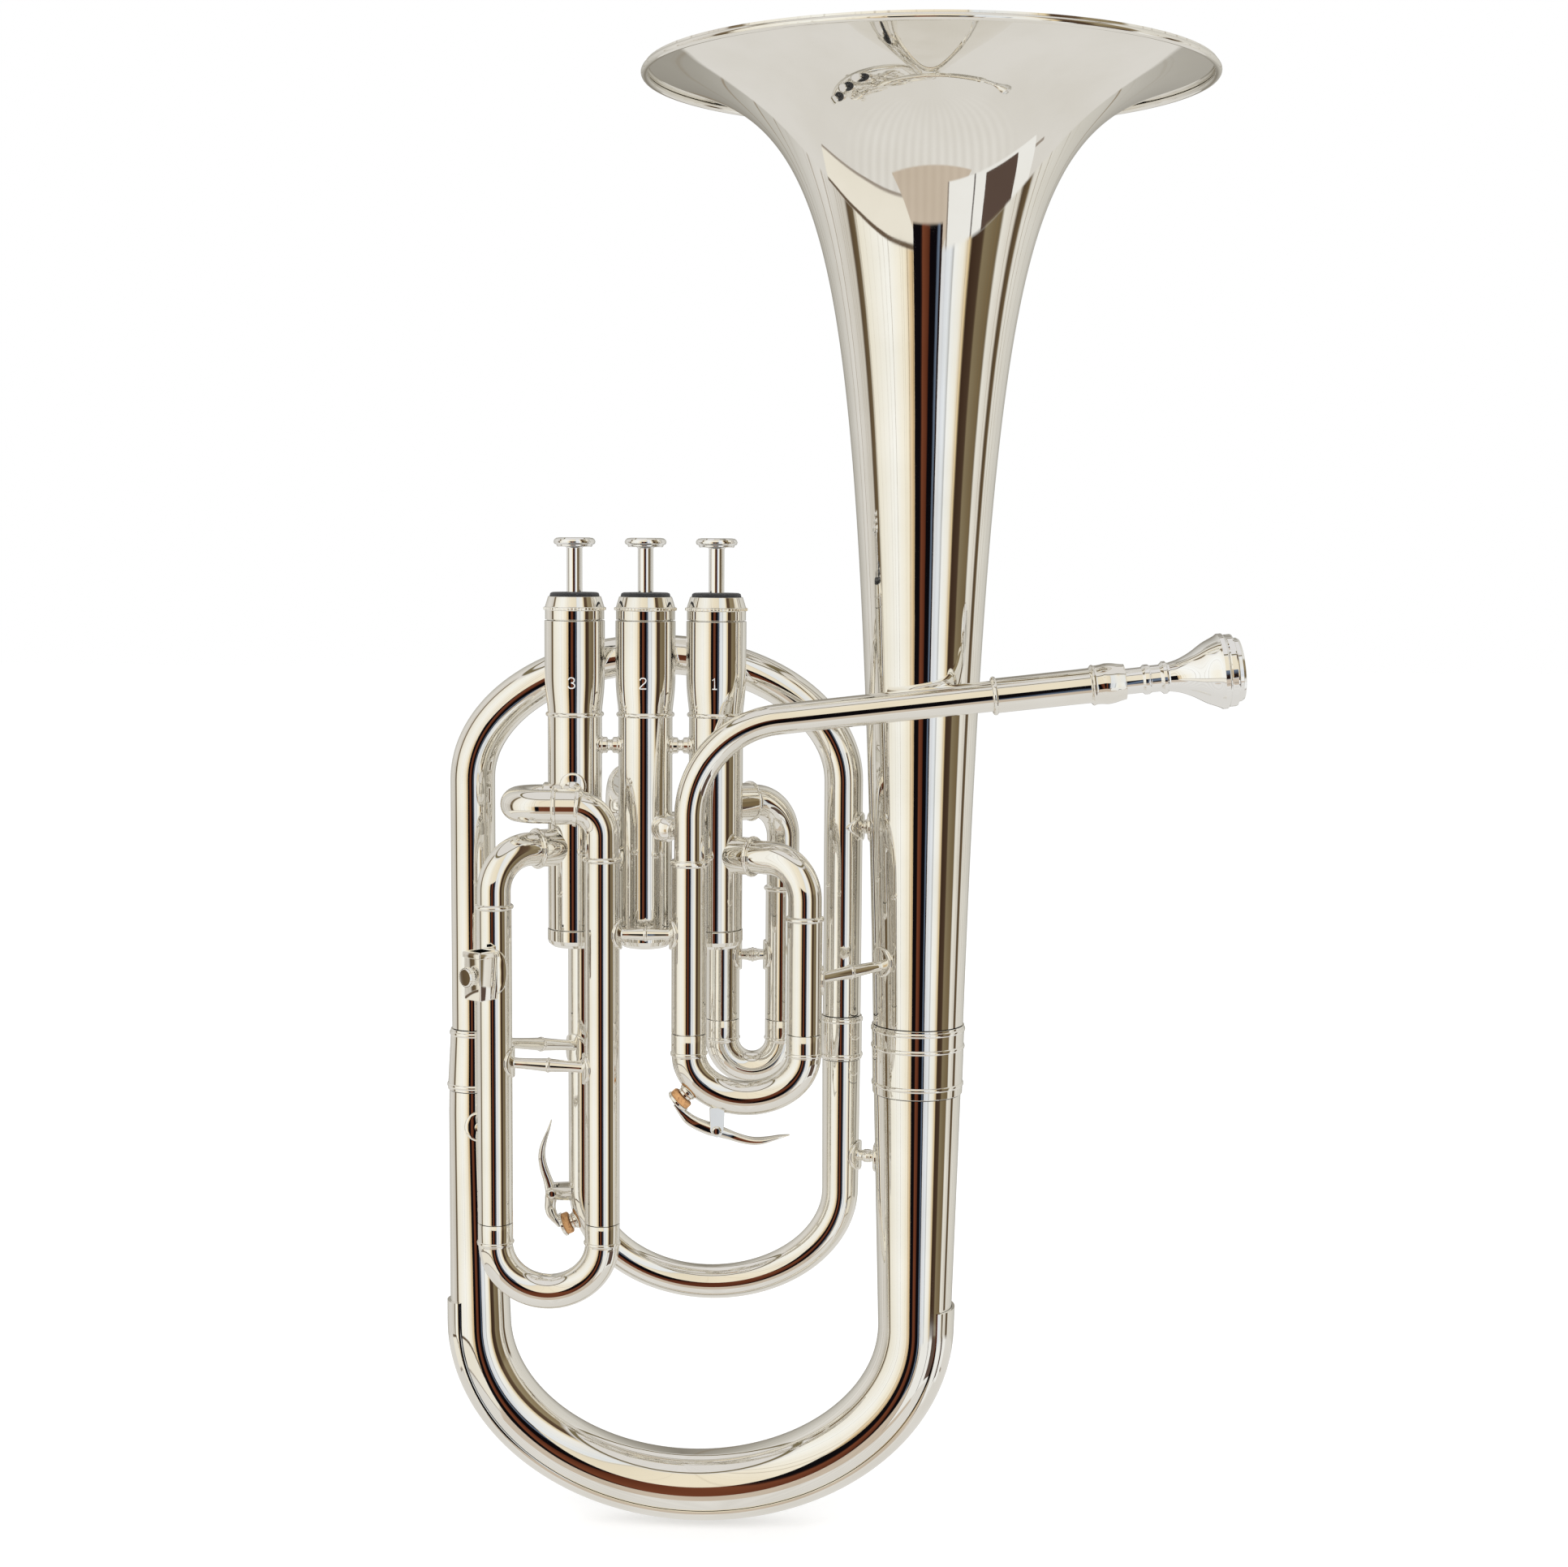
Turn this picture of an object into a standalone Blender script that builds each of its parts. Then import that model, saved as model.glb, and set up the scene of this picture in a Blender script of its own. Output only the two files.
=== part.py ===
"""Alto horn in E flat with three top-sprung piston valves, an upright bell and four tuning slides.

Metres, +Z up. The origin is on valve 2's axis, half way up the ported part of its casing.
+X points to the mouthpiece, and +Y away from the side that carries the third and main tuning slides.
"""

import math

import bmesh
import bpy
from mathutils import Matrix, Vector

MM = 0.001

# Fits
GAP = 0.3 * MM
PISTON_CLEARANCE = 0.25 * MM
SLIDE_CLEARANCE = 0.35 * MM
STEM_CLEARANCE = 0.35 * MM
PIN_CLEARANCE = 0.15 * MM

# Tubing
TUBE_WALL = 0.55 * MM
SLIDE_TUBE_RADIUS = 6.25 * MM
SLIDE_LEG_RADIUS = SLIDE_TUBE_RADIUS - TUBE_WALL - SLIDE_CLEARANCE
ELBOW_RADIUS = 5.95 * MM
RING_HEIGHT = 0.7 * MM
RING_WIDTH = 1.6 * MM
STEP_RUN = 0.4 * MM
SAME_PLACE = 0.02 * MM
FRONT_Y = -19 * MM
BACK_Y = 19 * MM

# Valves
VALVE_SPACING = 25.25 * MM
VALVE_TRAVEL = 15 * MM
CASING_RADIUS = 9.65 * MM
CASING_BORE = 8.3 * MM
CASING_BOTTOM = -57.1 * MM
SLEEVE_RADIUS = 10.7 * MM
SLEEVE_BOTTOM = 20 * MM
SLEEVE_TAPER = 6.4 * MM
SLEEVE_TOP = 53.4 * MM
NECK_RADIUS = 9.75 * MM
NECK_LENGTH = 4.4 * MM
THREAD_LENGTH = 3.8 * MM
THREAD_DEPTH = 0.6 * MM
PISTON_RADIUS = CASING_BORE - PISTON_CLEARANCE
PISTON_BOTTOM = -40 * MM
PORTED_TOP = 14 * MM
BARREL_WALL = 1.15 * MM
PASSAGE_RADIUS = 4.2 * MM
COLLAR_RADIUS = 6.7 * MM
SOCKET_REACH = 16.5 * MM
SOCKET_BORE_DEPTH = 4 * MM
SOCKET_ROOT = 4 * MM
COLLAR_REACH = CASING_RADIUS + 0.7 * MM
SECOND_BORE_REACH = CASING_RADIUS + 2 * MM
KNUCKLE_RADIUS = 5.0 * MM
KNUCKLE_1_2_Z = -20 * MM
KNUCKLE_2_3_Z = -32 * MM
SPACER_Z = 8.9 * MM
SPACER_RADIUS = 3 * MM
SPACER_WAIST = 1.8 * MM
SPACER_HALF_WAIST = 1 * MM

# Top cap, stem and finger button
TOP_CAP_TOP = 62.6 * MM
TOP_CAP_RADIUS = SLEEVE_RADIUS - 0.2 * MM
TOP_CAP_BEAD_Z = 58.3 * MM
TOP_CAP_RIM_RADIUS = 9.4 * MM
TOP_CAP_BEAD = 0.55 * MM
CAP_PLATE = 1.5 * MM
FELT_SEAT_DEPTH = 1 * MM
FELT_PROUD = 1.6 * MM
FELT_RADIUS = 8.6 * MM
STEM_RADIUS = 2.9 * MM
STEM_FLANGE = 1.6 * MM
PLUG_LENGTH = 1.7 * MM
BUTTON_THICKNESS = 3.5 * MM
BUTTON_SIDE = ((6.0 * MM, 0.2 * MM), (7.4 * MM, 1.2 * MM), (6.4 * MM, 3.5 * MM))

# Bottom cap
BOTTOM_CAP_HEIGHT = 6.6 * MM
BOTTOM_CAP_FLOOR = 1.4 * MM
BOTTOM_CAP_RADIUS = CASING_RADIUS + 0.25 * MM
BOTTOM_CAP_ROUND = 2 * MM

# Valve guide and spring
GUIDE_BOTTOM = 31 * MM
GUIDE_THICKNESS = 2.5 * MM
GUIDE_WIDTH = 3 * MM
GUIDE_REACH = 9 * MM
GUIDE_CLEARANCE = 0.35 * MM
SPRING_TURNS = 5
SPRING_POINTS = 7
SPRING_WIRE = 0.45 * MM
SPRING_RADIUS = 5.2 * MM

# Ports: azimuth in degrees from +X towards +Y, and height
SECOND_SLIDE_AZIMUTH = 104
SECOND_SLIDE_UPPER_Z = -8 * MM
SECOND_SLIDE_LOWER_Z = -26 * MM
TUNING_PORT_Z = -30 * MM
THIRD_UPPER_Z = -11.4 * MM
THIRD_LOWER_Z = -27.5 * MM
FIRST_UPPER_Z = -12 * MM
FIRST_LOWER_Z = -26 * MM
LOOP_PORT_Z = -20 * MM

# Bell and branch
BELL_AXIS_X = 99.3 * MM
BELL_AXIS_Y = 9 * MM
BELL_RIM_Z = 246.1 * MM
BELL_EDGE_RADIUS = 101.5 * MM
BELL_RIM_RADIUS = 100.4 * MM
BELL_FLARE = 10.8 * MM
BELL_POWER = 0.52
BELL_THROAT_RADIUS = 16.4 * MM
BELL_BEAD = 1.2 * MM
BELL_WALL = 0.8 * MM
BELL_LENGTH = 339 * MM
FERRULE_LENGTH = 25.4 * MM
FERRULE_BEADS = (1.6 * MM, 8 * MM, 21.8 * MM)
FERRULE_PROUD = 0.5 * MM
BOW_WALL = 0.8 * MM
BOW_TOP_RADIUS = 15.9 * MM
BOW_RIGHT_RADIUS = 13.4 * MM
BOW_BOTTOM_RADIUS = 12.3 * MM
BOW_LEFT_RADIUS = 11.1 * MM
BOW_END_RADIUS = 9.3 * MM
BOW_SPRING_Z = -206.5 * MM
BOW_HALF_WIDTH = 80.6 * MM
BOW_DEPTH = 62.3 * MM
BOW_END_RUN = 8 * MM
GUARD_WALL = 0.9 * MM
GUARD_SHARE = 0.5
GUARD_RISE = 7.5 * MM
LEFT_TUBE_X = -64.3 * MM
LEFT_TUBE_RADIUS = 8.1 * MM
LEFT_FERRULE_TOP = -97.9 * MM
LEFT_FERRULE_BOTTOM = -120.6 * MM
LEFT_FERRULE_BEADS = (1.6 * MM, 21 * MM)
TOP_BOW_SPRING_Z = -5.5 * MM
TOP_BOW_RISE = 46.1 * MM
TOP_BOW_RADIUS = 7.1 * MM
RIGHT_TUBE_X = 71.6 * MM
RIGHT_TUBE_RADIUS = 7 * MM
RIGHT_FERRULE_TOP = -92.2 * MM
RIGHT_FERRULE_BOTTOM = -108.3 * MM
RIGHT_FERRULE_BEADS = (1.4 * MM, 14.6 * MM)
INNER_BOW_SPRING_Z = -157.7 * MM
INNER_BOW_DEPTH = 36 * MM
INNER_BOW_RADIUS = 6.1 * MM
INNER_TUBE_X = -23.4 * MM
INNER_TAPER_SHARE = 0.4

# Leadpipe, receiver and mouthpiece
LEADPIPE_RADIUS = 5.4 * MM
LEADPIPE_BEND = 35 * MM
LEADPIPE_SLOPE = math.radians(6.6)
LEADPIPE_END_X = 132 * MM
LEADPIPE_END_Z = 29.65 * MM
LEADPIPE_SEAT = 8 * MM
LEADPIPE_STEP = math.radians(16)
RECEIVER_LENGTH = 46.7 * MM
RECEIVER_RADIUS = 6.1 * MM
RECEIVER_BULB = (
    (6.2 * MM, 0),
    (6.6 * MM, 3 * MM),
    (7.1 * MM, 7 * MM),
    (6.8 * MM, 10.8 * MM),
    (7.1 * MM, 11.6 * MM),
    (6.1 * MM, 12.4 * MM),
)
RECEIVER_OVERLAP = 10 * MM
RECEIVER_BORE = 4.9 * MM
SHANK_INSERT = 22.5 * MM
MOUTHPIECE_LENGTH = 63.3 * MM

# The mouthpiece's outer side from the rim to the shank and its bore back to the rim: radius, and depth from the rim
MOUTHPIECE_SIDE = (
    (9.7 * MM, 0),
    (10.6 * MM, 0.4 * MM),
    (11.2 * MM, 1.4 * MM),
    (11.2 * MM, 2.6 * MM),
    (12.6 * MM, 2.8 * MM),
    (12.6 * MM, 5.4 * MM),
    (13.2 * MM, 5.9 * MM),
    (13.2 * MM, 7.6 * MM),
    (12.4 * MM, 8.9 * MM),
    (10.6 * MM, 12.9 * MM),
    (7.8 * MM, 17.5 * MM),
    (5.0 * MM, 25.4 * MM),
    (5.7 * MM, 26.4 * MM),
    (5.7 * MM, 27.8 * MM),
    (4.7 * MM, 28.6 * MM),
    (4.7 * MM, 32.0 * MM),
    (5.2 * MM, 32.8 * MM),
    (5.2 * MM, 33.9 * MM),
    (4.5 * MM, 34.8 * MM),
    (4.5 * MM, 40.8 * MM),
    (4.0 * MM, 63.3 * MM),
)
MOUTHPIECE_BORE = (
    (3.3 * MM, 63.3 * MM),
    (2.0 * MM, 22 * MM),
    (2.0 * MM, 18 * MM),
    (5.0 * MM, 14 * MM),
    (7.6 * MM, 8 * MM),
    (8.8 * MM, 1.2 * MM),
)

# Main tuning slide
TUNING_LEFT_X = 16.6 * MM
TUNING_RIGHT_X = 57.4 * MM
TUNING_LEFT_TOP = -29.8 * MM
TUNING_RIGHT_TOP = -50.6 * MM
TUNING_BOTTOM = -91.5 * MM
TUNING_BOW_DEPTH = 15.8 * MM

# First slide
FIRST_RIGHT_X = 49.5 * MM
FIRST_LEFT_X = 27.5 * MM
FIRST_RIGHT_TOP = -45 * MM
FIRST_LEFT_TOP = -45 * MM
FIRST_BOTTOM = -93.5 * MM
FIRST_BOW_DEPTH = 11 * MM

# Second slide, measured outwards from valve 2's axis
SECOND_OUTER_REACH = 35 * MM
SECOND_BOW_DEPTH = 9 * MM

# Third slide
THIRD_LEFT_X = -52.3 * MM
THIRD_RIGHT_X = -14.2 * MM
THIRD_LEFT_TOP = -46.9 * MM
THIRD_RIGHT_TOP = -29.9 * MM
THIRD_BOTTOM = -160.5 * MM
THIRD_BOW_DEPTH = 17.8 * MM
THIRD_CROOK_X = -44.9 * MM
THIRD_CROOK_BACK_Y = 0 * MM
THIRD_CROOK_BEND = 9.5 * MM
THIRD_RIGHT_BEND = 10 * MM
SLIDE_FERRULE = 7.4 * MM
ELBOW_BEND = 14 * MM
LEAD_IN = 1.2 * MM
LEG_MARGIN = 4 * MM

# Braces
BRACE_RADIUS = 2.2 * MM
BRACE_END_RADIUS = 1.55 * MM
BRACE_FOOT_RADIUS = 5.6 * MM
BRACE_FOOT_THICKNESS = 0.8 * MM
SLIDE_BRACE_Z = -56.3 * MM
THIRD_FRONT_BRACE_Z = -103.6 * MM
BELL_BRACE_Z = -71 * MM
LOOP_BRACE_Z = -21.8 * MM
FIRST_BRACE_Z = -69.9 * MM
BALL_BRACE_DROP = 25.6 * MM
BALL_BRACE_Z = BELL_RIM_Z - BELL_LENGTH - FERRULE_LENGTH - 2 * GAP - BALL_BRACE_DROP
BALL_RADIUS = 2.4 * MM
LEFT_BRACE_Z = -133.1 * MM
SADDLE_BRACE_X = 110.2 * MM
REAR_BRACE_HIGH = -95.6 * MM
REAR_BRACE_LOW = -104.6 * MM
BELL_BRACE_RISE = 4 * MM
BRACE_RING_HALF = 0.8 * MM
BRACE_RING_HEIGHT = 0.4 * MM
FOOT_REACH = 4 * MM
HOST_REACH = 16 * MM
TAPER_ALLOWANCE = 0.25 * MM

# Water keys
CORK_RADIUS = 4 * MM
CORK_THICKNESS = 2.5 * MM
NIPPLE_RADIUS = 2.8 * MM
NIPPLE_PROUD = 1.7 * MM
NIPPLE_BORE = 1.2 * MM
KEY_WIDTH = 5 * MM
KEY_THICKNESS = 1.2 * MM
KEY_CUP = 0.8 * MM
KEY_PIN_RADIUS = 1.1 * MM
KEY_BOSS_RADIUS = 2.1 * MM
KEY_SIDE_CLEARANCE = 0.35 * MM
CHEEK_THICKNESS = 1.2 * MM
CHEEK_WIDTH = 4.6 * MM
CHEEK_PROUD = 2.5 * MM
KEY_ARCH = 1.5 * MM
KEY_1_ANGLE = math.radians(37)
KEY_1_PIVOT = (-10.3 * MM, 0, -26.9 * MM)
KEY_1_TIP = (25.8 * MM, 0, -2.2 * MM)
KEY_1_BULGE = (0, 0, -3 * MM)
KEY_2_ANGLE = math.radians(17)
KEY_2_PIVOT = (-12 * MM, 0, -159.6 * MM)
KEY_2_TIP = (-0.5 * MM, 0, 27 * MM)
KEY_2_BULGE = (-3.5 * MM, 0, 0)

# Lyre holder
LYRE_AZIMUTH = 255
LYRE_TURN = 228
LYRE_Z = -69.3 * MM
LYRE_WIDTH = 8.5 * MM
LYRE_HEIGHT = 17 * MM
LYRE_SOCKET = 5.8 * MM
LYRE_SCREW_RADIUS = 1.3 * MM
LYRE_KNOB_RADIUS = 3.4 * MM
LYRE_KNOB_LENGTH = 3 * MM
LYRE_KNOB_CHAMFER = 0.5 * MM
LYRE_SCREW_BACK = 0.2 * MM

# Facets
BELL_SIDES = 24
BOW_SIDES = 12
TUBE_SIDES = 10
CASING_SIDES = 12
GUARD_SIDES = 36
CROOK_STEPS = 6
BOTTOM_BOW_STEPS = 12
LOOP_STEPS = 10
FITTING_SIDES = 12
PASSAGE_SIDES = 8
FACET_TURN = 0.11
CUT_REACH = 80 * MM
CUT_MARGIN = 1 * MM

UP = Vector((0, 0, 1))
DOWN = Vector((0, 0, -1))
RIGHT = Vector((1, 0, 0))
LEFT = Vector((-1, 0, 0))
BACK = Vector((0, 1, 0))

SILVER = ((0.86, 0.85, 0.81), 0.07, 1.0)
BRIGHT_SILVER = ((0.93, 0.93, 0.94), 0.05, 1.0)
PISTON_ALLOY = ((0.62, 0.6, 0.56), 0.22, 1.0)
SPRING_STEEL = ((0.5, 0.5, 0.52), 0.3, 1.0)
BLACK_FELT = ((0.02, 0.02, 0.022), 0.95, 0.0)
CORK = ((0.62, 0.33, 0.14), 0.85, 0.0)


def clear_scene():
    """Empties the scene."""
    for obj in list(bpy.data.objects):
        bpy.data.objects.remove(obj, do_unlink=True)


def new_collection(name):
    """A new collection in the scene."""
    collection = bpy.data.collections.new(name)
    bpy.context.scene.collection.children.link(collection)
    return collection


clear_scene()
PARTS = new_collection("alto_horn")
CUTTERS = new_collection("cutters")


def helper(name, mesh, matrix):
    """An object that takes part in Booleans, and is neither rendered nor kept as a piece."""
    obj = bpy.data.objects.new(name, mesh)
    obj.matrix_world = matrix
    obj.hide_render = True
    obj.display_type = "WIRE"
    CUTTERS.objects.link(obj)
    return obj


def piece(obj, name, finish):
    """Makes a helper into a named piece of the horn with its own material."""
    colour, roughness, metallic = finish
    CUTTERS.objects.unlink(obj)
    PARTS.objects.link(obj)
    obj.name = name
    obj.data.name = name
    obj.hide_render = False
    obj.display_type = "TEXTURED"
    made = bpy.data.materials.new(name + "_finish")
    made.use_nodes = True
    shader = made.node_tree.nodes["Principled BSDF"]
    shader.inputs["Base Color"].default_value = (*colour, 1)
    shader.inputs["Roughness"].default_value = roughness
    shader.inputs["Metallic"].default_value = metallic
    made.diffuse_color = (*colour, 1)
    obj.data.materials.clear()
    obj.data.materials.append(made)
    return obj


def along(direction, start):
    """The matrix that turns +Z to the direction and moves to the start."""
    aimed = direction.to_track_quat("Z", "Y").to_matrix().to_4x4()
    return Matrix.Translation(start) @ aimed @ Matrix.Rotation(FACET_TURN, 4, "Z")


def turned(name, profile, start, direction=UP, sides=FITTING_SIDES, ring=False):
    """A turned piece.

    The profile lists (radius, distance along the axis) from the far end down the outer side.
    A ring's profile comes back up its bore, and closes on its first point.
    """
    mesh = bpy.data.meshes.new(name)
    points = [(radius, 0, distance) for radius, distance in profile]
    pairs = [(index, index + 1) for index in range(len(points) - 1)]
    if ring:
        pairs.append((len(points) - 1, 0))
    edges = [(first, last) for first, last in pairs if profile[first][0] or profile[last][0]]
    mesh.from_pydata(points, edges, [])
    obj = helper(name, mesh, along(direction, start))
    turn = obj.modifiers.new("Turn", "SCREW")
    turn.axis = "Z"
    turn.angle = 2 * math.pi
    turn.steps = sides
    turn.render_steps = sides
    turn.use_merge_vertices = True
    turn.merge_threshold = 0.00001
    turn.use_smooth_shade = True
    return obj


def rod(start, end, radius, sides=FITTING_SIDES, end_radius=None):
    """A solid cylinder or cone between two points."""
    length = (end - start).length
    shape = bmesh.new()
    bmesh.ops.create_cone(
        shape,
        cap_ends=True,
        segments=sides,
        radius1=radius,
        radius2=radius if end_radius is None else end_radius,
        depth=length,
    )
    bmesh.ops.translate(shape, verts=shape.verts, vec=(0, 0, length / 2))
    return mesh_helper("rod", shape, along(end - start, start))


def block(centre, size, turn=0.0):
    """A box of the given size, turned about +Z."""
    shape = bmesh.new()
    bmesh.ops.create_cube(shape, size=1)
    bmesh.ops.scale(shape, verts=shape.verts, vec=size)
    return mesh_helper("block", shape, Matrix.Translation(centre) @ Matrix.Rotation(turn, 4, "Z"))


def mesh_helper(name, shape, matrix):
    """A helper object made of a bmesh shape."""
    mesh = bpy.data.meshes.new(name)
    shape.to_mesh(mesh)
    shape.free()
    mesh.shade_smooth()
    mesh.set_sharp_from_angle(angle=math.radians(35))
    return helper(name, mesh, matrix)


def set_origin(obj, place):
    """Moves an object's origin without moving its mesh."""
    obj.data.transform(Matrix.Translation(-place) @ obj.matrix_world)
    obj.matrix_world = Matrix.Translation(place)


def combine(target, others, operation):
    """Adds one Boolean to the target, with all of the others as its operands."""
    change = target.modifiers.new(operation.title(), "BOOLEAN")
    change.operation = operation
    change.solver = "EXACT"
    if len(others) == 1:
        change.object = others[0]
        return target
    operands = bpy.data.collections.new(f"{target.name} {operation.lower()}")
    CUTTERS.children.link(operands)
    for other in others:
        operands.objects.link(other)
    change.operand_type = "COLLECTION"
    change.collection = operands
    return target


def join(target, *others):
    """Unites the others with the target."""
    return combine(target, others, "UNION")


def cut(target, *others):
    """Cuts the others out of the target."""
    return combine(target, others, "DIFFERENCE")


def bent_route(corners, bends, step=math.radians(30)):
    """Points from corner to corner, where each inner corner is rounded with its own bend radius."""
    route = [corners[0]]
    for before, corner, after, bend in zip(corners, corners[1:], corners[2:], bends):
        inward = (before - corner).normalized()
        outward = (after - corner).normalized()
        turn = math.pi - inward.angle(outward)
        reach = bend * math.tan(turn / 2)
        centre = corner + (inward + outward).normalized() * (bend / math.cos(turn / 2))
        start = corner + inward * reach - centre
        end = corner + outward * reach - centre
        axis = start.cross(end).normalized()
        count = max(1, math.ceil(turn / step - 0.01))
        for index in range(count + 1):
            route.append(centre + Matrix.Rotation(turn * index / count, 3, axis) @ start)
    route.append(corners[-1])
    return route


def bow_route(first, last, depth, direction, count):
    """A half ellipse from first to last, which bulges by depth in the direction."""
    middle = (first + last) / 2
    half = (first - last) / 2
    angles = [math.pi * index / count for index in range(count + 1)]
    return [middle + half * math.cos(angle) + direction * depth * math.sin(angle) for angle in angles]


def ring_at(distance, radius, height=RING_HEIGHT):
    """The sizes of a raised ring on a tube."""
    half = RING_WIDTH / 2
    return [(distance - half, radius), (distance, radius + height), (distance + half, radius)]


def length_of(route):
    """The length of a route."""
    return sum((after - before).length for before, after in zip(route, route[1:]))


def sized_route(route, sizes):
    """The points of a route with those of the sizes put in, and the radius at each."""
    total = length_of(route)
    sizes = sorted((total + distance if distance < 0 else distance, radius) for distance, radius in sizes)
    marks = [0.0]
    for before, after in zip(route, route[1:]):
        marks.append(marks[-1] + (after - before).length)
    distances = []
    for distance in sorted(marks + [distance for distance, _ in sizes]):
        if not distances or distance - distances[-1] > SAME_PLACE:
            distances.append(min(distance, total))
    points = []
    radii = []
    for distance in distances:
        leg = max(index for index in range(len(route) - 1) if marks[index] <= distance)
        share = (distance - marks[leg]) / (marks[leg + 1] - marks[leg])
        points.append(route[leg].lerp(route[leg + 1], share))
        radii.append(radius_at(distance, sizes))
    return points, radii


def radius_at(distance, sizes):
    """The radius between the sizes on each side of a distance."""
    if distance <= sizes[0][0]:
        return sizes[0][1]
    for (start, first), (end, last) in zip(sizes, sizes[1:]):
        if distance <= end:
            return first + (last - first) * (distance - start) / max(end - start, SAME_PLACE)
    return sizes[-1][1]


def pipe(name, route, sizes, wall=TUBE_WALL, sides=TUBE_SIDES):
    """A tube along a route, which is solid where the wall is 0.

    The sizes list (distance, outer radius), and a negative distance counts from the end.
    """
    points, radii = sized_route(route, sizes)
    curve = bpy.data.curves.new(name, "CURVE")
    curve.dimensions = "3D"
    curve.bevel_depth = 1
    curve.bevel_resolution = (sides - 4) // 2
    curve.use_fill_caps = wall == 0
    spline = curve.splines.new("POLY")
    spline.points.add(len(points) - 1)
    for point, place, radius in zip(spline.points, points, radii):
        point.co = (*(place - points[0]), 1)
        point.radius = radius
    drawn = helper(name, curve, Matrix.Translation(points[0]))
    bpy.context.view_layer.update()
    graph = bpy.context.evaluated_depsgraph_get()
    mesh = bpy.data.meshes.new_from_object(drawn.evaluated_get(graph))
    matrix = drawn.matrix_world.copy()
    bpy.data.objects.remove(drawn)
    bpy.data.curves.remove(curve)
    shape = bmesh.new()
    shape.from_mesh(mesh)
    bmesh.ops.remove_doubles(shape, verts=shape.verts, dist=1e-7)
    bpy.data.meshes.remove(mesh)
    obj = mesh_helper(name, shape, matrix)
    if wall:
        shell = obj.modifiers.new("Wall", "SOLIDIFY")
        shell.thickness = wall
        shell.offset = -1
    return obj


def strip(name, points, width, thickness, matrix):
    """A bent strip: points (x, z) in the matrix's frame, and its width along Y."""
    shape = bmesh.new()
    front = [shape.verts.new((x, -width / 2, z)) for x, z in points]
    edges = [shape.edges.new(pair) for pair in zip(front, front[1:])]
    made = bmesh.ops.extrude_edge_only(shape, edges=edges)["geom"]
    moved = [part for part in made if isinstance(part, bmesh.types.BMVert)]
    bmesh.ops.translate(shape, verts=moved, vec=(0, width, 0))
    obj = mesh_helper(name, shape, matrix)
    shell = obj.modifiers.new("Plate", "SOLIDIFY")
    shell.thickness = thickness
    shell.offset = 0
    shell.use_even_offset = True
    return obj


def radial(azimuth, distance=1.0, height=0.0):
    """The point at an azimuth in degrees, a distance from the axis and a height."""
    angle = math.radians(azimuth)
    return Vector((math.cos(angle) * distance, math.sin(angle) * distance, height))


def valve_axis(number):
    """The point of a valve's axis at height 0. Valve 1 is the one nearest the mouthpiece."""
    return Vector(((2 - number) * VALVE_SPACING, 0, 0))


def azimuth_to(number, target):
    """The azimuth from a valve's axis to a point."""
    offset = target - valve_axis(number)
    return math.degrees(math.atan2(offset.y, offset.x))


TUNING_RIGHT = Vector((TUNING_RIGHT_X, FRONT_Y, 0))
TUNING_LEFT = Vector((TUNING_LEFT_X, FRONT_Y, 0))
THIRD_LEFT = Vector((THIRD_LEFT_X, FRONT_Y, 0))
THIRD_RIGHT = Vector((THIRD_RIGHT_X, FRONT_Y, 0))
FIRST_RIGHT = Vector((FIRST_RIGHT_X, BACK_Y, 0))
FIRST_LEFT = Vector((FIRST_LEFT_X, BACK_Y, 0))
INNER_TUBE = Vector((INNER_TUBE_X, BACK_Y, 0))
THIRD_CROOK = Vector((THIRD_CROOK_X, THIRD_CROOK_BACK_Y, 0))
SECOND_SLIDE = radial(SECOND_SLIDE_AZIMUTH)

TUNING_AZIMUTH = azimuth_to(1, TUNING_RIGHT)
FIRST_UPPER_AZIMUTH = azimuth_to(1, FIRST_RIGHT)
FIRST_LOWER_AZIMUTH = azimuth_to(1, FIRST_LEFT)
THIRD_UPPER_AZIMUTH = azimuth_to(3, THIRD_CROOK)
THIRD_LOWER_AZIMUTH = azimuth_to(3, THIRD_LEFT)
LOOP_AZIMUTH = azimuth_to(3, INNER_TUBE)

# Each port: azimuth, height and the reach of its socket. A reach of 0 is a plain hole.
VALVE_PORTS = {
    1: [
        (TUNING_AZIMUTH, TUNING_PORT_Z, SOCKET_REACH),
        (180, KNUCKLE_1_2_Z, 0),
        (FIRST_UPPER_AZIMUTH, FIRST_UPPER_Z, SOCKET_REACH),
        (FIRST_LOWER_AZIMUTH, FIRST_LOWER_Z, COLLAR_REACH),
    ],
    2: [
        (0, KNUCKLE_1_2_Z, 0),
        (180, KNUCKLE_2_3_Z, 0),
        (SECOND_SLIDE_AZIMUTH, SECOND_SLIDE_UPPER_Z, SECOND_OUTER_REACH),
        (SECOND_SLIDE_AZIMUTH, SECOND_SLIDE_LOWER_Z, SECOND_OUTER_REACH),
    ],
    3: [
        (0, KNUCKLE_2_3_Z, 0),
        (LOOP_AZIMUTH, LOOP_PORT_Z, COLLAR_REACH),
        (THIRD_UPPER_AZIMUTH, THIRD_UPPER_Z, COLLAR_REACH),
        (THIRD_LOWER_AZIMUTH, THIRD_LOWER_Z, SOCKET_REACH),
    ],
}

# The heights at which the two bores of each passage meet, by valve.
MEETING_HEIGHTS = {
    1: (-25 * MM, -13 * MM, -0.5 * MM),
    2: (-26 * MM, -14 * MM, 1 * MM),
    3: (-26 * MM, -14 * MM, 1 * MM),
}

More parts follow.
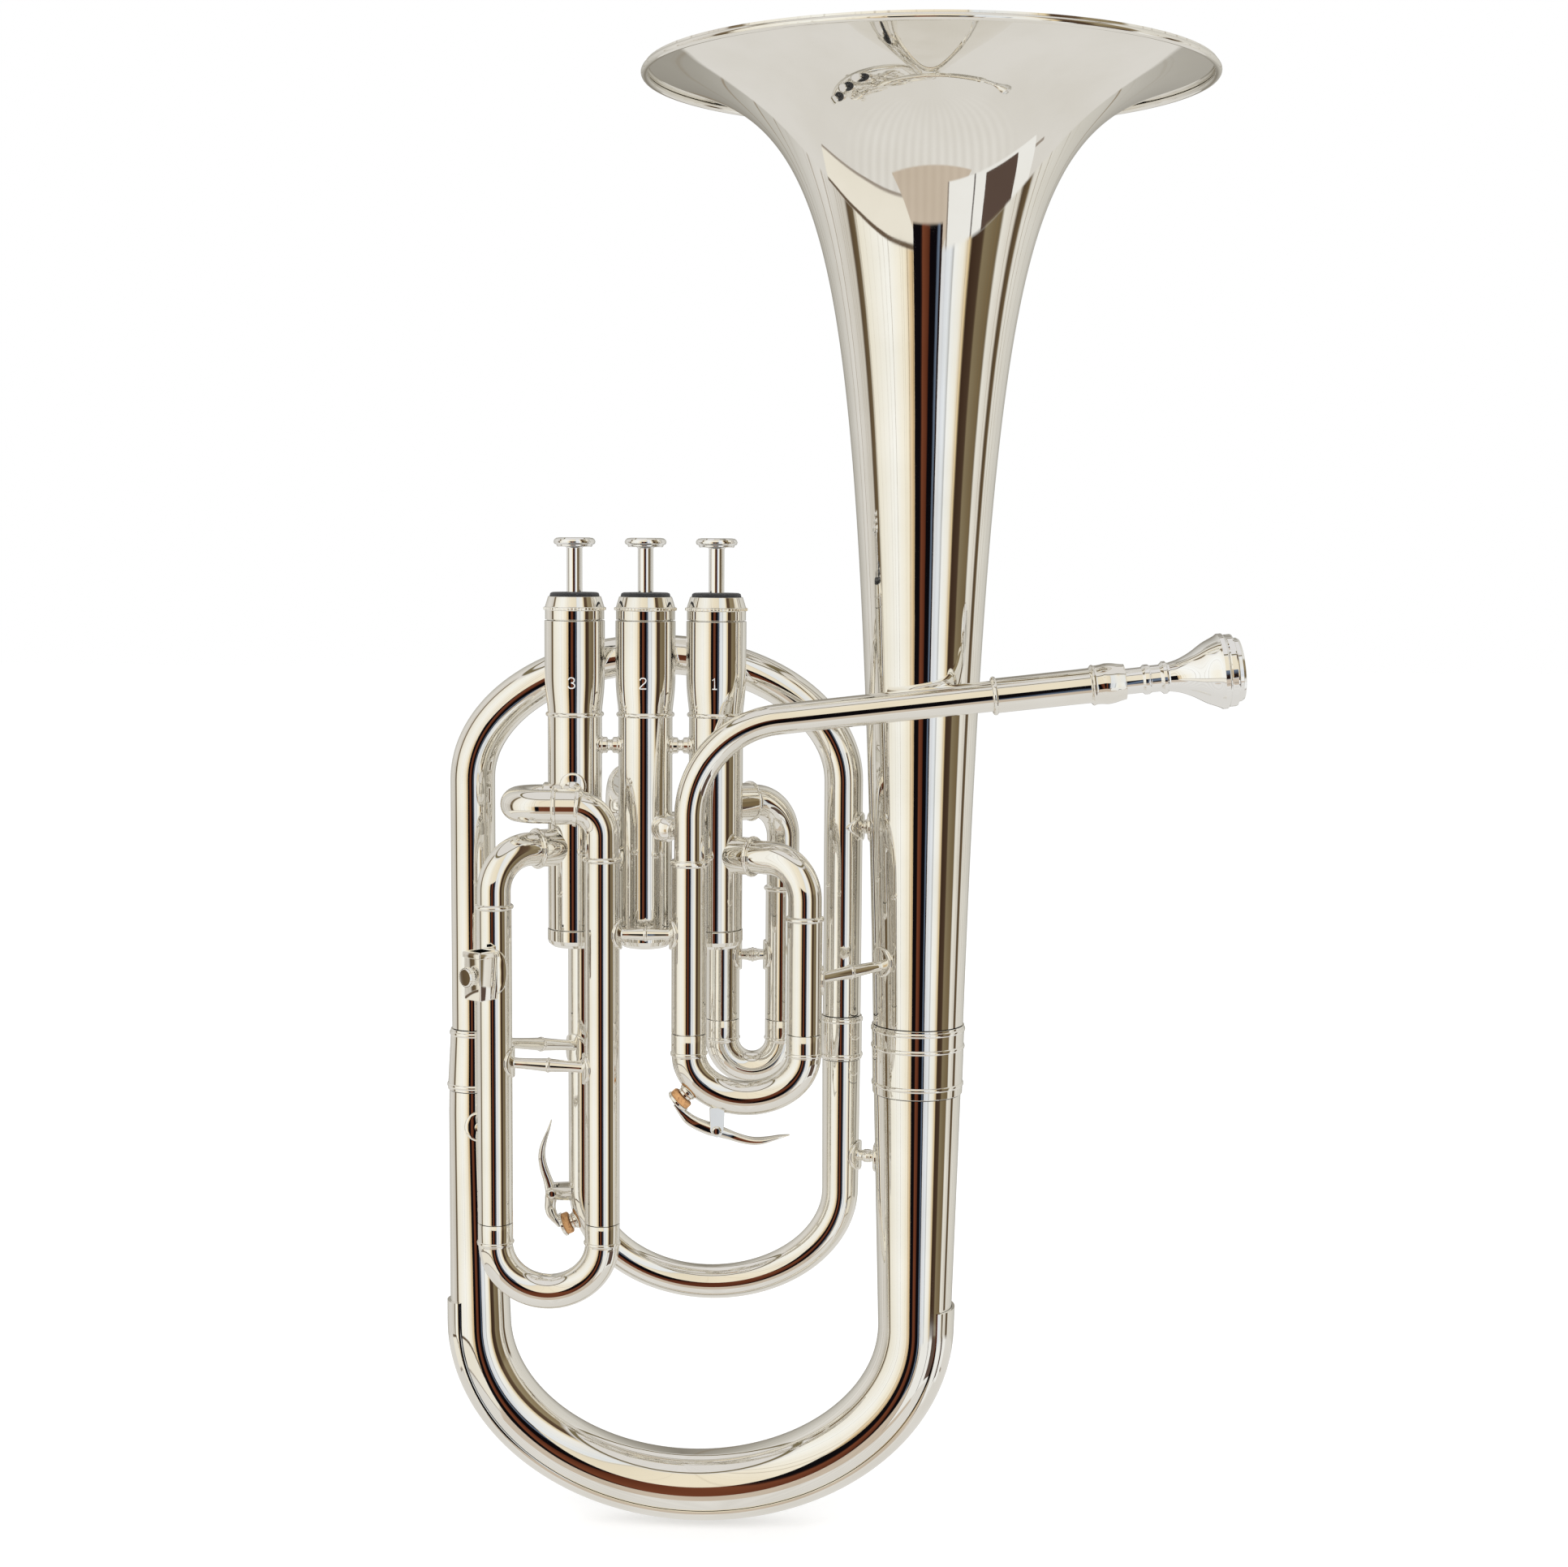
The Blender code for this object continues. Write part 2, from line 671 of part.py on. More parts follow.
# Each passage through a piston at rest: two ports as (azimuth, height), and the height where they meet.
# The second and third passages stand one stroke above the ports that they serve.
PASSAGES = {
    1: [
        ((TUNING_AZIMUTH, TUNING_PORT_Z), (180, KNUCKLE_1_2_Z), MEETING_HEIGHTS[1][0]),
        (
            (TUNING_AZIMUTH, TUNING_PORT_Z + VALVE_TRAVEL),
            (FIRST_LOWER_AZIMUTH, FIRST_LOWER_Z + VALVE_TRAVEL),
            MEETING_HEIGHTS[1][1],
        ),
        (
            (180, KNUCKLE_1_2_Z + VALVE_TRAVEL),
            (FIRST_UPPER_AZIMUTH, FIRST_UPPER_Z + VALVE_TRAVEL),
            MEETING_HEIGHTS[1][2],
        ),
    ],
    2: [
        ((0, KNUCKLE_1_2_Z), (180, KNUCKLE_2_3_Z), MEETING_HEIGHTS[2][0]),
        (
            (180, KNUCKLE_2_3_Z + VALVE_TRAVEL),
            (SECOND_SLIDE_AZIMUTH, SECOND_SLIDE_LOWER_Z + VALVE_TRAVEL),
            MEETING_HEIGHTS[2][1],
        ),
        (
            (0, KNUCKLE_1_2_Z + VALVE_TRAVEL),
            (SECOND_SLIDE_AZIMUTH, SECOND_SLIDE_UPPER_Z + VALVE_TRAVEL),
            MEETING_HEIGHTS[2][2],
        ),
    ],
    3: [
        ((0, KNUCKLE_2_3_Z), (LOOP_AZIMUTH, LOOP_PORT_Z), MEETING_HEIGHTS[3][0]),
        (
            (0, KNUCKLE_2_3_Z + VALVE_TRAVEL),
            (THIRD_LOWER_AZIMUTH, THIRD_LOWER_Z + VALVE_TRAVEL),
            MEETING_HEIGHTS[3][1],
        ),
        (
            (LOOP_AZIMUTH, LOOP_PORT_Z + VALVE_TRAVEL),
            (THIRD_UPPER_AZIMUTH, THIRD_UPPER_Z + VALVE_TRAVEL),
            MEETING_HEIGHTS[3][2],
        ),
    ],
}

NECK_TOP = SLEEVE_TOP + NECK_LENGTH
CAP_CEILING = TOP_CAP_TOP - FELT_SEAT_DEPTH - CAP_PLATE
FLANGE_TOP = CAP_CEILING - GAP
BARREL_TOP = FLANGE_TOP - STEM_FLANGE - GAP
BARREL_BORE = PISTON_RADIUS - BARREL_WALL
PLUG_BOTTOM = BARREL_TOP - PLUG_LENGTH
STEM_HOLE = STEM_RADIUS + STEM_CLEARANCE
FELT_TOP = TOP_CAP_TOP + FELT_PROUD
BUTTON_BOTTOM = FELT_TOP + GAP + VALVE_TRAVEL
BUTTON_TOP = BUTTON_BOTTOM + BUTTON_THICKNESS
GUIDE_TOP = GUIDE_BOTTOM + GUIDE_THICKNESS


def build_casing(number):
    """A valve casing: tube and sleeve, its sockets and ports, and the keyways for the valve guide."""
    axis = valve_axis(number)
    profile = [
        (0, NECK_TOP),
        (NECK_RADIUS, NECK_TOP),
        (NECK_RADIUS, SLEEVE_TOP),
        (SLEEVE_RADIUS, SLEEVE_TOP),
        (SLEEVE_RADIUS, SLEEVE_BOTTOM + SLEEVE_TAPER),
        (CASING_RADIUS, SLEEVE_BOTTOM + RING_WIDTH / 2),
        (CASING_RADIUS + RING_HEIGHT, SLEEVE_BOTTOM),
        (CASING_RADIUS, SLEEVE_BOTTOM - RING_WIDTH / 2),
        (CASING_RADIUS, CASING_BOTTOM),
        (CASING_RADIUS - THREAD_DEPTH, CASING_BOTTOM),
        (CASING_RADIUS - THREAD_DEPTH, CASING_BOTTOM - THREAD_LENGTH),
        (0, CASING_BOTTOM - THREAD_LENGTH),
    ]
    casing = turned("casing", profile, axis, sides=CASING_SIDES)
    sockets = []
    bores = [rod(axis + DOWN * CUT_REACH, axis + UP * CUT_REACH, CASING_BORE, CASING_SIDES)]
    for azimuth, height, reach in VALVE_PORTS[number]:
        start = axis + radial(azimuth, SOCKET_ROOT, height)
        outside = axis + radial(azimuth, max(reach, CASING_RADIUS) + CUT_MARGIN, height)
        if reach:
            end = axis + radial(azimuth, reach, height)
            sockets.append(build_socket(start, end, reach))
        if reach > COLLAR_REACH:
            fit = SLIDE_LEG_RADIUS + SLIDE_CLEARANCE if reach == SECOND_OUTER_REACH else ELBOW_RADIUS + GAP
            seat = SECOND_BORE_REACH if reach == SECOND_OUTER_REACH else reach - SOCKET_BORE_DEPTH
            bores.append(rod(axis + radial(azimuth, seat, height), outside, fit))
        bores.append(rod(axis + radial(azimuth, 0, height), outside, PASSAGE_RADIUS, PASSAGE_SIDES))
    if number == 2:
        sockets += build_links()
    join(casing, *sockets)
    keyway_top = NECK_TOP + CUT_MARGIN
    keyway_bottom = GUIDE_BOTTOM - GAP
    keyway = block(
        axis + UP * (keyway_top + keyway_bottom) / 2,
        (2 * (GUIDE_REACH + GAP), GUIDE_WIDTH + 2 * GAP, keyway_top - keyway_bottom),
    )
    cut(casing, *bores, keyway)
    return piece(casing, f"casing_{number}", SILVER)


def build_socket(start, end, reach):
    """A socket on a casing, with a ring at its mouth."""
    length = (end - start).length
    radius = SLIDE_TUBE_RADIUS if reach == SECOND_OUTER_REACH else COLLAR_RADIUS
    profile = [
        (0, length),
        (radius + RING_HEIGHT, length),
        (radius + RING_HEIGHT, length - RING_WIDTH / 2),
        (radius, length - RING_WIDTH / 2),
        (radius, 0),
        (0, 0),
    ]
    if reach == COLLAR_REACH:
        profile = [(0, length), (radius, length), (radius, 0), (0, 0)]
    return turned("socket", profile, start, end - start, sides=TUBE_SIDES)


def build_links():
    """The knuckles and the spool spacers that tie valve 2 to its neighbours."""
    links = []
    neighbours = []
    for side, knuckle_z in ((RIGHT, KNUCKLE_1_2_Z), (LEFT, KNUCKLE_2_3_Z)):
        neighbour = side * VALVE_SPACING
        links.append(rod(side * SOCKET_ROOT + UP * knuckle_z, neighbour + UP * knuckle_z, KNUCKLE_RADIUS))
        spool_start = side * SOCKET_ROOT + UP * SPACER_Z
        reach = VALVE_SPACING - SOCKET_ROOT
        middle = VALVE_SPACING / 2 - SOCKET_ROOT
        spool = [
            (0, reach),
            (SPACER_RADIUS, reach),
            (SPACER_RADIUS, middle + SPACER_HALF_WAIST),
            (SPACER_WAIST, middle),
            (SPACER_RADIUS, middle - SPACER_HALF_WAIST),
            (SPACER_RADIUS, 0),
            (0, 0),
        ]
        links.append(turned("spool", spool, spool_start, side, sides=PASSAGE_SIDES))
        low = neighbour + UP * CASING_BOTTOM
        neighbours.append(rod(low, neighbour + UP * SLEEVE_BOTTOM, CASING_RADIUS + GAP, CASING_SIDES))
    for link in links:
        cut(link, neighbours[0 if link.matrix_world.translation.x > 0 else 1])
    return links


def build_top_cap(number):
    """The knurled top cap, with a seat for its felt and a hole for the stem."""
    skirt = TOP_CAP_RADIUS
    bore = NECK_RADIUS + GAP
    profile = [
        (FELT_RADIUS + GAP, TOP_CAP_TOP),
        (TOP_CAP_RIM_RADIUS, TOP_CAP_TOP),
        (skirt, TOP_CAP_BEAD_Z + RING_WIDTH / 2),
        (skirt + TOP_CAP_BEAD, TOP_CAP_BEAD_Z),
        (skirt, TOP_CAP_BEAD_Z - RING_WIDTH / 2),
        (skirt, SLEEVE_TOP + GAP),
        (bore, SLEEVE_TOP + GAP),
        (bore, NECK_TOP + GAP),
        (PISTON_RADIUS + GAP, CAP_CEILING),
        (STEM_HOLE, CAP_CEILING),
        (STEM_HOLE, TOP_CAP_TOP - FELT_SEAT_DEPTH),
        (FELT_RADIUS + GAP, TOP_CAP_TOP - FELT_SEAT_DEPTH),
    ]
    cap = turned("top_cap", profile, valve_axis(number), ring=True)
    return piece(cap, f"top_cap_{number}", SILVER)


def build_felt(number):
    """The black felt in the top cap, which stops the finger button."""
    bottom = TOP_CAP_TOP - FELT_SEAT_DEPTH + GAP
    profile = [
        (FELT_RADIUS, FELT_TOP),
        (FELT_RADIUS, bottom),
        (STEM_HOLE, bottom),
        (STEM_HOLE, FELT_TOP),
    ]
    return piece(turned("felt", profile, valve_axis(number), ring=True), f"felt_{number}", BLACK_FELT)


def build_bottom_cap(number):
    """The screwed cup that closes a casing."""
    radius = BOTTOM_CAP_RADIUS
    bore = CASING_RADIUS - THREAD_DEPTH + GAP
    top = CASING_BOTTOM - GAP
    bottom = top - BOTTOM_CAP_HEIGHT
    profile = [
        (radius, top),
        (radius, bottom + BOTTOM_CAP_ROUND),
        (radius - BOTTOM_CAP_ROUND, bottom),
        (0, bottom),
        (0, bottom + BOTTOM_CAP_FLOOR),
        (bore, bottom + BOTTOM_CAP_FLOOR),
        (bore, top),
    ]
    cap = turned("bottom_cap", profile, valve_axis(number), sides=CASING_SIDES, ring=True)
    return piece(cap, f"bottom_cap_{number}", SILVER)


def build_piston(number):
    """A ported piston with its slotted spring barrel on top."""
    axis = valve_axis(number)
    profile = [
        (BARREL_BORE, BARREL_TOP),
        (PISTON_RADIUS, BARREL_TOP),
        (PISTON_RADIUS, PISTON_BOTTOM),
        (0, PISTON_BOTTOM),
        (0, PORTED_TOP),
        (BARREL_BORE, PORTED_TOP),
    ]
    piston = turned("piston", profile, axis, sides=CASING_SIDES, ring=True)
    slot_bottom = GUIDE_BOTTOM - GUIDE_CLEARANCE
    slot_top = GUIDE_TOP + GUIDE_CLEARANCE + VALVE_TRAVEL
    slot = block(
        axis + UP * (slot_bottom + slot_top) / 2,
        (3 * PISTON_RADIUS, GUIDE_WIDTH + 2 * GUIDE_CLEARANCE, slot_top - slot_bottom),
    )
    cutters = [slot]
    for first, second, meeting in PASSAGES[number]:
        for azimuth, height in (first, second):
            middle = axis + UP * meeting
            mouth = axis + radial(azimuth, PISTON_RADIUS, height)
            run = (mouth - middle).normalized()
            back = middle - run * PASSAGE_RADIUS / 2
            cutters.append(rod(back, mouth + run * PASSAGE_RADIUS, PASSAGE_RADIUS, PASSAGE_SIDES))
    cut(piston, *cutters)
    return piece(piston, f"piston_{number}", PISTON_ALLOY)


def build_finger_button(number):
    """The finger button, its stem and the plug that closes the spring barrel."""
    plug = BARREL_BORE - GAP
    profile = [
        (0, BUTTON_TOP),
        *((radius, BUTTON_TOP - depth) for radius, depth in BUTTON_SIDE),
        (STEM_RADIUS, BUTTON_BOTTOM),
        (STEM_RADIUS, FLANGE_TOP),
        (PISTON_RADIUS - GAP, FLANGE_TOP),
        (PISTON_RADIUS - GAP, BARREL_TOP + GAP),
        (plug, BARREL_TOP + GAP),
        (plug, PLUG_BOTTOM),
        (0, PLUG_BOTTOM),
    ]
    button = turned("finger_button", profile, valve_axis(number))
    return piece(button, f"finger_button_{number}", SILVER)


def build_valve_guide(number):
    """The guide disc in the spring barrel, whose ears pass through its slots into the casing's keyways."""
    axis = valve_axis(number)
    disc = rod(axis + UP * GUIDE_BOTTOM, axis + UP * GUIDE_TOP, BARREL_BORE - GUIDE_CLEARANCE)
    ears = block(
        axis + UP * (GUIDE_BOTTOM + GUIDE_TOP) / 2,
        (2 * GUIDE_REACH, GUIDE_WIDTH, GUIDE_THICKNESS),
    )
    return piece(join(disc, ears), f"valve_guide_{number}", PISTON_ALLOY)


def build_valve_spring(number):
    """The spring between the valve guide and the plug of the stem."""
    bottom = GUIDE_TOP + GAP + SPRING_WIRE
    top = PLUG_BOTTOM - GAP - SPRING_WIRE
    count = SPRING_TURNS * SPRING_POINTS
    route = []
    for index in range(count + 1):
        share = index / count
        route.append(
            valve_axis(number) + radial(360 * SPRING_TURNS * share, SPRING_RADIUS, bottom + (top - bottom) * share)
        )
    spring = pipe("valve_spring", route, [(0, SPRING_WIRE)], wall=0, sides=4)
    set_origin(spring, valve_axis(number))
    return piece(spring, f"valve_spring_{number}", SPRING_STEEL)


def build_valves():
    """The three piston valves."""
    for number in (1, 2, 3):
        build_casing(number)
        build_top_cap(number)
        build_felt(number)
        build_bottom_cap(number)
        build_piston(number)
        build_finger_button(number)
        build_valve_guide(number)
        build_valve_spring(number)


def bell_radius(distance):
    """The bell's outer radius at a distance below its rim."""
    flare = BELL_RIM_RADIUS * ((distance + BELL_FLARE) / BELL_FLARE) ** -BELL_POWER
    return max(flare, BELL_THROAT_RADIUS)


BELL_STATIONS = [share**2.2 for share in (0, 0.1, 0.19, 0.29, 0.41, 0.54, 0.69, 0.85, 1)]


def bell_outline(grow=0.0):
    """The bell's outer side from the rim down, as (radius, height)."""
    distances = [BELL_LENGTH * station for station in BELL_STATIONS]
    return [(bell_radius(distance) + grow, BELL_RIM_Z - distance) for distance in distances]


def bell_axis(height=0.0):
    """The point of the bell's axis at a height."""
    return Vector((BELL_AXIS_X, BELL_AXIS_Y, height))


def build_bell():
    """The bell, with its rolled rim."""
    outer = bell_outline()
    inner = []
    for index in range(len(outer) - 1, 0, -1):
        before = Vector(outer[index - 1])
        after = Vector(outer[min(index + 1, len(outer) - 1)])
        run = (after - before).normalized()
        radius, height = outer[index]
        inner.append((radius + run.y * BELL_WALL, height - run.x * BELL_WALL))
    bead = [
        (BELL_EDGE_RADIUS - 2 * BELL_BEAD, BELL_RIM_Z),
        (BELL_EDGE_RADIUS - BELL_BEAD / 2, BELL_RIM_Z),
        (BELL_EDGE_RADIUS, BELL_RIM_Z - BELL_BEAD / 2),
        (BELL_EDGE_RADIUS - BELL_BEAD / 2, BELL_RIM_Z - 2 * BELL_BEAD),
    ]
    bell = turned("bell", bead + outer[1:] + inner, bell_axis(), sides=BELL_SIDES, ring=True)
    bell.matrix_world = Matrix.Translation(bell_axis())
    return piece(bell, "bell", SILVER)


def ferrule(name, point, bottom, top, low_tube, high_tube, beads):
    """A sleeve round a joint of two tubes, with raised beads at the given distances from its top."""
    length = top - bottom
    low_radius = low_tube + FERRULE_PROUD
    high_radius = high_tube + FERRULE_PROUD
    outer = [(high_radius, length)]
    for bead in beads:
        share = bead / length
        radius = high_radius + (low_radius - high_radius) * share
        outer += [
            (radius, length - bead + RING_WIDTH / 2),
            (radius + RING_HEIGHT, length - bead),
            (radius, length - bead - RING_WIDTH / 2),
        ]
    outer.append((low_radius, 0))
    profile = outer + [(low_radius - BOW_WALL, 0), (high_radius - BOW_WALL, length)]
    start = Vector((point.x, point.y, bottom))
    return piece(turned(name, profile, start, ring=True), name, SILVER)


def bottom_bow_route():
    """The centre line of the bottom bow, from under the bell to under the left ferrule."""
    top = bell_axis(BELL_RIM_Z - BELL_LENGTH - FERRULE_LENGTH - 2 * GAP)
    right = bell_axis(BOW_SPRING_Z)
    left = Vector((BELL_AXIS_X - 2 * BOW_HALF_WIDTH, (BELL_AXIS_Y + BACK_Y) / 2, BOW_SPRING_Z))
    end = Vector((LEFT_TUBE_X, BACK_Y, LEFT_FERRULE_BOTTOM - GAP))
    return [top] + bow_route(right, left, BOW_DEPTH, DOWN, BOTTOM_BOW_STEPS) + [end + DOWN * BOW_END_RUN, end]


def bottom_bow_sizes(route, grow=0.0):
    """The radii of the bottom bow along its route."""
    right_leg = (route[1] - route[0]).length
    left_leg = length_of(route[-3:])
    total = length_of(route)
    bow = total - right_leg - left_leg
    return [
        (0, BOW_TOP_RADIUS + grow),
        (right_leg, BOW_RIGHT_RADIUS + grow),
        (right_leg + bow / 2, BOW_BOTTOM_RADIUS + grow),
        (total - left_leg, BOW_LEFT_RADIUS + grow),
        (total, BOW_END_RADIUS + grow),
    ]


def build_bottom_bow():
    """The bottom bow and the guard strip round its outer side."""
    route = bottom_bow_route()
    sizes = bottom_bow_sizes(route)
    piece(pipe("bottom_bow", route, sizes, BOW_WALL, BOW_SIDES), "bottom_bow", SILVER)
    right_leg = (route[1] - route[0]).length
    total = length_of(route)
    low_route = route[1:-2]
    start = low_route[0] + UP * GUARD_RISE
    end = low_route[-1] + (route[-2] - route[-3]).normalized() * GUARD_RISE
    guard_route = [start] + low_route + [end]
    grow = GAP + GUARD_WALL
    before = right_leg - GUARD_RISE
    whole = bottom_bow_sizes(route, grow)
    marks = [before, right_leg, total / 2, total - length_of(route[-3:])]
    marks.append(marks[-1] + GUARD_RISE)
    sizes = [(mark - before, radius_at(mark, whole)) for mark in marks]
    guard = pipe("bow_guard", guard_route, sizes, GUARD_WALL, BOW_SIDES)
    half_width = BOW_HALF_WIDTH + BOW_BOTTOM_RADIUS * GUARD_SHARE
    depth = BOW_DEPTH + BOW_BOTTOM_RADIUS * GUARD_SHARE
    middle = (low_route[0] + low_route[-1]) / 2
    inside = rod(middle - BACK * CUT_REACH, middle + BACK * CUT_REACH, 1, GUARD_SIDES)
    inside.data.transform(Matrix.Diagonal((half_width, depth, 1, 1)))
    inside.matrix_world = Matrix.Translation(middle - BACK * CUT_REACH) @ Matrix.Rotation(-math.pi / 2, 4, "X")
    between = block(middle + UP * GUARD_RISE, (2 * half_width, CUT_REACH, 2 * (GUARD_RISE + 2 * CUT_MARGIN)))
    cut(guard, inside, between)
    return piece(guard, "bow_guard", SILVER)


def build_top_bow():
    """The top bow, from the left ferrule up, over behind the valves and down to the right ferrule."""
    left = Vector((LEFT_TUBE_X, BACK_Y, TOP_BOW_SPRING_Z))
    right = Vector((RIGHT_TUBE_X, BACK_Y, TOP_BOW_SPRING_Z))
    start = Vector((LEFT_TUBE_X, BACK_Y, LEFT_FERRULE_TOP + GAP))
    end = Vector((RIGHT_TUBE_X, BACK_Y, RIGHT_FERRULE_TOP + GAP))
    route = [start] + bow_route(left, right, TOP_BOW_RISE, UP, LOOP_STEPS) + [end]
    left_leg = (route[1] - route[0]).length
    total = length_of(route)
    sizes = [
        (0, LEFT_TUBE_RADIUS),
        (left_leg, LEFT_TUBE_RADIUS),
        (total / 2, TOP_BOW_RADIUS),
        (total, RIGHT_TUBE_RADIUS),
    ]
    return piece(pipe("top_bow", route, sizes, TUBE_WALL), "top_bow", SILVER)


def inner_bow_route():
    """The centre line of the inner bow, from the right ferrule round below and up into valve 3."""
    start = Vector((RIGHT_TUBE_X, BACK_Y, RIGHT_FERRULE_BOTTOM - GAP))
    right = Vector((RIGHT_TUBE_X, BACK_Y, INNER_BOW_SPRING_Z))
    left = INNER_TUBE + UP * INNER_BOW_SPRING_Z
    axis = valve_axis(3) + UP * LOOP_PORT_Z
    inward = radial(LOOP_AZIMUTH, COLLAR_REACH + GAP)
    room = (INNER_TUBE - valve_axis(3)).length - COLLAR_REACH - GAP
    bow = bow_route(right, left, INNER_BOW_DEPTH, DOWN, LOOP_STEPS)
    rise = bent_route([left, INNER_TUBE + UP * LOOP_PORT_Z, axis + inward], [room - LEAD_IN])
    return [start] + bow + rise[1:]


def build_inner_bow():
    """The inner bow, with the nipple and the saddle of its water key."""
    route = inner_bow_route()
    total = length_of(route)
    sizes = [(0, RIGHT_TUBE_RADIUS), (total * INNER_TAPER_SHARE, INNER_BOW_RADIUS)]
    bow = pipe("inner_bow", route, sizes, TUBE_WALL)
    add_water_key_seat(bow, KEY_2)
    return piece(bow, "inner_bow", SILVER)


def leadpipe_line(x):
    """The point of the leadpipe's sloping run at an X."""
    return Vector((x, FRONT_Y, LEADPIPE_END_Z + (x - LEADPIPE_END_X) * math.tan(LEADPIPE_SLOPE)))


LEADPIPE_RUN = Vector((math.cos(LEADPIPE_SLOPE), 0, math.sin(LEADPIPE_SLOPE)))
RECEIVER_START = leadpipe_line(LEADPIPE_END_X) - LEADPIPE_RUN * RECEIVER_OVERLAP
RECEIVER_END = RECEIVER_START + LEADPIPE_RUN * RECEIVER_LENGTH
MOUTHPIECE_START = RECEIVER_END - LEADPIPE_RUN * SHANK_INSERT


def build_leadpipe():
    """The leadpipe, which sweeps down into the main tuning slide, and the mouthpiece receiver."""
    corner = leadpipe_line(TUNING_LEFT_X)
    bottom = TUNING_LEFT + UP * (TUNING_LEFT_TOP - LEADPIPE_SEAT)
    route = bent_route([bottom, corner, leadpipe_line(LEADPIPE_END_X)], [LEADPIPE_BEND], LEADPIPE_STEP)
    piece(pipe("leadpipe", route, [(0, LEADPIPE_RADIUS)], TUBE_WALL), "leadpipe", SILVER)
    profile = [
        (RECEIVER_BORE, RECEIVER_LENGTH),
        *((radius, RECEIVER_LENGTH - depth) for radius, depth in RECEIVER_BULB),
        (RECEIVER_RADIUS, RING_WIDTH),
        (RECEIVER_RADIUS + RING_HEIGHT, RING_WIDTH * 0.75),
        (RECEIVER_RADIUS + RING_HEIGHT, 0),
        (LEADPIPE_RADIUS + GAP, 0),
        (LEADPIPE_RADIUS + GAP, RECEIVER_OVERLAP + GAP),
        (RECEIVER_BORE, RECEIVER_OVERLAP + GAP),
    ]
    receiver = turned("mouthpiece_receiver", profile, RECEIVER_START, LEADPIPE_RUN, ring=True)
    piece(receiver, "mouthpiece_receiver", SILVER)


def build_mouthpiece():
    """The mouthpiece: shank, turned beads, cup with its flange, and rim."""
    profile = [(radius, MOUTHPIECE_LENGTH - depth) for radius, depth in MOUTHPIECE_SIDE + MOUTHPIECE_BORE]
    cup = turned("mouthpiece", profile, MOUTHPIECE_START, LEADPIPE_RUN, sides=CASING_SIDES, ring=True)
    return piece(cup, "mouthpiece", BRIGHT_SILVER)


def elbow_route(number, azimuth, height, leg, bottom):
    """From a valve's socket out to a slide leg and down it."""
    axis = valve_axis(number) + UP * height
    start = axis + radial(azimuth, SOCKET_REACH - SOCKET_BORE_DEPTH + GAP)
    return bent_route([start, leg + UP * height, leg + UP * bottom], [ELBOW_BEND])


def outer_sizes(route, leg_top, bottom):
    """The radii of an elbow that steps up to a slide's outer tube at a ring."""
    step = bottom - leg_top
    half = RING_WIDTH / 2
    return [
        (0, ELBOW_RADIUS),
        (step - half - STEP_RUN, ELBOW_RADIUS),
        (step - half, SLIDE_TUBE_RADIUS + RING_HEIGHT),
        (step + half - STEP_RUN, SLIDE_TUBE_RADIUS + RING_HEIGHT),
        (step + half, SLIDE_TUBE_RADIUS),
    ]


def straight_outer(name, leg, top, bottom):
    """A straight outer slide tube, with a ring at its top."""
    radius = SLIDE_TUBE_RADIUS
    bore = radius - TUBE_WALL
    length = top - bottom
    profile = [
        (bore, length),
        (radius + RING_HEIGHT, length),
        (radius + RING_HEIGHT, length - RING_WIDTH / 2),
        (radius, length - RING_WIDTH),
        (radius, 0),
        (bore, 0),
    ]
    return piece(turned(name, profile, leg + UP * bottom, ring=True, sides=TUBE_SIDES), name, SILVER)


def crook(name, first, last, outward, ferrule_length, depth):
    """A slide crook. first and last are (point at the outer tube's end, length of the leg inside it)."""
    (first_end, first_leg), (last_end, last_leg) = first, last
    bow_start = first_end + outward * (GAP + ferrule_length)
    bow_end = last_end + outward * (GAP + ferrule_length)
    route = [first_end - outward * first_leg]
    route += bow_route(bow_start, bow_end, depth, outward, CROOK_STEPS)
    route.append(last_end - outward * last_leg)
    start = first_leg + GAP
    end = -(last_leg + GAP)
    radius = SLIDE_TUBE_RADIUS
    sizes = [
        (start, SLIDE_LEG_RADIUS),
        (start + STEP_RUN, radius),
        *ring_at(start + ferrule_length, radius, RING_HEIGHT / 2),
        *ring_at(end - ferrule_length, radius, RING_HEIGHT / 2),
        (end - STEP_RUN, radius),
        (end, SLIDE_LEG_RADIUS),
    ]
    return pipe(name, route, sizes, TUBE_WALL)


def build_tuning_slide():
    """The main tuning slide: leadpipe side, valve side and crook, with its water key's seat."""
    straight_outer("tuning_outer_left", TUNING_LEFT, TUNING_LEFT_TOP, TUNING_BOTTOM)
    route = elbow_route(1, TUNING_AZIMUTH, TUNING_PORT_Z, TUNING_RIGHT, TUNING_BOTTOM)
    sizes = outer_sizes(route, TUNING_RIGHT_TOP, TUNING_BOTTOM)
    piece(pipe("tuning_outer_right", route, sizes), "tuning_outer_right", SILVER)
    left_leg = TUNING_LEFT_TOP - TUNING_BOTTOM - LEADPIPE_SEAT - LEG_MARGIN
    right_leg = TUNING_RIGHT_TOP - TUNING_BOTTOM - LEG_MARGIN
    bow = crook(
        "tuning_crook",
        (TUNING_LEFT + UP * TUNING_BOTTOM, left_leg),
        (TUNING_RIGHT + UP * TUNING_BOTTOM, right_leg),
        DOWN,
        SLIDE_FERRULE,
        TUNING_BOW_DEPTH,
    )
    add_water_key_seat(bow, KEY_1)
    return piece(bow, "tuning_crook", SILVER)


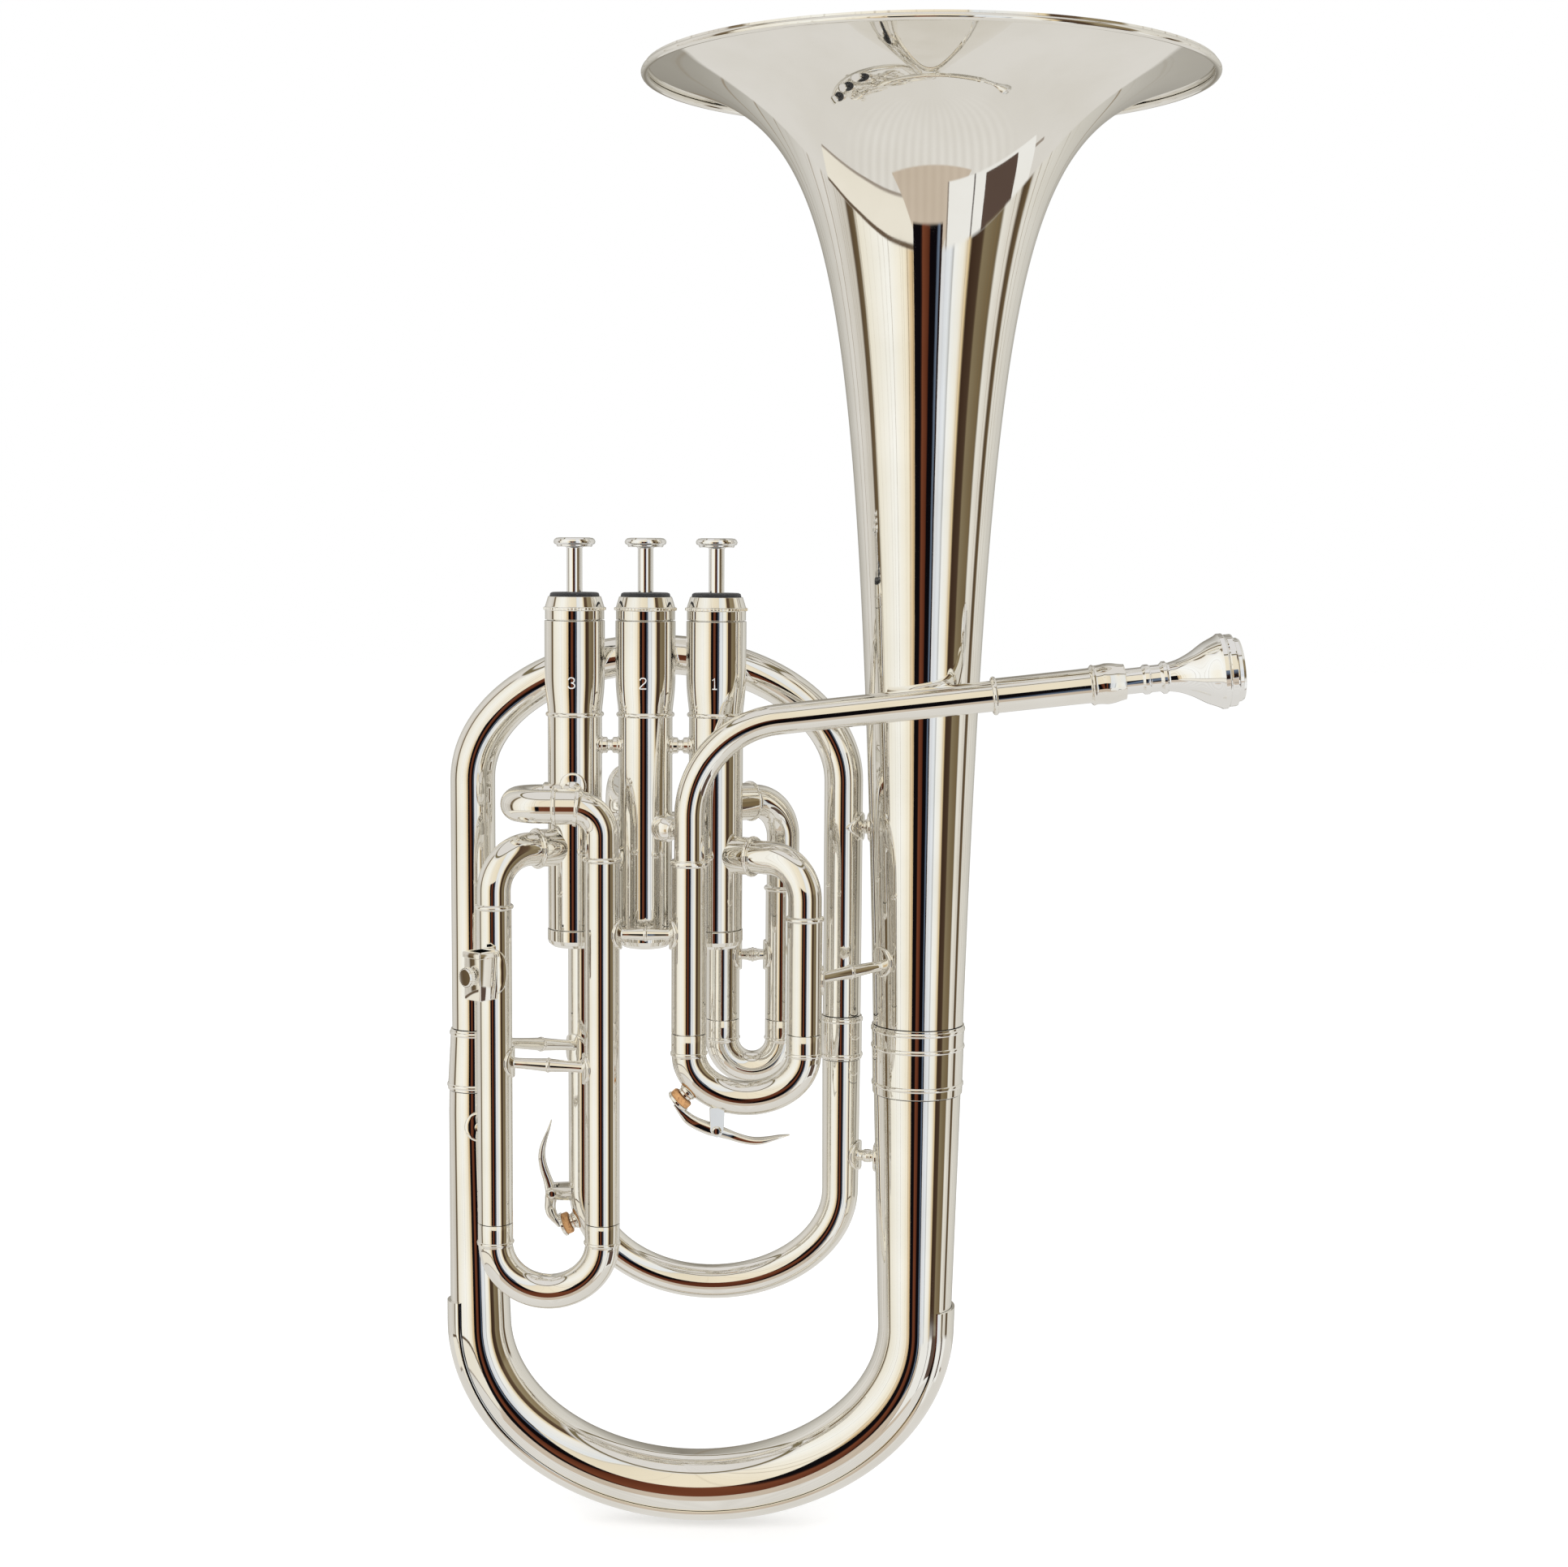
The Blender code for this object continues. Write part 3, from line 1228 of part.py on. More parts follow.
def build_first_slide():
    """The first valve slide, behind the valves."""
    route = elbow_route(1, FIRST_UPPER_AZIMUTH, FIRST_UPPER_Z, FIRST_RIGHT, FIRST_BOTTOM)
    sizes = outer_sizes(route, FIRST_RIGHT_TOP, FIRST_BOTTOM)
    piece(pipe("first_outer_right", route, sizes), "first_outer_right", SILVER)
    axis = valve_axis(1) + UP * FIRST_LOWER_Z
    start = axis + radial(FIRST_LOWER_AZIMUTH, COLLAR_REACH + GAP)
    room = (FIRST_LEFT - valve_axis(1)).length - COLLAR_REACH - GAP
    corners = [start, FIRST_LEFT + UP * FIRST_LOWER_Z, FIRST_LEFT + UP * FIRST_BOTTOM]
    route = bent_route(corners, [room - LEAD_IN])
    sizes = outer_sizes(route, FIRST_LEFT_TOP, FIRST_BOTTOM)
    piece(pipe("first_outer_left", route, sizes), "first_outer_left", SILVER)
    bow = crook(
        "first_crook",
        (FIRST_LEFT + UP * FIRST_BOTTOM, FIRST_LEFT_TOP - FIRST_BOTTOM - LEG_MARGIN),
        (FIRST_RIGHT + UP * FIRST_BOTTOM, FIRST_RIGHT_TOP - FIRST_BOTTOM - LEG_MARGIN),
        DOWN,
        SLIDE_FERRULE,
        FIRST_BOW_DEPTH,
    )
    return piece(bow, "first_crook", SILVER)


def build_second_slide():
    """The second valve slide's crook, which points backwards from valve 2."""
    upper = radial(SECOND_SLIDE_AZIMUTH, SECOND_OUTER_REACH, SECOND_SLIDE_UPPER_Z)
    lower = radial(SECOND_SLIDE_AZIMUTH, SECOND_OUTER_REACH, SECOND_SLIDE_LOWER_Z)
    leg = SECOND_OUTER_REACH - CASING_RADIUS - LEG_MARGIN
    bow = crook("second_crook", (upper, leg), (lower, leg), SECOND_SLIDE, SLIDE_FERRULE / 2, SECOND_BOW_DEPTH)
    return piece(bow, "second_crook", SILVER)


def build_third_slide():
    """The third valve slide, whose upper branch rounds the front of valve 3."""
    route = elbow_route(3, THIRD_LOWER_AZIMUTH, THIRD_LOWER_Z, THIRD_LEFT, THIRD_BOTTOM)
    sizes = outer_sizes(route, THIRD_LEFT_TOP, THIRD_BOTTOM)
    piece(pipe("third_outer_left", route, sizes), "third_outer_left", SILVER)
    height = UP * THIRD_UPPER_Z
    corners = [
        valve_axis(3) + height + radial(THIRD_UPPER_AZIMUTH, COLLAR_REACH + GAP),
        THIRD_CROOK + height,
        Vector((THIRD_CROOK_X, FRONT_Y, THIRD_UPPER_Z)),
        THIRD_RIGHT + height,
        THIRD_RIGHT + UP * THIRD_BOTTOM,
    ]
    room = (corners[1] - corners[0]).length
    route = bent_route(corners, [room - LEAD_IN, THIRD_CROOK_BEND, THIRD_RIGHT_BEND])
    sizes = outer_sizes(route, THIRD_RIGHT_TOP, THIRD_BOTTOM)
    piece(pipe("third_outer_right", route, sizes), "third_outer_right", SILVER)
    bow = crook(
        "third_crook",
        (THIRD_LEFT + UP * THIRD_BOTTOM, THIRD_LEFT_TOP - THIRD_BOTTOM - LEG_MARGIN),
        (THIRD_RIGHT + UP * THIRD_BOTTOM, THIRD_RIGHT_TOP - THIRD_BOTTOM - LEG_MARGIN),
        DOWN,
        SLIDE_FERRULE,
        THIRD_BOW_DEPTH,
    )
    return piece(bow, "third_crook", SILVER)


def tube_host(point, direction, radius):
    """A function that gives the solid of a straight tube, grown by a distance."""
    half = direction.normalized() * HOST_REACH

    def grown(grow):
        return rod(point - half, point + half, radius + grow)

    return grown


def bell_host(grow):
    """The solid of the bell, grown by a distance."""
    outline = bell_outline(grow)
    profile = [(0, outline[0][1]), *outline, (0, outline[-1][1])]
    host = turned("bell_host", profile, bell_axis(), sides=BELL_SIDES)
    host.matrix_world = Matrix.Translation(bell_axis())
    return host


def brace(name, first, second, feet=(True, True), waist=BRACE_RADIUS, knob=0.0):
    """A baluster brace between two tubes, each given as (point on its axis, radius, host)."""
    (start, start_radius, start_host), (end, end_radius, end_host) = first, second
    run = (end - start).normalized()
    length = (end - start).length
    low = start_radius + GAP + BRACE_FOOT_THICKNESS / 2
    high = length - end_radius - GAP - BRACE_FOOT_THICKNESS / 2
    middle = (low + high) / 2
    profile = [
        (0, high + start_radius / 4),
        (BRACE_END_RADIUS, high + start_radius / 4),
        (waist, middle + BRACE_RING_HALF),
        (max(knob, waist + BRACE_RING_HEIGHT), middle),
        (waist, middle - BRACE_RING_HALF),
        (BRACE_END_RADIUS, low - start_radius / 4),
        (0, low - start_radius / 4),
    ]
    body = turned(name, profile, start, run, sides=PASSAGE_SIDES)
    for point, inward, radius, host, foot in (
        (start, run, start_radius, start_host, feet[0]),
        (end, -run, end_radius, end_host, feet[1]),
    ):
        if foot:
            plate = rod(point, point + inward * (radius + FOOT_REACH), BRACE_FOOT_RADIUS, PASSAGE_SIDES)
            combine(plate, [host(GAP + BRACE_FOOT_THICKNESS)], "INTERSECT")
            join(body, plate)
    for host in (start_host, end_host):
        cut(body, host(GAP))
    return piece(body, name, SILVER)


def upright(leg, height, radius=SLIDE_TUBE_RADIUS):
    """The end of a brace on an upright tube."""
    point = leg + UP * height
    return point, radius, tube_host(point, UP, radius)


def on_bell(height, radius):
    """The end of a brace on the bell."""
    return bell_axis(height), radius, bell_host


def build_braces():
    """The braces that tie the tubes together."""
    brace("slide_brace", upright(THIRD_RIGHT, SLIDE_BRACE_Z), upright(TUNING_LEFT, SLIDE_BRACE_Z))
    brace("third_front_brace", upright(THIRD_LEFT, THIRD_FRONT_BRACE_Z), upright(THIRD_RIGHT, THIRD_FRONT_BRACE_Z))
    brace(
        "third_rear_brace",
        upright(THIRD_LEFT, REAR_BRACE_HIGH),
        upright(INNER_TUBE, REAR_BRACE_LOW, INNER_BOW_RADIUS),
        feet=(False, True),
    )
    brace("first_brace", upright(FIRST_LEFT, FIRST_BRACE_Z), upright(FIRST_RIGHT, FIRST_BRACE_Z))
    bell_here = bell_radius(BELL_RIM_Z - BELL_BRACE_Z)
    rise = BELL_BRACE_RISE / 2
    brace("tuning_bell_brace", upright(TUNING_RIGHT, BELL_BRACE_Z - rise), on_bell(BELL_BRACE_Z + rise, bell_here))
    right_tube = Vector((RIGHT_TUBE_X, BACK_Y, 0))
    loop_here = bell_radius(BELL_RIM_Z - LOOP_BRACE_Z)
    brace("loop_bell_brace", upright(right_tube, LOOP_BRACE_Z, RIGHT_TUBE_RADIUS), on_bell(LOOP_BRACE_Z, loop_here))
    saddle_point = leadpipe_line(SADDLE_BRACE_X)
    saddle_end = (saddle_point, LEADPIPE_RADIUS, tube_host(saddle_point, LEADPIPE_RUN, LEADPIPE_RADIUS))
    saddle_here = bell_radius(BELL_RIM_Z - saddle_point.z)
    brace("leadpipe_bell_brace", saddle_end, on_bell(saddle_point.z, saddle_here))
    inner_right = (right_tube + UP * BALL_BRACE_Z, RIGHT_TUBE_RADIUS)
    share = (BALL_BRACE_Z - BOW_SPRING_Z) / (LEFT_FERRULE_BOTTOM - BOW_SPRING_Z)
    bow_here = BOW_RIGHT_RADIUS + (BOW_TOP_RADIUS - BOW_RIGHT_RADIUS) * share
    brace(
        "ball_brace",
        (*inner_right, tube_host(inner_right[0], UP, RIGHT_TUBE_RADIUS)),
        (bell_axis(BALL_BRACE_Z), bow_here, tube_host(bell_axis(BALL_BRACE_Z), UP, bow_here + TAPER_ALLOWANCE)),
        knob=BALL_RADIUS,
    )
    route = bottom_bow_route()
    share = (LEFT_BRACE_Z - route[-2].z) / (route[-3].z - route[-2].z)
    left_point = route[-2].lerp(route[-3], share)
    distance = length_of(route) - BOW_END_RUN - (route[-2] - left_point).length
    left_radius = radius_at(distance, bottom_bow_sizes(route))
    left_host = tube_host(left_point, route[-2] - route[-3], left_radius + TAPER_ALLOWANCE)
    brace("left_brace", upright(THIRD_LEFT, left_point.z), (left_point, left_radius, left_host))


def key_place(middle, half_width, depth, angle):
    """The point of a bow's centre line at an angle from its left side, and the outward direction there."""
    point = middle + Vector((-half_width * math.cos(angle), 0, -depth * math.sin(angle)))
    outward = Vector((-math.cos(angle) / half_width, 0, -math.sin(angle) / depth)).normalized()
    return point, outward


def water_key(number, seat, radius, pivot, tip, bulge):
    """The sizes and places of a water key.

    The seat is (point on the tube's centre line, outward direction). The tip and the bulge of the finger end
    are measured from the pivot and from the chord's middle.
    """
    return {
        "number": number,
        "point": seat[0],
        "outward": seat[1],
        "radius": radius,
        "pivot": pivot,
        "tip": Vector(tip),
        "bulge": Vector(bulge),
    }


TUNING_BOW_MIDDLE = (TUNING_LEFT + TUNING_RIGHT) / 2 + UP * (TUNING_BOTTOM - GAP - SLIDE_FERRULE)
TUNING_BOW_HALF = (TUNING_RIGHT_X - TUNING_LEFT_X) / 2
INNER_BOW_MIDDLE = Vector(((RIGHT_TUBE_X + INNER_TUBE_X) / 2, BACK_Y, INNER_BOW_SPRING_Z))
INNER_BOW_HALF = (RIGHT_TUBE_X - INNER_TUBE_X) / 2
KEY_1 = water_key(
    1,
    key_place(TUNING_BOW_MIDDLE, TUNING_BOW_HALF, TUNING_BOW_DEPTH, KEY_1_ANGLE),
    SLIDE_TUBE_RADIUS,
    TUNING_BOW_MIDDLE + Vector(KEY_1_PIVOT),
    KEY_1_TIP,
    KEY_1_BULGE,
)
KEY_2 = water_key(
    2,
    key_place(INNER_BOW_MIDDLE, INNER_BOW_HALF, INNER_BOW_DEPTH, KEY_2_ANGLE),
    INNER_BOW_RADIUS,
    INNER_TUBE + Vector(KEY_2_PIVOT),
    KEY_2_TIP,
    KEY_2_BULGE,
)


def key_distances(key):
    """How far from the tube's centre line the nipple, the cork and its cup begin, and where the cup ends."""
    nipple = key["radius"] + NIPPLE_PROUD
    cork = nipple + GAP
    cup = cork + CORK_THICKNESS + GAP
    return nipple, cork, cup, cup + KEY_CUP


def add_water_key_seat(bow, key):
    """The nipple and the two cheeks that carry a water key's pin, on the tube that the key closes."""
    nipple, _, _, _ = key_distances(key)
    point, outward, pivot = key["point"], key["outward"], key["pivot"]
    root = point + outward * (key["radius"] - TUBE_WALL / 2)
    join(bow, rod(root, point + outward * nipple, NIPPLE_RADIUS, TUBE_SIDES))
    toward = nearest_on_tube(key)
    run = (pivot - toward).normalized()
    inner = KEY_WIDTH / 2 + KEY_SIDE_CLEARANCE
    surface = math.sqrt(key["radius"] ** 2 - (inner + CHEEK_THICKNESS / 2) ** 2)
    foot = toward + run * (surface - TUBE_WALL / 2)
    head = pivot + run * CHEEK_PROUD
    for side in (-1, 1):
        offset = BACK * side * (inner + CHEEK_THICKNESS / 2)
        middle = (foot + head) / 2 + offset
        cheek = block(middle, (CHEEK_WIDTH, CHEEK_THICKNESS, (head - foot).length))
        tilt = math.atan2(run.x, run.z)
        cheek.matrix_world = Matrix.Translation(middle) @ Matrix.Rotation(tilt, 4, "Y")
        join(bow, cheek)
    reach = BACK * (inner + CHEEK_THICKNESS / 2)
    join(bow, rod(pivot - reach, pivot + reach, KEY_PIN_RADIUS, TUBE_SIDES))
    inside = point + outward * (key["radius"] - 2 * CUT_MARGIN)
    cut(bow, rod(inside, point + outward * (nipple + CUT_MARGIN), NIPPLE_BORE, PASSAGE_SIDES))


def nearest_on_tube(key):
    """The point of the tube's centre line opposite the water key's pivot."""
    if key["number"] == 2:
        return Vector((INNER_TUBE_X, BACK_Y, key["pivot"].z))
    angle = math.acos((key["pivot"].x - TUNING_BOW_MIDDLE.x) / TUNING_BOW_HALF)
    return TUNING_BOW_MIDDLE + Vector((TUNING_BOW_HALF * math.cos(angle), 0, -TUNING_BOW_DEPTH * math.sin(angle)))


def build_water_key(key):
    """A water key: the lever with its cork cup and the cork."""
    _, cork, cup, back = key_distances(key)
    point, outward, pivot, tip = key["point"], key["outward"], key["pivot"], key["tip"]
    middle = point + outward * (cup + KEY_CUP / 2 + KEY_THICKNESS / 2) - pivot
    path = [middle, middle / 2 + outward * KEY_ARCH, Vector((0, 0, 0)), tip / 2 + key["bulge"], tip]
    lever = strip("lever", [(place.x, place.z) for place in path], KEY_WIDTH, KEY_THICKNESS, Matrix.Translation(pivot))
    boss = rod(pivot - BACK * KEY_WIDTH / 2, pivot + BACK * KEY_WIDTH / 2, KEY_BOSS_RADIUS)
    plate = rod(point + outward * cup, point + outward * back, CORK_RADIUS + GAP)
    join(lever, boss, plate)
    cut(lever, rod(pivot - BACK * KEY_WIDTH, pivot + BACK * KEY_WIDTH, KEY_PIN_RADIUS + PIN_CLEARANCE))
    piece(lever, f"water_key_lever_{key['number']}", SILVER)
    pad = rod(point + outward * cork, point + outward * (cup - GAP), CORK_RADIUS)
    set_origin(pad, pivot)
    return piece(pad, f"water_key_cork_{key['number']}", CORK)


def build_lyre_holder():
    """The square lyre holder on the third slide's left tube, and its thumb screw."""
    skew = math.radians(LYRE_AZIMUTH - LYRE_TURN)
    reach = SLIDE_TUBE_RADIUS + GAP + LYRE_WIDTH / 2 * (math.cos(skew) + math.sin(skew))
    centre = THIRD_LEFT + UP * LYRE_Z + radial(LYRE_AZIMUTH, reach)
    turn = math.radians(LYRE_TURN)
    holder = block(centre, (LYRE_WIDTH, LYRE_WIDTH, LYRE_HEIGHT), turn)
    socket = block(centre, (LYRE_SOCKET, LYRE_SOCKET, LYRE_HEIGHT + 2 * CUT_MARGIN), turn)
    side = radial(LYRE_TURN)
    hole = rod(centre, centre + side * LYRE_WIDTH, LYRE_SCREW_RADIUS + GAP, TUBE_SIDES)
    cut(holder, socket, hole)
    piece(holder, "lyre_holder", SILVER)
    face = LYRE_WIDTH / 2 + GAP
    profile = [
        (0, LYRE_KNOB_LENGTH),
        (LYRE_KNOB_RADIUS - LYRE_KNOB_CHAMFER, LYRE_KNOB_LENGTH),
        (LYRE_KNOB_RADIUS, LYRE_KNOB_LENGTH - LYRE_KNOB_CHAMFER),
        (LYRE_KNOB_RADIUS, LYRE_KNOB_CHAMFER),
        (LYRE_KNOB_RADIUS - LYRE_KNOB_CHAMFER, 0),
        (LYRE_SCREW_RADIUS, 0),
        (LYRE_SCREW_RADIUS, LYRE_SOCKET / 2 - face + LYRE_SCREW_BACK),
        (0, LYRE_SOCKET / 2 - face + LYRE_SCREW_BACK),
    ]
    screw = turned("lyre_screw", profile, centre + side * face, side)
    return piece(screw, "lyre_screw", SILVER)


def build_branch():
    """Bell, bows and ferrules."""
    build_bell()
    bell_tail = BELL_RIM_Z - BELL_LENGTH - GAP
    ferrule(
        "bell_ferrule",
        bell_axis(),
        bell_tail - FERRULE_LENGTH,
        bell_tail,
        BOW_TOP_RADIUS,
        BELL_THROAT_RADIUS,
        FERRULE_BEADS,
    )
    build_bottom_bow()
    ferrule(
        "left_ferrule",
        Vector((LEFT_TUBE_X, BACK_Y, 0)),
        LEFT_FERRULE_BOTTOM,
        LEFT_FERRULE_TOP,
        BOW_END_RADIUS,
        LEFT_TUBE_RADIUS,
        LEFT_FERRULE_BEADS,
    )
    build_top_bow()
    ferrule(
        "right_ferrule",
        Vector((RIGHT_TUBE_X, BACK_Y, 0)),
        RIGHT_FERRULE_BOTTOM,
        RIGHT_FERRULE_TOP,
        RIGHT_TUBE_RADIUS,
        RIGHT_TUBE_RADIUS,
        RIGHT_FERRULE_BEADS,
    )
    build_inner_bow()


def main():
    """Builds the horn."""
    build_branch()
    build_valves()
    build_leadpipe()
    build_mouthpiece()
    build_tuning_slide()
    build_first_slide()
    build_second_slide()
    build_third_slide()
    build_braces()
    build_water_key(KEY_1)
    build_water_key(KEY_2)
    build_lyre_holder()


main()
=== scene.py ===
"""An alto horn in mirror silver plate, dressed over its CAD frame.

Sizes are in millimetres unless a name says otherwise.
"""

import logging
import math
from dataclasses import dataclass, field
from enum import Enum
from typing import Callable, Iterable, Optional, Sequence

import bmesh
import bpy
import numpy as np
from mathutils import Matrix, Vector


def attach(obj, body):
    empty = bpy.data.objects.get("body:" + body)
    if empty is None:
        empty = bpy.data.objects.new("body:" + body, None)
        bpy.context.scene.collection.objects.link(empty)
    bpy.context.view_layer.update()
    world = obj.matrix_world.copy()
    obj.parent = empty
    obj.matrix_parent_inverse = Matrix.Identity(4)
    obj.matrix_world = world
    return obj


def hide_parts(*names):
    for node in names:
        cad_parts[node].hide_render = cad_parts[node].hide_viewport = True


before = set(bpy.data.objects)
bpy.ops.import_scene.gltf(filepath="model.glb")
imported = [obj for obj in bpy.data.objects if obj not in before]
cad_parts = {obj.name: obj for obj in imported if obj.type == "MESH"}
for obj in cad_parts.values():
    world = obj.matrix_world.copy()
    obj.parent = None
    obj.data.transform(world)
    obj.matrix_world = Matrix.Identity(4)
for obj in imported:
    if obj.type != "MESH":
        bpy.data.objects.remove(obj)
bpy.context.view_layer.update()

LOG = logging.getLogger("alto_horn")
MM = 0.001
UP = Vector((0, 0, 1))
DOWN = Vector((0, 0, -1))
RIGHT = Vector((1, 0, 0))
BACK = Vector((0, 1, 0))
Size = tuple[float, float]
Colour = tuple[float, float, float]
Bands = tuple[tuple[float, Colour], ...]
Socket = bpy.types.NodeSocket
SLIDE_TUBE = 6.25
SHARP = math.radians(40)


class Body(Enum):
    """The moving bodies of the horn."""

    HORN = "horn"
    TUNING_SLIDE = "tuning_slide"
    FIRST_SLIDE = "first_slide"
    SECOND_SLIDE = "second_slide"
    THIRD_SLIDE = "third_slide"
    MOUTHPIECE = "mouthpiece"
    LYRE_SCREW = "lyre_thumb_screw"
    KEY_1 = "water_key_1"
    KEY_2 = "water_key_2"
    VALVE_1 = "valve_1"
    VALVE_2 = "valve_2"
    VALVE_3 = "valve_3"


class Plate(Enum):
    """The outline of a saddle plate."""

    ROUND = 2.0
    DIAMOND = 1.15


# --- finishes


class NodeBench:
    """Adds nodes to a tree and fills their sockets."""

    def __init__(self, tree: bpy.types.NodeTree) -> None:
        """Takes the tree.

        Args:
            tree: the tree that the nodes go into.
        """
        self.tree = tree

    def fill(self, socket: Socket, value: object) -> None:
        """Links a socket to another, or gives it a value."""
        if isinstance(value, Socket):
            self.tree.links.new(value, socket)
        else:
            socket.default_value = value

    def add(self, kind: str, setup: Optional[dict[str, object]] = None, **inputs: object) -> bpy.types.Node:
        """Adds a node.

        Args:
            kind: the node's type.
            setup: the node's own settings.
            inputs: values or sockets for its inputs, with _ for a blank.

        Returns:
            The node.
        """
        node = self.tree.nodes.new(kind)
        for name, value in (setup or {}).items():
            setattr(node, name, value)
        for name, value in inputs.items():
            self.fill(node.inputs[name.replace("_", " ")], value)
        return node

    def sum(self, operation: str, *values: object) -> Socket:
        """The result of one step of arithmetic on values or sockets."""
        node = self.add("ShaderNodeMath", {"operation": operation})
        for socket, value in zip(node.inputs, values):
            self.fill(socket, value)
        return node.outputs[0]


class FinishBench(NodeBench):
    """Lays out the nodes of one material."""

    def __init__(self, name: str) -> None:
        """Starts a material with a Principled shader.

        Args:
            name: the material's name.
        """
        self.material = bpy.data.materials.new(name)
        self.material.use_nodes = True
        super().__init__(self.material.node_tree)
        self.shader = self.tree.nodes["Principled BSDF"]
        self.place = self.add("ShaderNodeTexCoord").outputs["Object"]

    def stretched(self, scale: tuple[float, float, float]) -> Socket:
        """The object coordinates, stretched."""
        return self.add("ShaderNodeMapping", Vector=self.place, Scale=scale).outputs["Vector"]

    def noise(self, scale: float, detail: float = 2.0, place: Optional[Socket] = None) -> Socket:
        """Noise between 0 and 1, with so many waves to the metre."""
        made = self.add("ShaderNodeTexNoise", Vector=place or self.place, Scale=scale, Detail=detail)
        return made.outputs["Fac"]

    def spread(self, value: Socket, low: float, high: float, start: float = 0.3, end: float = 0.7) -> Socket:
        """The value, taken from start…end to low…high."""
        made = self.add("ShaderNodeMapRange", Value=value, From_Min=start, From_Max=end, To_Min=low, To_Max=high)
        return made.outputs["Result"]

    def blend(self, share: Socket, first: Colour, second: Colour) -> Socket:
        """A colour between the first and the second."""
        ramp = self.add("ShaderNodeValToRGB", Fac=share)
        ramp.color_ramp.elements[0].color = (*first, 1)
        ramp.color_ramp.elements[1].color = (*second, 1)
        return ramp.outputs["Color"]

    def bump(self, height: Socket, strength: float, depth: float, under: Optional[Socket] = None) -> Socket:
        """A bump of so many metres, over another one."""
        made = self.add("ShaderNodeBump", Height=height, Strength=strength, Distance=depth)
        if under:
            self.tree.links.new(under, made.inputs["Normal"])
        return made.outputs["Normal"]

    def finish(self, **inputs: object) -> bpy.types.Material:
        """Sets the shader's own sockets.

        Args:
            inputs: values or sockets, with _ for a blank.

        Returns:
            The material.
        """
        for name, value in inputs.items():
            self.fill(self.shader.inputs[name.replace("_", " ")], value)
        return self.material


@dataclass(frozen=True)
class MirrorPlate:
    """Mirror silver plate on brass, with the soft waves of hand-drawn tube and a little haze from handling."""

    name: str
    slot: str
    colour: Colour
    tarnish: Colour
    gloss: Size
    wave: float = 0.05
    wave_scale: float = 55.0

    def material(self) -> bpy.types.Material:
        """The plate's material: clouds of haze, polishing lines and waves."""
        bench = FinishBench(self.name)
        clouds = bench.noise(38.0, 4.0)
        lines = bench.noise(2600.0, 2.0, bench.stretched((1.0, 1.0, 0.12)))
        waves = bench.noise(self.wave_scale, 1.0)
        handling = bench.noise(150.0, 6.0)
        low, high = self.gloss
        soft = bench.bump(waves, self.wave, 0.0006)
        fine = bench.bump(lines, 0.012, 0.00004, soft)
        return bench.finish(
            Base_Color=bench.blend(bench.spread(clouds, 0.0, 1.0, 0.35, 0.75), self.colour, self.tarnish),
            Metallic=1.0,
            Roughness=bench.spread(handling, low, high, 0.35, 0.75),
            Normal=fine,
        )


@dataclass(frozen=True)
class LappedAlloy:
    """Nickel alloy, lapped round and round."""

    name: str
    slot: str
    colour: Colour
    shade: Colour
    gloss: Size
    grain: tuple[float, float, float] = (0.15, 0.15, 1.0)

    def material(self) -> bpy.types.Material:
        """The alloy's material: rings of lapping marks."""
        bench = FinishBench(self.name)
        marks = bench.noise(4200.0, 3.0, bench.stretched(self.grain))
        clouds = bench.noise(70.0, 3.0)
        low, high = self.gloss
        return bench.finish(
            Base_Color=bench.blend(clouds, self.colour, self.shade),
            Metallic=1.0,
            Roughness=bench.spread(marks, low, high),
            Normal=bench.bump(marks, 0.25, 0.00005),
        )


@dataclass(frozen=True)
class Felt:
    """Dense black felt."""

    name: str
    slot: str
    colour: Colour
    lint: Colour

    def material(self) -> bpy.types.Material:
        """The felt's material: matted fibres with a little pale lint."""
        bench = FinishBench(self.name)
        fibres = bench.noise(3800.0, 6.0)
        lint = bench.noise(1500.0, 3.0)
        return bench.finish(
            Base_Color=bench.blend(bench.spread(lint, 0.0, 1.0, 0.55, 0.9), self.colour, self.lint),
            Roughness=0.96,
            Sheen_Weight=0.2,
            Sheen_Roughness=0.6,
            Normal=bench.bump(fibres, 0.9, 0.0004),
        )


@dataclass(frozen=True)
class Cork:
    """Natural cork, cut flat."""

    name: str
    slot: str
    colour: Colour
    fleck: Colour

    def material(self) -> bpy.types.Material:
        """The cork's material: grains with dark flecks and pores."""
        bench = FinishBench(self.name)
        grains = bench.add("ShaderNodeTexVoronoi", Vector=bench.place, Scale=1100.0).outputs["Distance"]
        flecks = bench.noise(900.0, 4.0)
        return bench.finish(
            Base_Color=bench.blend(bench.spread(flecks, 0.0, 1.0, 0.45, 0.68), self.colour, self.fleck),
            Roughness=bench.spread(flecks, 0.7, 0.92),
            Normal=bench.bump(grains, 0.6, 0.0003),
        )


@dataclass(frozen=True)
class EtchedMark:
    """A number etched into the plate, which reads as a frosted line."""

    name: str
    slot: str
    colour: Colour
    shade: Colour

    def material(self) -> bpy.types.Material:
        """The mark's material: frosted metal."""
        bench = FinishBench(self.name)
        frost = bench.noise(6000.0, 4.0)
        return bench.finish(
            Base_Color=bench.blend(frost, self.colour, self.shade),
            Metallic=0.25,
            Roughness=bench.spread(frost, 0.45, 0.7),
            Normal=bench.bump(frost, 0.5, 0.00005),
        )


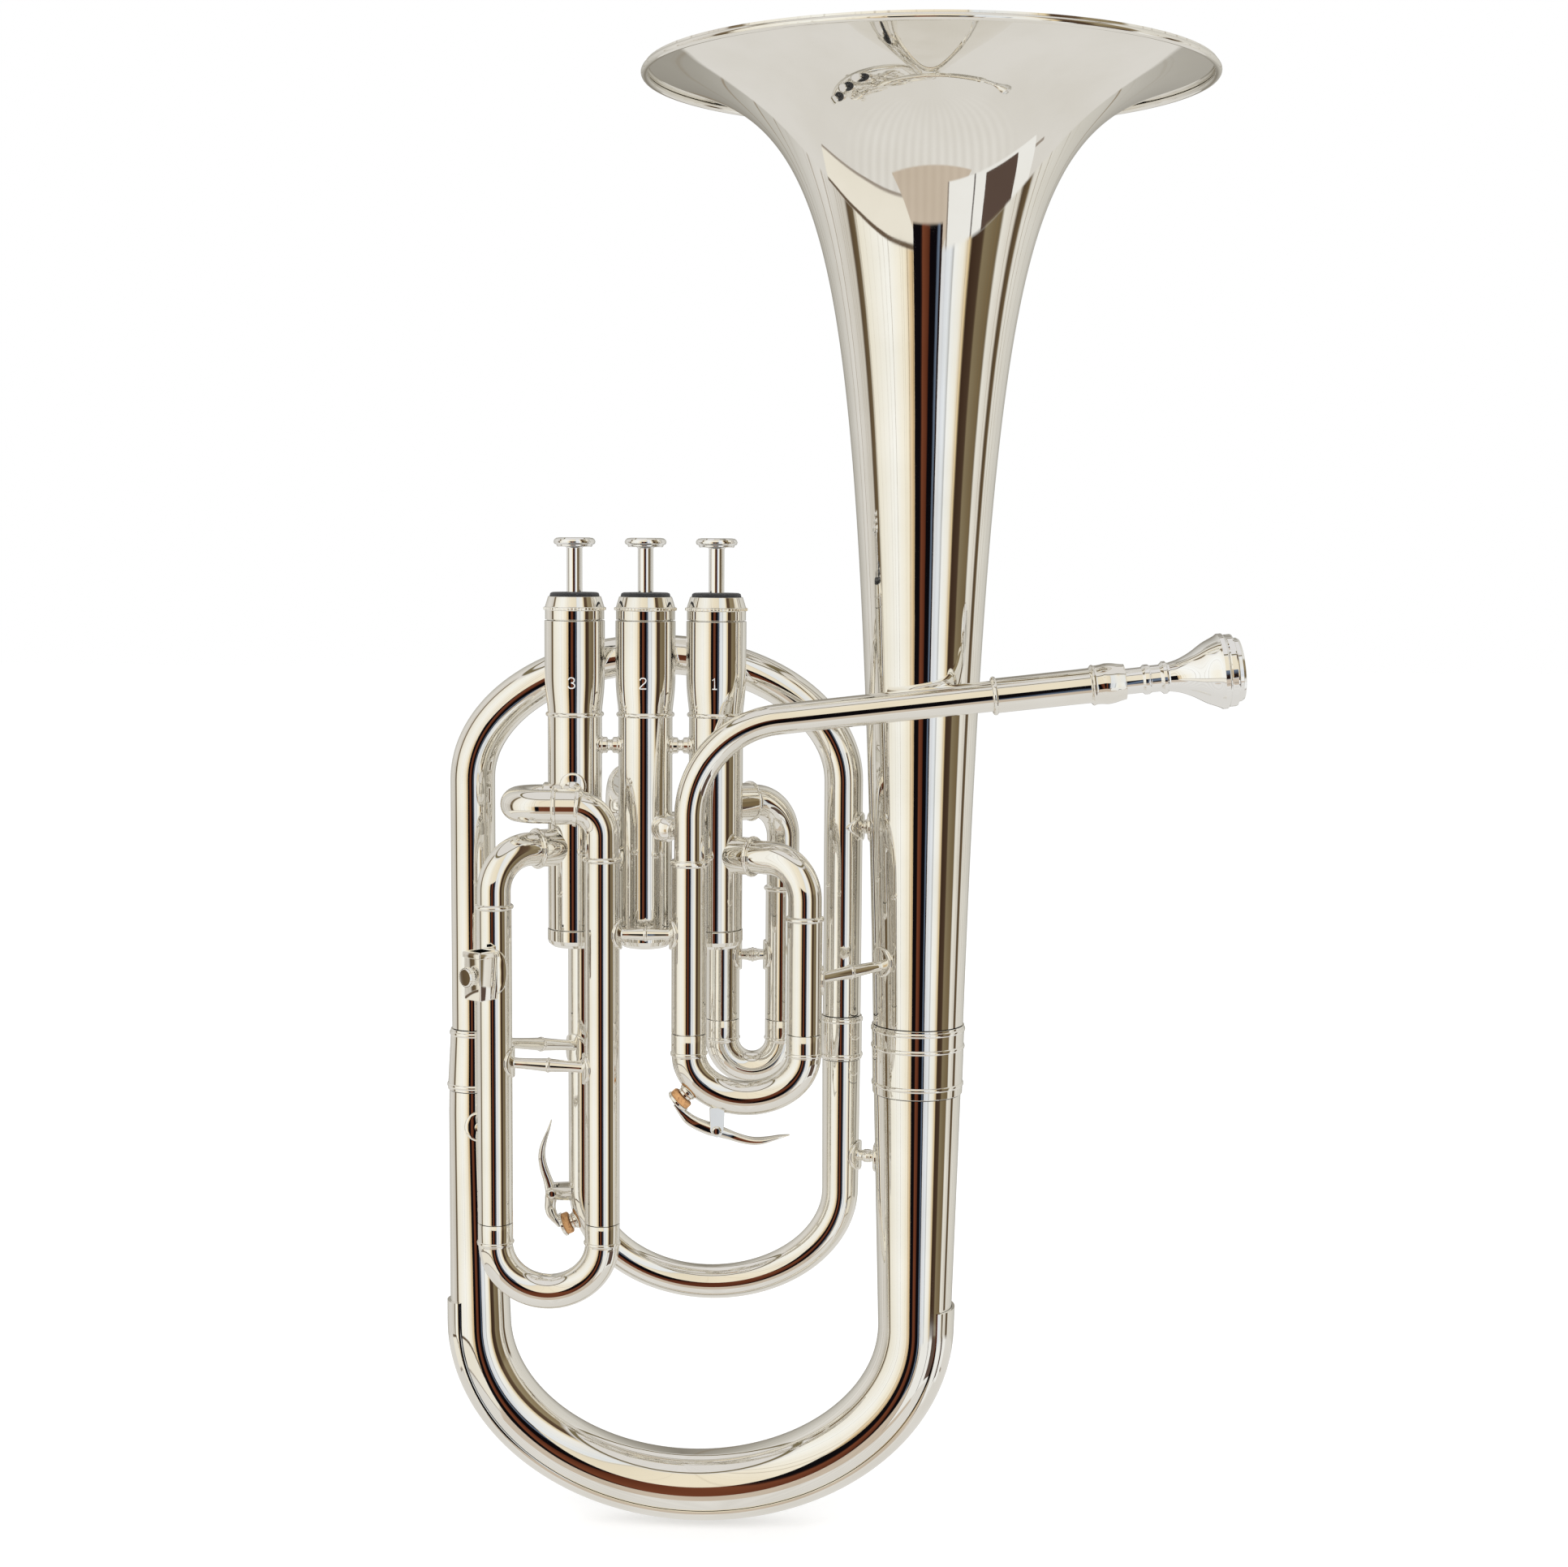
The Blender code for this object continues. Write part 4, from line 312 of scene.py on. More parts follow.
SILVER = MirrorPlate("mirror_silver_plate", "silver_plate", (0.93, 0.915, 0.88), (0.87, 0.85, 0.80), (0.015, 0.05))
BRIGHT = MirrorPlate("bright_silver_plate", "bright_silver_plate", (0.95, 0.95, 0.95), (0.91, 0.91, 0.90),
    (0.012, 0.04), 0.02)
ALLOY = LappedAlloy("lapped_piston_alloy", "piston_alloy", (0.66, 0.64, 0.60), (0.52, 0.50, 0.46), (0.16, 0.3))
WIRE = LappedAlloy("drawn_spring_wire", "spring_steel", (0.55, 0.55, 0.57), (0.42, 0.42, 0.44), (0.22, 0.36),
    (1.0, 1.0, 0.2))
FELT = Felt("pressed_black_felt", "black_felt", (0.018, 0.018, 0.02), (0.09, 0.09, 0.095))
CORK = Cork("natural_cork", "cork", (0.66, 0.36, 0.15), (0.36, 0.17, 0.07))
ETCH = EtchedMark("etched_number", "silver_plate", (0.97, 0.97, 0.96), (0.84, 0.84, 0.83))
Finish = MirrorPlate | LappedAlloy | Felt | Cork | EtchedMark


class PaintShop:
    """Keeps one material for each finish."""

    made: dict[str, bpy.types.Material] = {}

    @classmethod
    def material(cls, finish: Finish) -> bpy.types.Material:
        """The material of a finish, made once."""
        if finish.name not in cls.made:
            cls.made[finish.name] = finish.material()
        return cls.made[finish.name]


# --- node trees for what follows a path or repeats


class ShapeTree(NodeBench):
    """A Geometry Nodes tree with named inputs, which ends in Realize Instances and Set Material."""

    def __init__(self, name: str, sockets: Iterable[tuple[str, str]]) -> None:
        """Starts the tree.

        Args:
            name: the tree's name.
            sockets: the name and type of each input after the geometry.
        """
        super().__init__(bpy.data.node_groups.new(name, "GeometryNodeTree"))
        face = self.tree.interface
        face.new_socket("Geometry", in_out="INPUT", socket_type="NodeSocketGeometry")
        self.keys = {}
        for label, kind in (*sockets, ("Material", "NodeSocketMaterial")):
            self.keys[label] = face.new_socket(label, in_out="INPUT", socket_type=kind).identifier
        face.new_socket("Geometry", in_out="OUTPUT", socket_type="NodeSocketGeometry")
        self.start = self.tree.nodes.new("NodeGroupInput")

    def end(self, geometry: Socket) -> None:
        """Ends the tree with smooth shading, real geometry and its material."""
        smooth = self.add("GeometryNodeSetShadeSmooth", Geometry=geometry).outputs[0]
        whole = self.add("GeometryNodeRealizeInstances", Geometry=smooth).outputs[0]
        painted = self.add("GeometryNodeSetMaterial", Geometry=whole, Material=self.start.outputs["Material"])
        finish = self.tree.nodes.new("NodeGroupOutput")
        self.tree.links.new(painted.outputs[0], finish.inputs[0])

    def run(self, mesh: bpy.types.Mesh, sizes: dict[str, object], wall: float = 0.0) -> bpy.types.Mesh:
        """Runs the tree on a mesh.

        Args:
            mesh: what the tree starts from. It is removed.
            sizes: a value for each named input.
            wall: the thickness that the surface gets inwards.

        Returns:
            The plain mesh.
        """
        obj = bpy.data.objects.new("blank", mesh)
        bpy.context.scene.collection.objects.link(obj)
        change = obj.modifiers.new("Shape", "NODES")
        change.node_group = self.tree
        for label, value in sizes.items():
            change[self.keys[label]] = value
        if wall:
            shell = obj.modifiers.new("Wall", "SOLIDIFY")
            shell.thickness = wall
            shell.offset = -1
        bpy.context.view_layer.update()
        made = bpy.data.meshes.new_from_object(obj.evaluated_get(bpy.context.evaluated_depsgraph_get()))
        bpy.data.objects.remove(obj)
        bpy.data.meshes.remove(mesh)
        return made


class TubeTree(ShapeTree):
    """A round tube along a line of points, each with its own radius."""

    RADIUS = "tube_radius"

    def __init__(self) -> None:
        """Builds the tree."""
        super().__init__("drawn tube", (("Sides", "NodeSocketInt"), ("Solid", "NodeSocketBool")))
        line = self.add("GeometryNodeMeshToCurve", Mesh=self.start.outputs["Geometry"]).outputs[0]
        circle = self.add("GeometryNodeCurvePrimitiveCircle", Resolution=self.start.outputs["Sides"], Radius=1.0)
        radius = self.add("GeometryNodeInputNamedAttribute", {"data_type": "FLOAT"}, Name=self.RADIUS).outputs[0]
        tube = self.add(
            "GeometryNodeCurveToMesh",
            Curve=line,
            Profile_Curve=circle.outputs[0],
            Scale=radius,
            Fill_Caps=self.start.outputs["Solid"],
        )
        self.end(tube.outputs[0])

    def draw(self, points: Sequence[Vector], radii: Sequence[float], wall: float, sides: int,
            closed: bool = False) -> bpy.types.Mesh:
        """Draws a tube.

        Args:
            points: the centre line.
            radii: the outer radius at each point.
            wall: the wall's thickness. 0 makes the tube solid.
            sides: the facets round the tube.
            closed: whether the line runs back to its start.

        Returns:
            The tube's mesh.
        """
        line = bpy.data.meshes.new("line")
        pairs = [(index, index + 1) for index in range(len(points) - 1)]
        if closed:
            pairs.append((len(points) - 1, 0))
        line.from_pydata([tuple(point) for point in points], pairs, [])
        line.attributes.new(self.RADIUS, "FLOAT", "POINT").data.foreach_set("value",
            [float(radius) for radius in radii])
        return self.run(line, {"Sides": sides, "Solid": wall == 0 and not closed,
            "Material": PaintShop.material(SILVER)}, wall)


class FlareTree(ShapeTree):
    """A bell that opens by a power of the distance from its rim."""

    def __init__(self) -> None:
        """Builds the tree."""
        names = ("Length", "Rim Radius", "Flare", "Power", "Throat Radius", "Crowding")
        kinds = [(name, "NodeSocketFloat") for name in names]
        super().__init__("flared bell", (*kinds, ("Steps", "NodeSocketInt"), ("Sides", "NodeSocketInt")))
        given = self.start.outputs
        line = self.add("GeometryNodeMeshLine", Count=given["Steps"])
        last = self.sum("SUBTRACT", given["Steps"], 1.0)
        share = self.sum("DIVIDE", self.add("GeometryNodeInputIndex").outputs[0], last)
        depth = self.sum("MULTIPLY", self.sum("POWER", share, given["Crowding"]), given["Length"])
        place = self.add("ShaderNodeCombineXYZ", X=0.0, Y=0.0, Z=self.sum("MULTIPLY", depth, -1.0))
        spaced = self.add("GeometryNodeSetPosition", Geometry=line.outputs[0], Position=place.outputs[0])
        curve = self.add("GeometryNodeMeshToCurve", Mesh=spaced.outputs[0])
        height = self.add("ShaderNodeSeparateXYZ", Vector=self.add("GeometryNodeInputPosition").outputs[0]).outputs["Z"]
        growth = self.sum("DIVIDE", self.sum("SUBTRACT", given["Flare"], height), given["Flare"])
        falling = self.sum("POWER", growth, self.sum("MULTIPLY", given["Power"], -1.0))
        radius = self.sum("MAXIMUM", self.sum("MULTIPLY", falling, given["Rim Radius"]), given["Throat Radius"])
        circle = self.add("GeometryNodeCurvePrimitiveCircle", Resolution=given["Sides"], Radius=1.0)
        shell = self.add("GeometryNodeCurveToMesh", Curve=curve.outputs[0], Profile_Curve=circle.outputs[0],
            Scale=radius)
        self.end(shell.outputs[0])


class KnurlTree(ShapeTree):
    """Small round ribs on a circle, along its axis."""

    def __init__(self) -> None:
        """Builds the tree."""
        names = (("Ribs", "NodeSocketInt"), ("Circle", "NodeSocketFloat"), ("Rib Radius", "NodeSocketFloat"),
            ("Height", "NodeSocketFloat"))
        super().__init__("knurled edge", names)
        given = self.start.outputs
        circle = self.add("GeometryNodeMeshCircle", Vertices=given["Ribs"], Radius=given["Circle"])
        rib = self.add("GeometryNodeMeshCylinder", Vertices=8, Radius=given["Rib Radius"], Depth=given["Height"])
        ribs = self.add("GeometryNodeInstanceOnPoints", Points=circle.outputs[0], Instance=rib.outputs[0])
        self.end(ribs.outputs[0])


TUBES = TubeTree()
FLARES = FlareTree()
KNURLS = KnurlTree()


# --- lines and profiles


def radial(azimuth: float, distance: float = 1.0, height: float = 0.0) -> Vector:
    """The point at an azimuth in degrees, a distance from the upright axis and a height."""
    angle = math.radians(azimuth)
    return Vector((math.cos(angle) * distance, math.sin(angle) * distance, height))


def bent(corners: Sequence[Vector], bends: Sequence[float], step: float = math.radians(4)) -> list[Vector]:
    """A line from corner to corner with rounded bends.

    Args:
        corners: the line's corners.
        bends: the bend radius at each inner corner.
        step: the turn between two points of a bend.

    Returns:
        The line's points.
    """
    route = [corners[0]]
    for before, corner, after, bend in zip(corners, corners[1:], corners[2:], bends):
        inward = (before - corner).normalized()
        outward = (after - corner).normalized()
        turn = math.pi - inward.angle(outward)
        reach = bend * math.tan(turn / 2)
        centre = corner + (inward + outward).normalized() * (bend / math.cos(turn / 2))
        start = corner + inward * reach - centre
        axis = start.cross(corner + outward * reach - centre).normalized()
        count = max(1, math.ceil(turn / step))
        route += [centre + Matrix.Rotation(turn * index / count, 3, axis) @ start for index in range(count + 1)]
    route.append(corners[-1])
    return route


def bow(first: Vector, last: Vector, depth: float, direction: Vector, count: int = 56) -> list[Vector]:
    """A half ellipse.

    Args:
        first: its first point.
        last: its last point.
        depth: how far it bulges.
        direction: the way that it bulges.
        count: its number of steps.

    Returns:
        Its points.
    """
    middle = (first + last) / 2
    half = (first - last) / 2
    angles = [math.pi * index / count for index in range(count + 1)]
    return [middle + half * math.cos(angle) + direction * depth * math.sin(angle) for angle in angles]


def length_of(route: Sequence[Vector]) -> float:
    """The length of a line."""
    return sum((after - before).length for before, after in zip(route, route[1:]))


def bead(distance: float, radius: float, height: float = 0.7, width: float = 1.6) -> list[Size]:
    """A half-round bead on a tube.

    Args:
        distance: where its middle is along the tube.
        radius: the tube's radius.
        height: how far it stands proud.
        width: its width along the tube.

    Returns:
        Its sizes as (distance, radius).
    """
    half = width / 2
    angles = [math.pi * index / 8 for index in range(9)]
    crown = [(distance - half * math.cos(angle), radius + height * math.sin(angle)) for angle in angles]
    return [(distance - half - 0.12, radius), *crown, (distance + half + 0.12, radius)]


def turned_bead(height: float, radius: float, rise: float, width: float = 1.6) -> list[Size]:
    """The same bead on a turned shape, as (radius, height)."""
    return [(size, place) for place, size in bead(height, radius, rise, width)]


def radius_at(distance: float, sizes: Sequence[Size]) -> float:
    """The radius between the sizes on each side of a distance."""
    return float(np.interp(distance, [size[0] for size in sizes], [size[1] for size in sizes]))


def sized(route: Sequence[Vector], sizes: Sequence[Size]) -> tuple[list[Vector], list[float]]:
    """A line with the points of the sizes put in.

    Args:
        route: the line.
        sizes: pairs of a distance along it and a radius.

    Returns:
        The points, and the radius at each.
    """
    total = length_of(route)
    sizes = sorted(sizes)
    marks = [0.0]
    for before, after in zip(route, route[1:]):
        marks.append(marks[-1] + (after - before).length)
    wanted = [distance for distance, _ in sizes if 0 < distance < total]
    distances = []
    for distance in sorted(wanted + marks):
        if not distances or distance - distances[-1] > 0.03:
            distances.append(distance)
    points = []
    for distance in distances:
        leg = min(int(np.searchsorted(marks, distance, side="right")) - 1, len(route) - 2)
        share = (distance - marks[leg]) / (marks[leg + 1] - marks[leg])
        points.append(route[leg].lerp(route[leg + 1], share))
    return points, [radius_at(distance, sizes) for distance in distances]


def eased(profile: Sequence[Size], ease: float, closed: bool) -> list[Size]:
    """A turned profile with its corners rounded.

    Args:
        profile: the corners as (radius, height).
        ease: the radius of the rounding.
        closed: whether the profile runs back to its start.

    Returns:
        The rounded profile.
    """
    corners = [Vector(size) for size in profile]
    count = len(corners)
    made: list[Size] = []
    for index, corner in enumerate(corners):
        before = corners[index - 1]
        after = corners[(index + 1) % count]
        end = not closed and index in (0, count - 1)
        if end or (corner - before).length < 1e-6 or (after - corner).length < 1e-6:
            made.append(tuple(corner))
            continue
        inward = (before - corner).normalized()
        outward = (after - corner).normalized()
        turn = math.pi - inward.angle(outward)
        if turn < math.radians(14):
            made.append(tuple(corner))
            continue
        room = min((before - corner).length, (after - corner).length)
        trim = min(ease * math.tan(turn / 2), room * 0.36)
        start = corner + inward * trim
        finish = corner + outward * trim
        made.append(tuple(corner + inward * trim * 1.3))
        for step in range(5):
            share = step / 4
            pull = start.lerp(corner, share).lerp(corner.lerp(finish, share), share)
            made.append(tuple(pull))
        made.append(tuple(corner + outward * trim * 1.3))
    return made


def smooth_curve(points: Sequence[Size], steps: int = 6) -> list[Size]:
    """A soft curve through points.

    Args:
        points: what it passes through.
        steps: how many steps lead from one point to the next.

    Returns:
        The curve's points.
    """
    places = [Vector(point) for point in points]
    padded = [2 * places[0] - places[1], *places, 2 * places[-1] - places[-2]]
    made = []
    for a, b, c, d in zip(padded, padded[1:], padded[2:], padded[3:]):
        for step in range(steps):
            t = step / steps
            curve = (2 * a - 5 * b + 4 * c - d) * t * t + (3 * b - a - 3 * c + d) * t**3
            made.append(tuple(0.5 * (2 * b + (c - a) * t + curve)))
    made.append(tuple(places[-1]))
    return made


# --- one piece of work


@dataclass(frozen=True)
class Host:
    """The round surface that a saddle plate sits on."""

    point: Vector
    axis: Vector
    radius: Callable[[float], float]


@dataclass
class Work:
    """One piece in the making: closed shapes that share a finish."""

    name: str
    finish: Finish = SILVER
    shape: bmesh.types.BMesh = field(default_factory=bmesh.new)

    def take(self, mesh: bpy.types.Mesh, matrix: Matrix = Matrix.Identity(4)) -> None:
        """Adds a mesh, placed by the matrix.

        Args:
            mesh: the mesh. It is removed.
            matrix: where it goes.
        """
        mesh.transform(matrix)
        self.shape.from_mesh(mesh)
        bpy.data.meshes.remove(mesh)

    def skin(self, rings: Sequence[Sequence[Vector]], wrap: bool = False) -> None:
        """Adds a closed skin over rings of points.

        Args:
            rings: the rings, all with as many points.
            wrap: whether the last ring joins the first. Else each end is closed.
        """
        part = bmesh.new()
        made = [[part.verts.new(point) for point in ring] for ring in rings]
        count = len(rings[0])
        pairs = list(zip(made, made[1:])) + ([(made[-1], made[0])] if wrap else [])
        for first, second in pairs:
            for index in range(count):
                after = (index + 1) % count
                part.faces.new((first[index], first[after], second[after], second[index]))
        if not wrap:
            for ring in (made[0], made[-1]):
                middle = part.verts.new(sum((vertex.co for vertex in ring), Vector()) / count)
                for index in range(count):
                    part.faces.new((ring[index], ring[(index + 1) % count], middle))
        self.close(part)

    def close(self, part: bmesh.types.BMesh) -> None:
        """Merges a closed shape's doubles, turns its faces outwards and adds it."""
        bmesh.ops.remove_doubles(part, verts=part.verts, dist=1e-5)
        bmesh.ops.dissolve_degenerate(part, dist=1e-6, edges=part.edges)
        bmesh.ops.recalc_face_normals(part, faces=part.faces)
        mesh = bpy.data.meshes.new("part")
        part.to_mesh(mesh)
        part.free()
        self.take(mesh)

    def turn(self, profile: Sequence[Size], start: Vector, direction: Vector = UP, ease: float = 0.2, sides: int = 72,
            hollow: bool = False, casing: float = 0.0, far: float = 0.0) -> None:
        """Adds a turned shape.

        Args:
            profile: (radius, height) from its start. It ends on the axis unless it is hollow.
            start: the point of the axis at height 0.
            direction: the axis.
            ease: the rounding of its corners.
            sides: the facets round the axis.
            hollow: whether the profile runs back to its first point.
            casing: the radius of the upright casing that its foot follows, or 0.
            far: how far away a second such casing stands, or 0.
        """
        outline = eased(profile, ease, hollow) if ease else list(profile)
        run = direction.normalized()
        across = run.orthogonal().normalized()
        other = run.cross(across)
        turns = [math.tau * index / sides for index in range(sides)]
        spokes = [across * math.cos(angle) + other * math.sin(angle) for angle in turns]
        aside = run.cross(UP)

        def level(radius: float, height: float, spoke: Vector) -> float:
            """The height of a point, moved to follow the casings at both ends."""
            if not casing:
                return height
            foot = math.sqrt(max(casing**2 - (radius * spoke.dot(aside)) ** 2, 0.0))
            height = max(height, foot) if height > casing + 0.6 else foot + max(height - casing, 0.0)
            return min(height, far - foot) if far else height

        rings = [[start + run * level(radius, height, spoke) + spoke * max(radius, 0.0) for spoke in spokes]
            for radius, height in outline]
        self.skin(rings, wrap=hollow)

    def tube(self, route: Sequence[Vector], sizes: Sequence[Size], wall: float = 0.55, sides: int = 44,
            closed: bool = False) -> None:
        """Adds a tube along a line.

        Args:
            route: the centre line.
            sizes: pairs of a distance along it and an outer radius.
            wall: the wall's thickness, or 0 for a solid rod.
            sides: the facets round the tube.
            closed: whether the line runs back to its start.
        """
        points, radii = (route, [sizes[0][1]] * len(route)) if closed else sized(route, sizes)
        self.take(TUBES.draw(points, radii, wall, sides, closed))

    def knurl(self, start: Vector, direction: Vector, ribs: int, circle: float, rib: float, height: float) -> None:
        """Adds a knurled edge.

        Args:
            start: its middle.
            direction: its axis.
            ribs: the number of ribs.
            circle: the radius of the circle that they stand on.
            rib: the radius of a rib.
            height: the length of a rib.
        """
        sizes = {"Ribs": ribs, "Circle": circle, "Rib Radius": rib, "Height": height,
            "Material": PaintShop.material(self.finish)}
        turn = UP.rotation_difference(direction).to_matrix().to_4x4()
        self.take(KNURLS.run(bpy.data.meshes.new("edge"), sizes), Matrix.Translation(start) @ turn)

    def saddle(self, host: Host, facing: Vector, plate: Plate, half: Size, thickness: float = 0.9) -> None:
        """Adds a plate that hugs a round surface.

        Args:
            host: the surface.
            facing: the way from the host's axis to the plate's middle.
            plate: the plate's outline.
            half: half its length along the host and half its width round it.
            thickness: how thick it is.
        """
        axis = host.axis.normalized()
        front = (facing - axis * facing.dot(axis)).normalized()
        side = axis.cross(front)
        sink = -0.1
        edge = [(0.02, 1.0), (0.4, 1.0), (0.75, 1.0), (0.9, 0.98), (0.96, 0.85), (0.99, 0.6), (1.0, 0.3), (1.0, 0.0),
            (0.97, sink), (0.6, sink), (0.02, sink)]
        rings = []
        for share, level in edge:
            ring = []
            for index in range(48):
                angle = math.tau * index / 48
                cosine, sine = math.cos(angle), math.sin(angle)
                power = plate.value
                reach = (abs(cosine) ** power + abs(sine) ** power) ** (-1 / power)
                along = half[0] * share * reach * cosine
                radius = host.radius(along)
                turn = half[1] * share * reach * sine / radius
                height = radius + (thickness * level if level > 0 else level)
                ring.append(host.point + axis * along + (front * math.cos(turn) + side * math.sin(turn)) * height)
            rings.append(ring)
        self.skin(rings)

    def slab(self, outline: Sequence[Size], origin: Vector, across: Vector, up: Vector, depth: float,
            ease: float = 0.2) -> None:
        """Adds a flat plate with eased edges.

        Args:
            outline: its corners as (across, up).
            origin: its middle.
            across: the direction of the first size.
            up: the direction of the second size.
            depth: its thickness.
            ease: how far its edges are eased.
        """
        normal = across.cross(up).normalized()
        rounded = eased(outline, 3 * ease, True)
        centre = sum((Vector(size) for size in rounded), Vector((0, 0))) / len(rounded)
        levels = [(-0.5, 1), (-0.5, 0), (-0.35, -0.001), (0.35, -0.001), (0.5, 0), (0.5, 1)]
        rings = []
        for level, inset in levels:
            ring = []
            for size in rounded:
                place = Vector(size)
                pull = (centre - place).normalized() * ease * inset
                shift = -pull if level in (-0.35, 0.35) else pull
                place = place + (shift if inset else (centre - place).normalized() * ease * 0.5)
                ring.append(origin + across * place.x + up * place.y + normal * depth * level)
            rings.append(ring)
        self.skin(rings)

    def done(self, body: Body, *nodes: str) -> None:
        """Ends the piece: its mesh in metres, its finish, its body and the nodes that it stands for.

        Args:
            body: the body that it rides on.
            nodes: the CAD nodes that it replaces.
        """
        mesh = bpy.data.meshes.new(self.name)
        self.shape.to_mesh(mesh)
        self.shape.free()
        mesh.transform(Matrix.Scale(MM, 4))
        mesh.shade_smooth()
        mesh.set_sharp_from_angle(angle=SHARP)
        if mesh.attributes.get(TubeTree.RADIUS):
            mesh.attributes.remove(mesh.attributes[TubeTree.RADIUS])
        mesh.materials.clear()
        mesh.materials.append(PaintShop.material(self.finish))
        mesh.polygons.foreach_set("material_index", np.zeros(len(mesh.polygons), np.int32))
        obj = bpy.data.objects.new(self.name, mesh)
        bpy.context.scene.collection.objects.link(obj)
        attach(obj, body.value)
        if nodes:
            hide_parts(*nodes)
        LOG.info("%s: %d faces on %s", self.name, len(mesh.polygons), body.value)


# --- bell and bows


@dataclass
class Bell:
    """The bell, with its rolled rim, and the sleeve that joins it to the bottom bow."""

    axis: Vector = field(default_factory=lambda: Vector((99.3, 9, 0)))
    rim_z: float = 246.1
    length: float = 339.0
    rim_radius: float = 100.4
    edge_radius: float = 101.5
    flare: float = 10.8
    power: float = 0.52
    throat: float = 16.4
    wall: float = 0.8
    bead: float = 1.25
    sleeve: float = 25.4

    def radius(self, distance: float) -> float:
        """The outer radius at a distance below the rim."""
        return max(self.rim_radius * ((distance + self.flare) / self.flare) ** -self.power, self.throat)

    def host(self, height: float) -> Host:
        """The bell's surface round a height."""
        return Host(self.axis + UP * height, UP, lambda along: self.radius(self.rim_z - height - along))

    def build(self) -> None:
        """Builds the flare, its rim and its sleeve."""
        work = Work("flared_bell")
        sizes = {
            "Length": self.length,
            "Rim Radius": self.rim_radius,
            "Flare": self.flare,
            "Power": self.power,
            "Throat Radius": self.throat,
            "Crowding": 2.2,
            "Steps": 110,
            "Sides": 144,
            "Material": PaintShop.material(SILVER),
        }
        work.take(FLARES.run(bpy.data.meshes.new("flare"), sizes, self.wall),
            Matrix.Translation(self.axis + UP * self.rim_z))
        middle = self.axis + UP * (self.rim_z - self.bead)
        ring = [middle + radial(2.5 * index, self.edge_radius - self.bead) for index in range(144)]
        work.tube(ring, [(0, self.bead)], 0, 20, closed=True)
        work.done(Body.HORN, "bell")
        top = self.rim_z - self.length - 0.3
        Joint("bell_joint_sleeve", self.axis, top - self.sleeve, top, 15.9, self.throat,
            (1.6, 8, 21.8)).build("bell_ferrule")


@dataclass
class Joint:
    """A sleeve round the joint of two tubes, with raised beads."""

    name: str
    axis: Vector
    bottom: float
    top: float
    low_tube: float
    high_tube: float
    beads: tuple[float, ...]
    proud: float = 0.5
    bead_height: float = 0.4

    def build(self, node: str) -> None:
        """Turns the sleeve.

        Args:
            node: the CAD node that it replaces.
        """
        length = self.top - self.bottom
        low, high = self.low_tube + self.proud, self.high_tube + self.proud
        outline = [(high - self.proud, length), (high, length)]
        for place in self.beads:
            radius = high + (low - high) * place / length
            outline += [(size, length - distance) for distance, size in bead(place, radius, self.bead_height)]
        outline += [(low, 0), (low - 1.2, 0), (high - 1.2, length)]
        work = Work(self.name)
        work.turn(outline, Vector((self.axis.x, self.axis.y, self.bottom)), ease=0.25, hollow=True)
        work.done(Body.HORN, node)


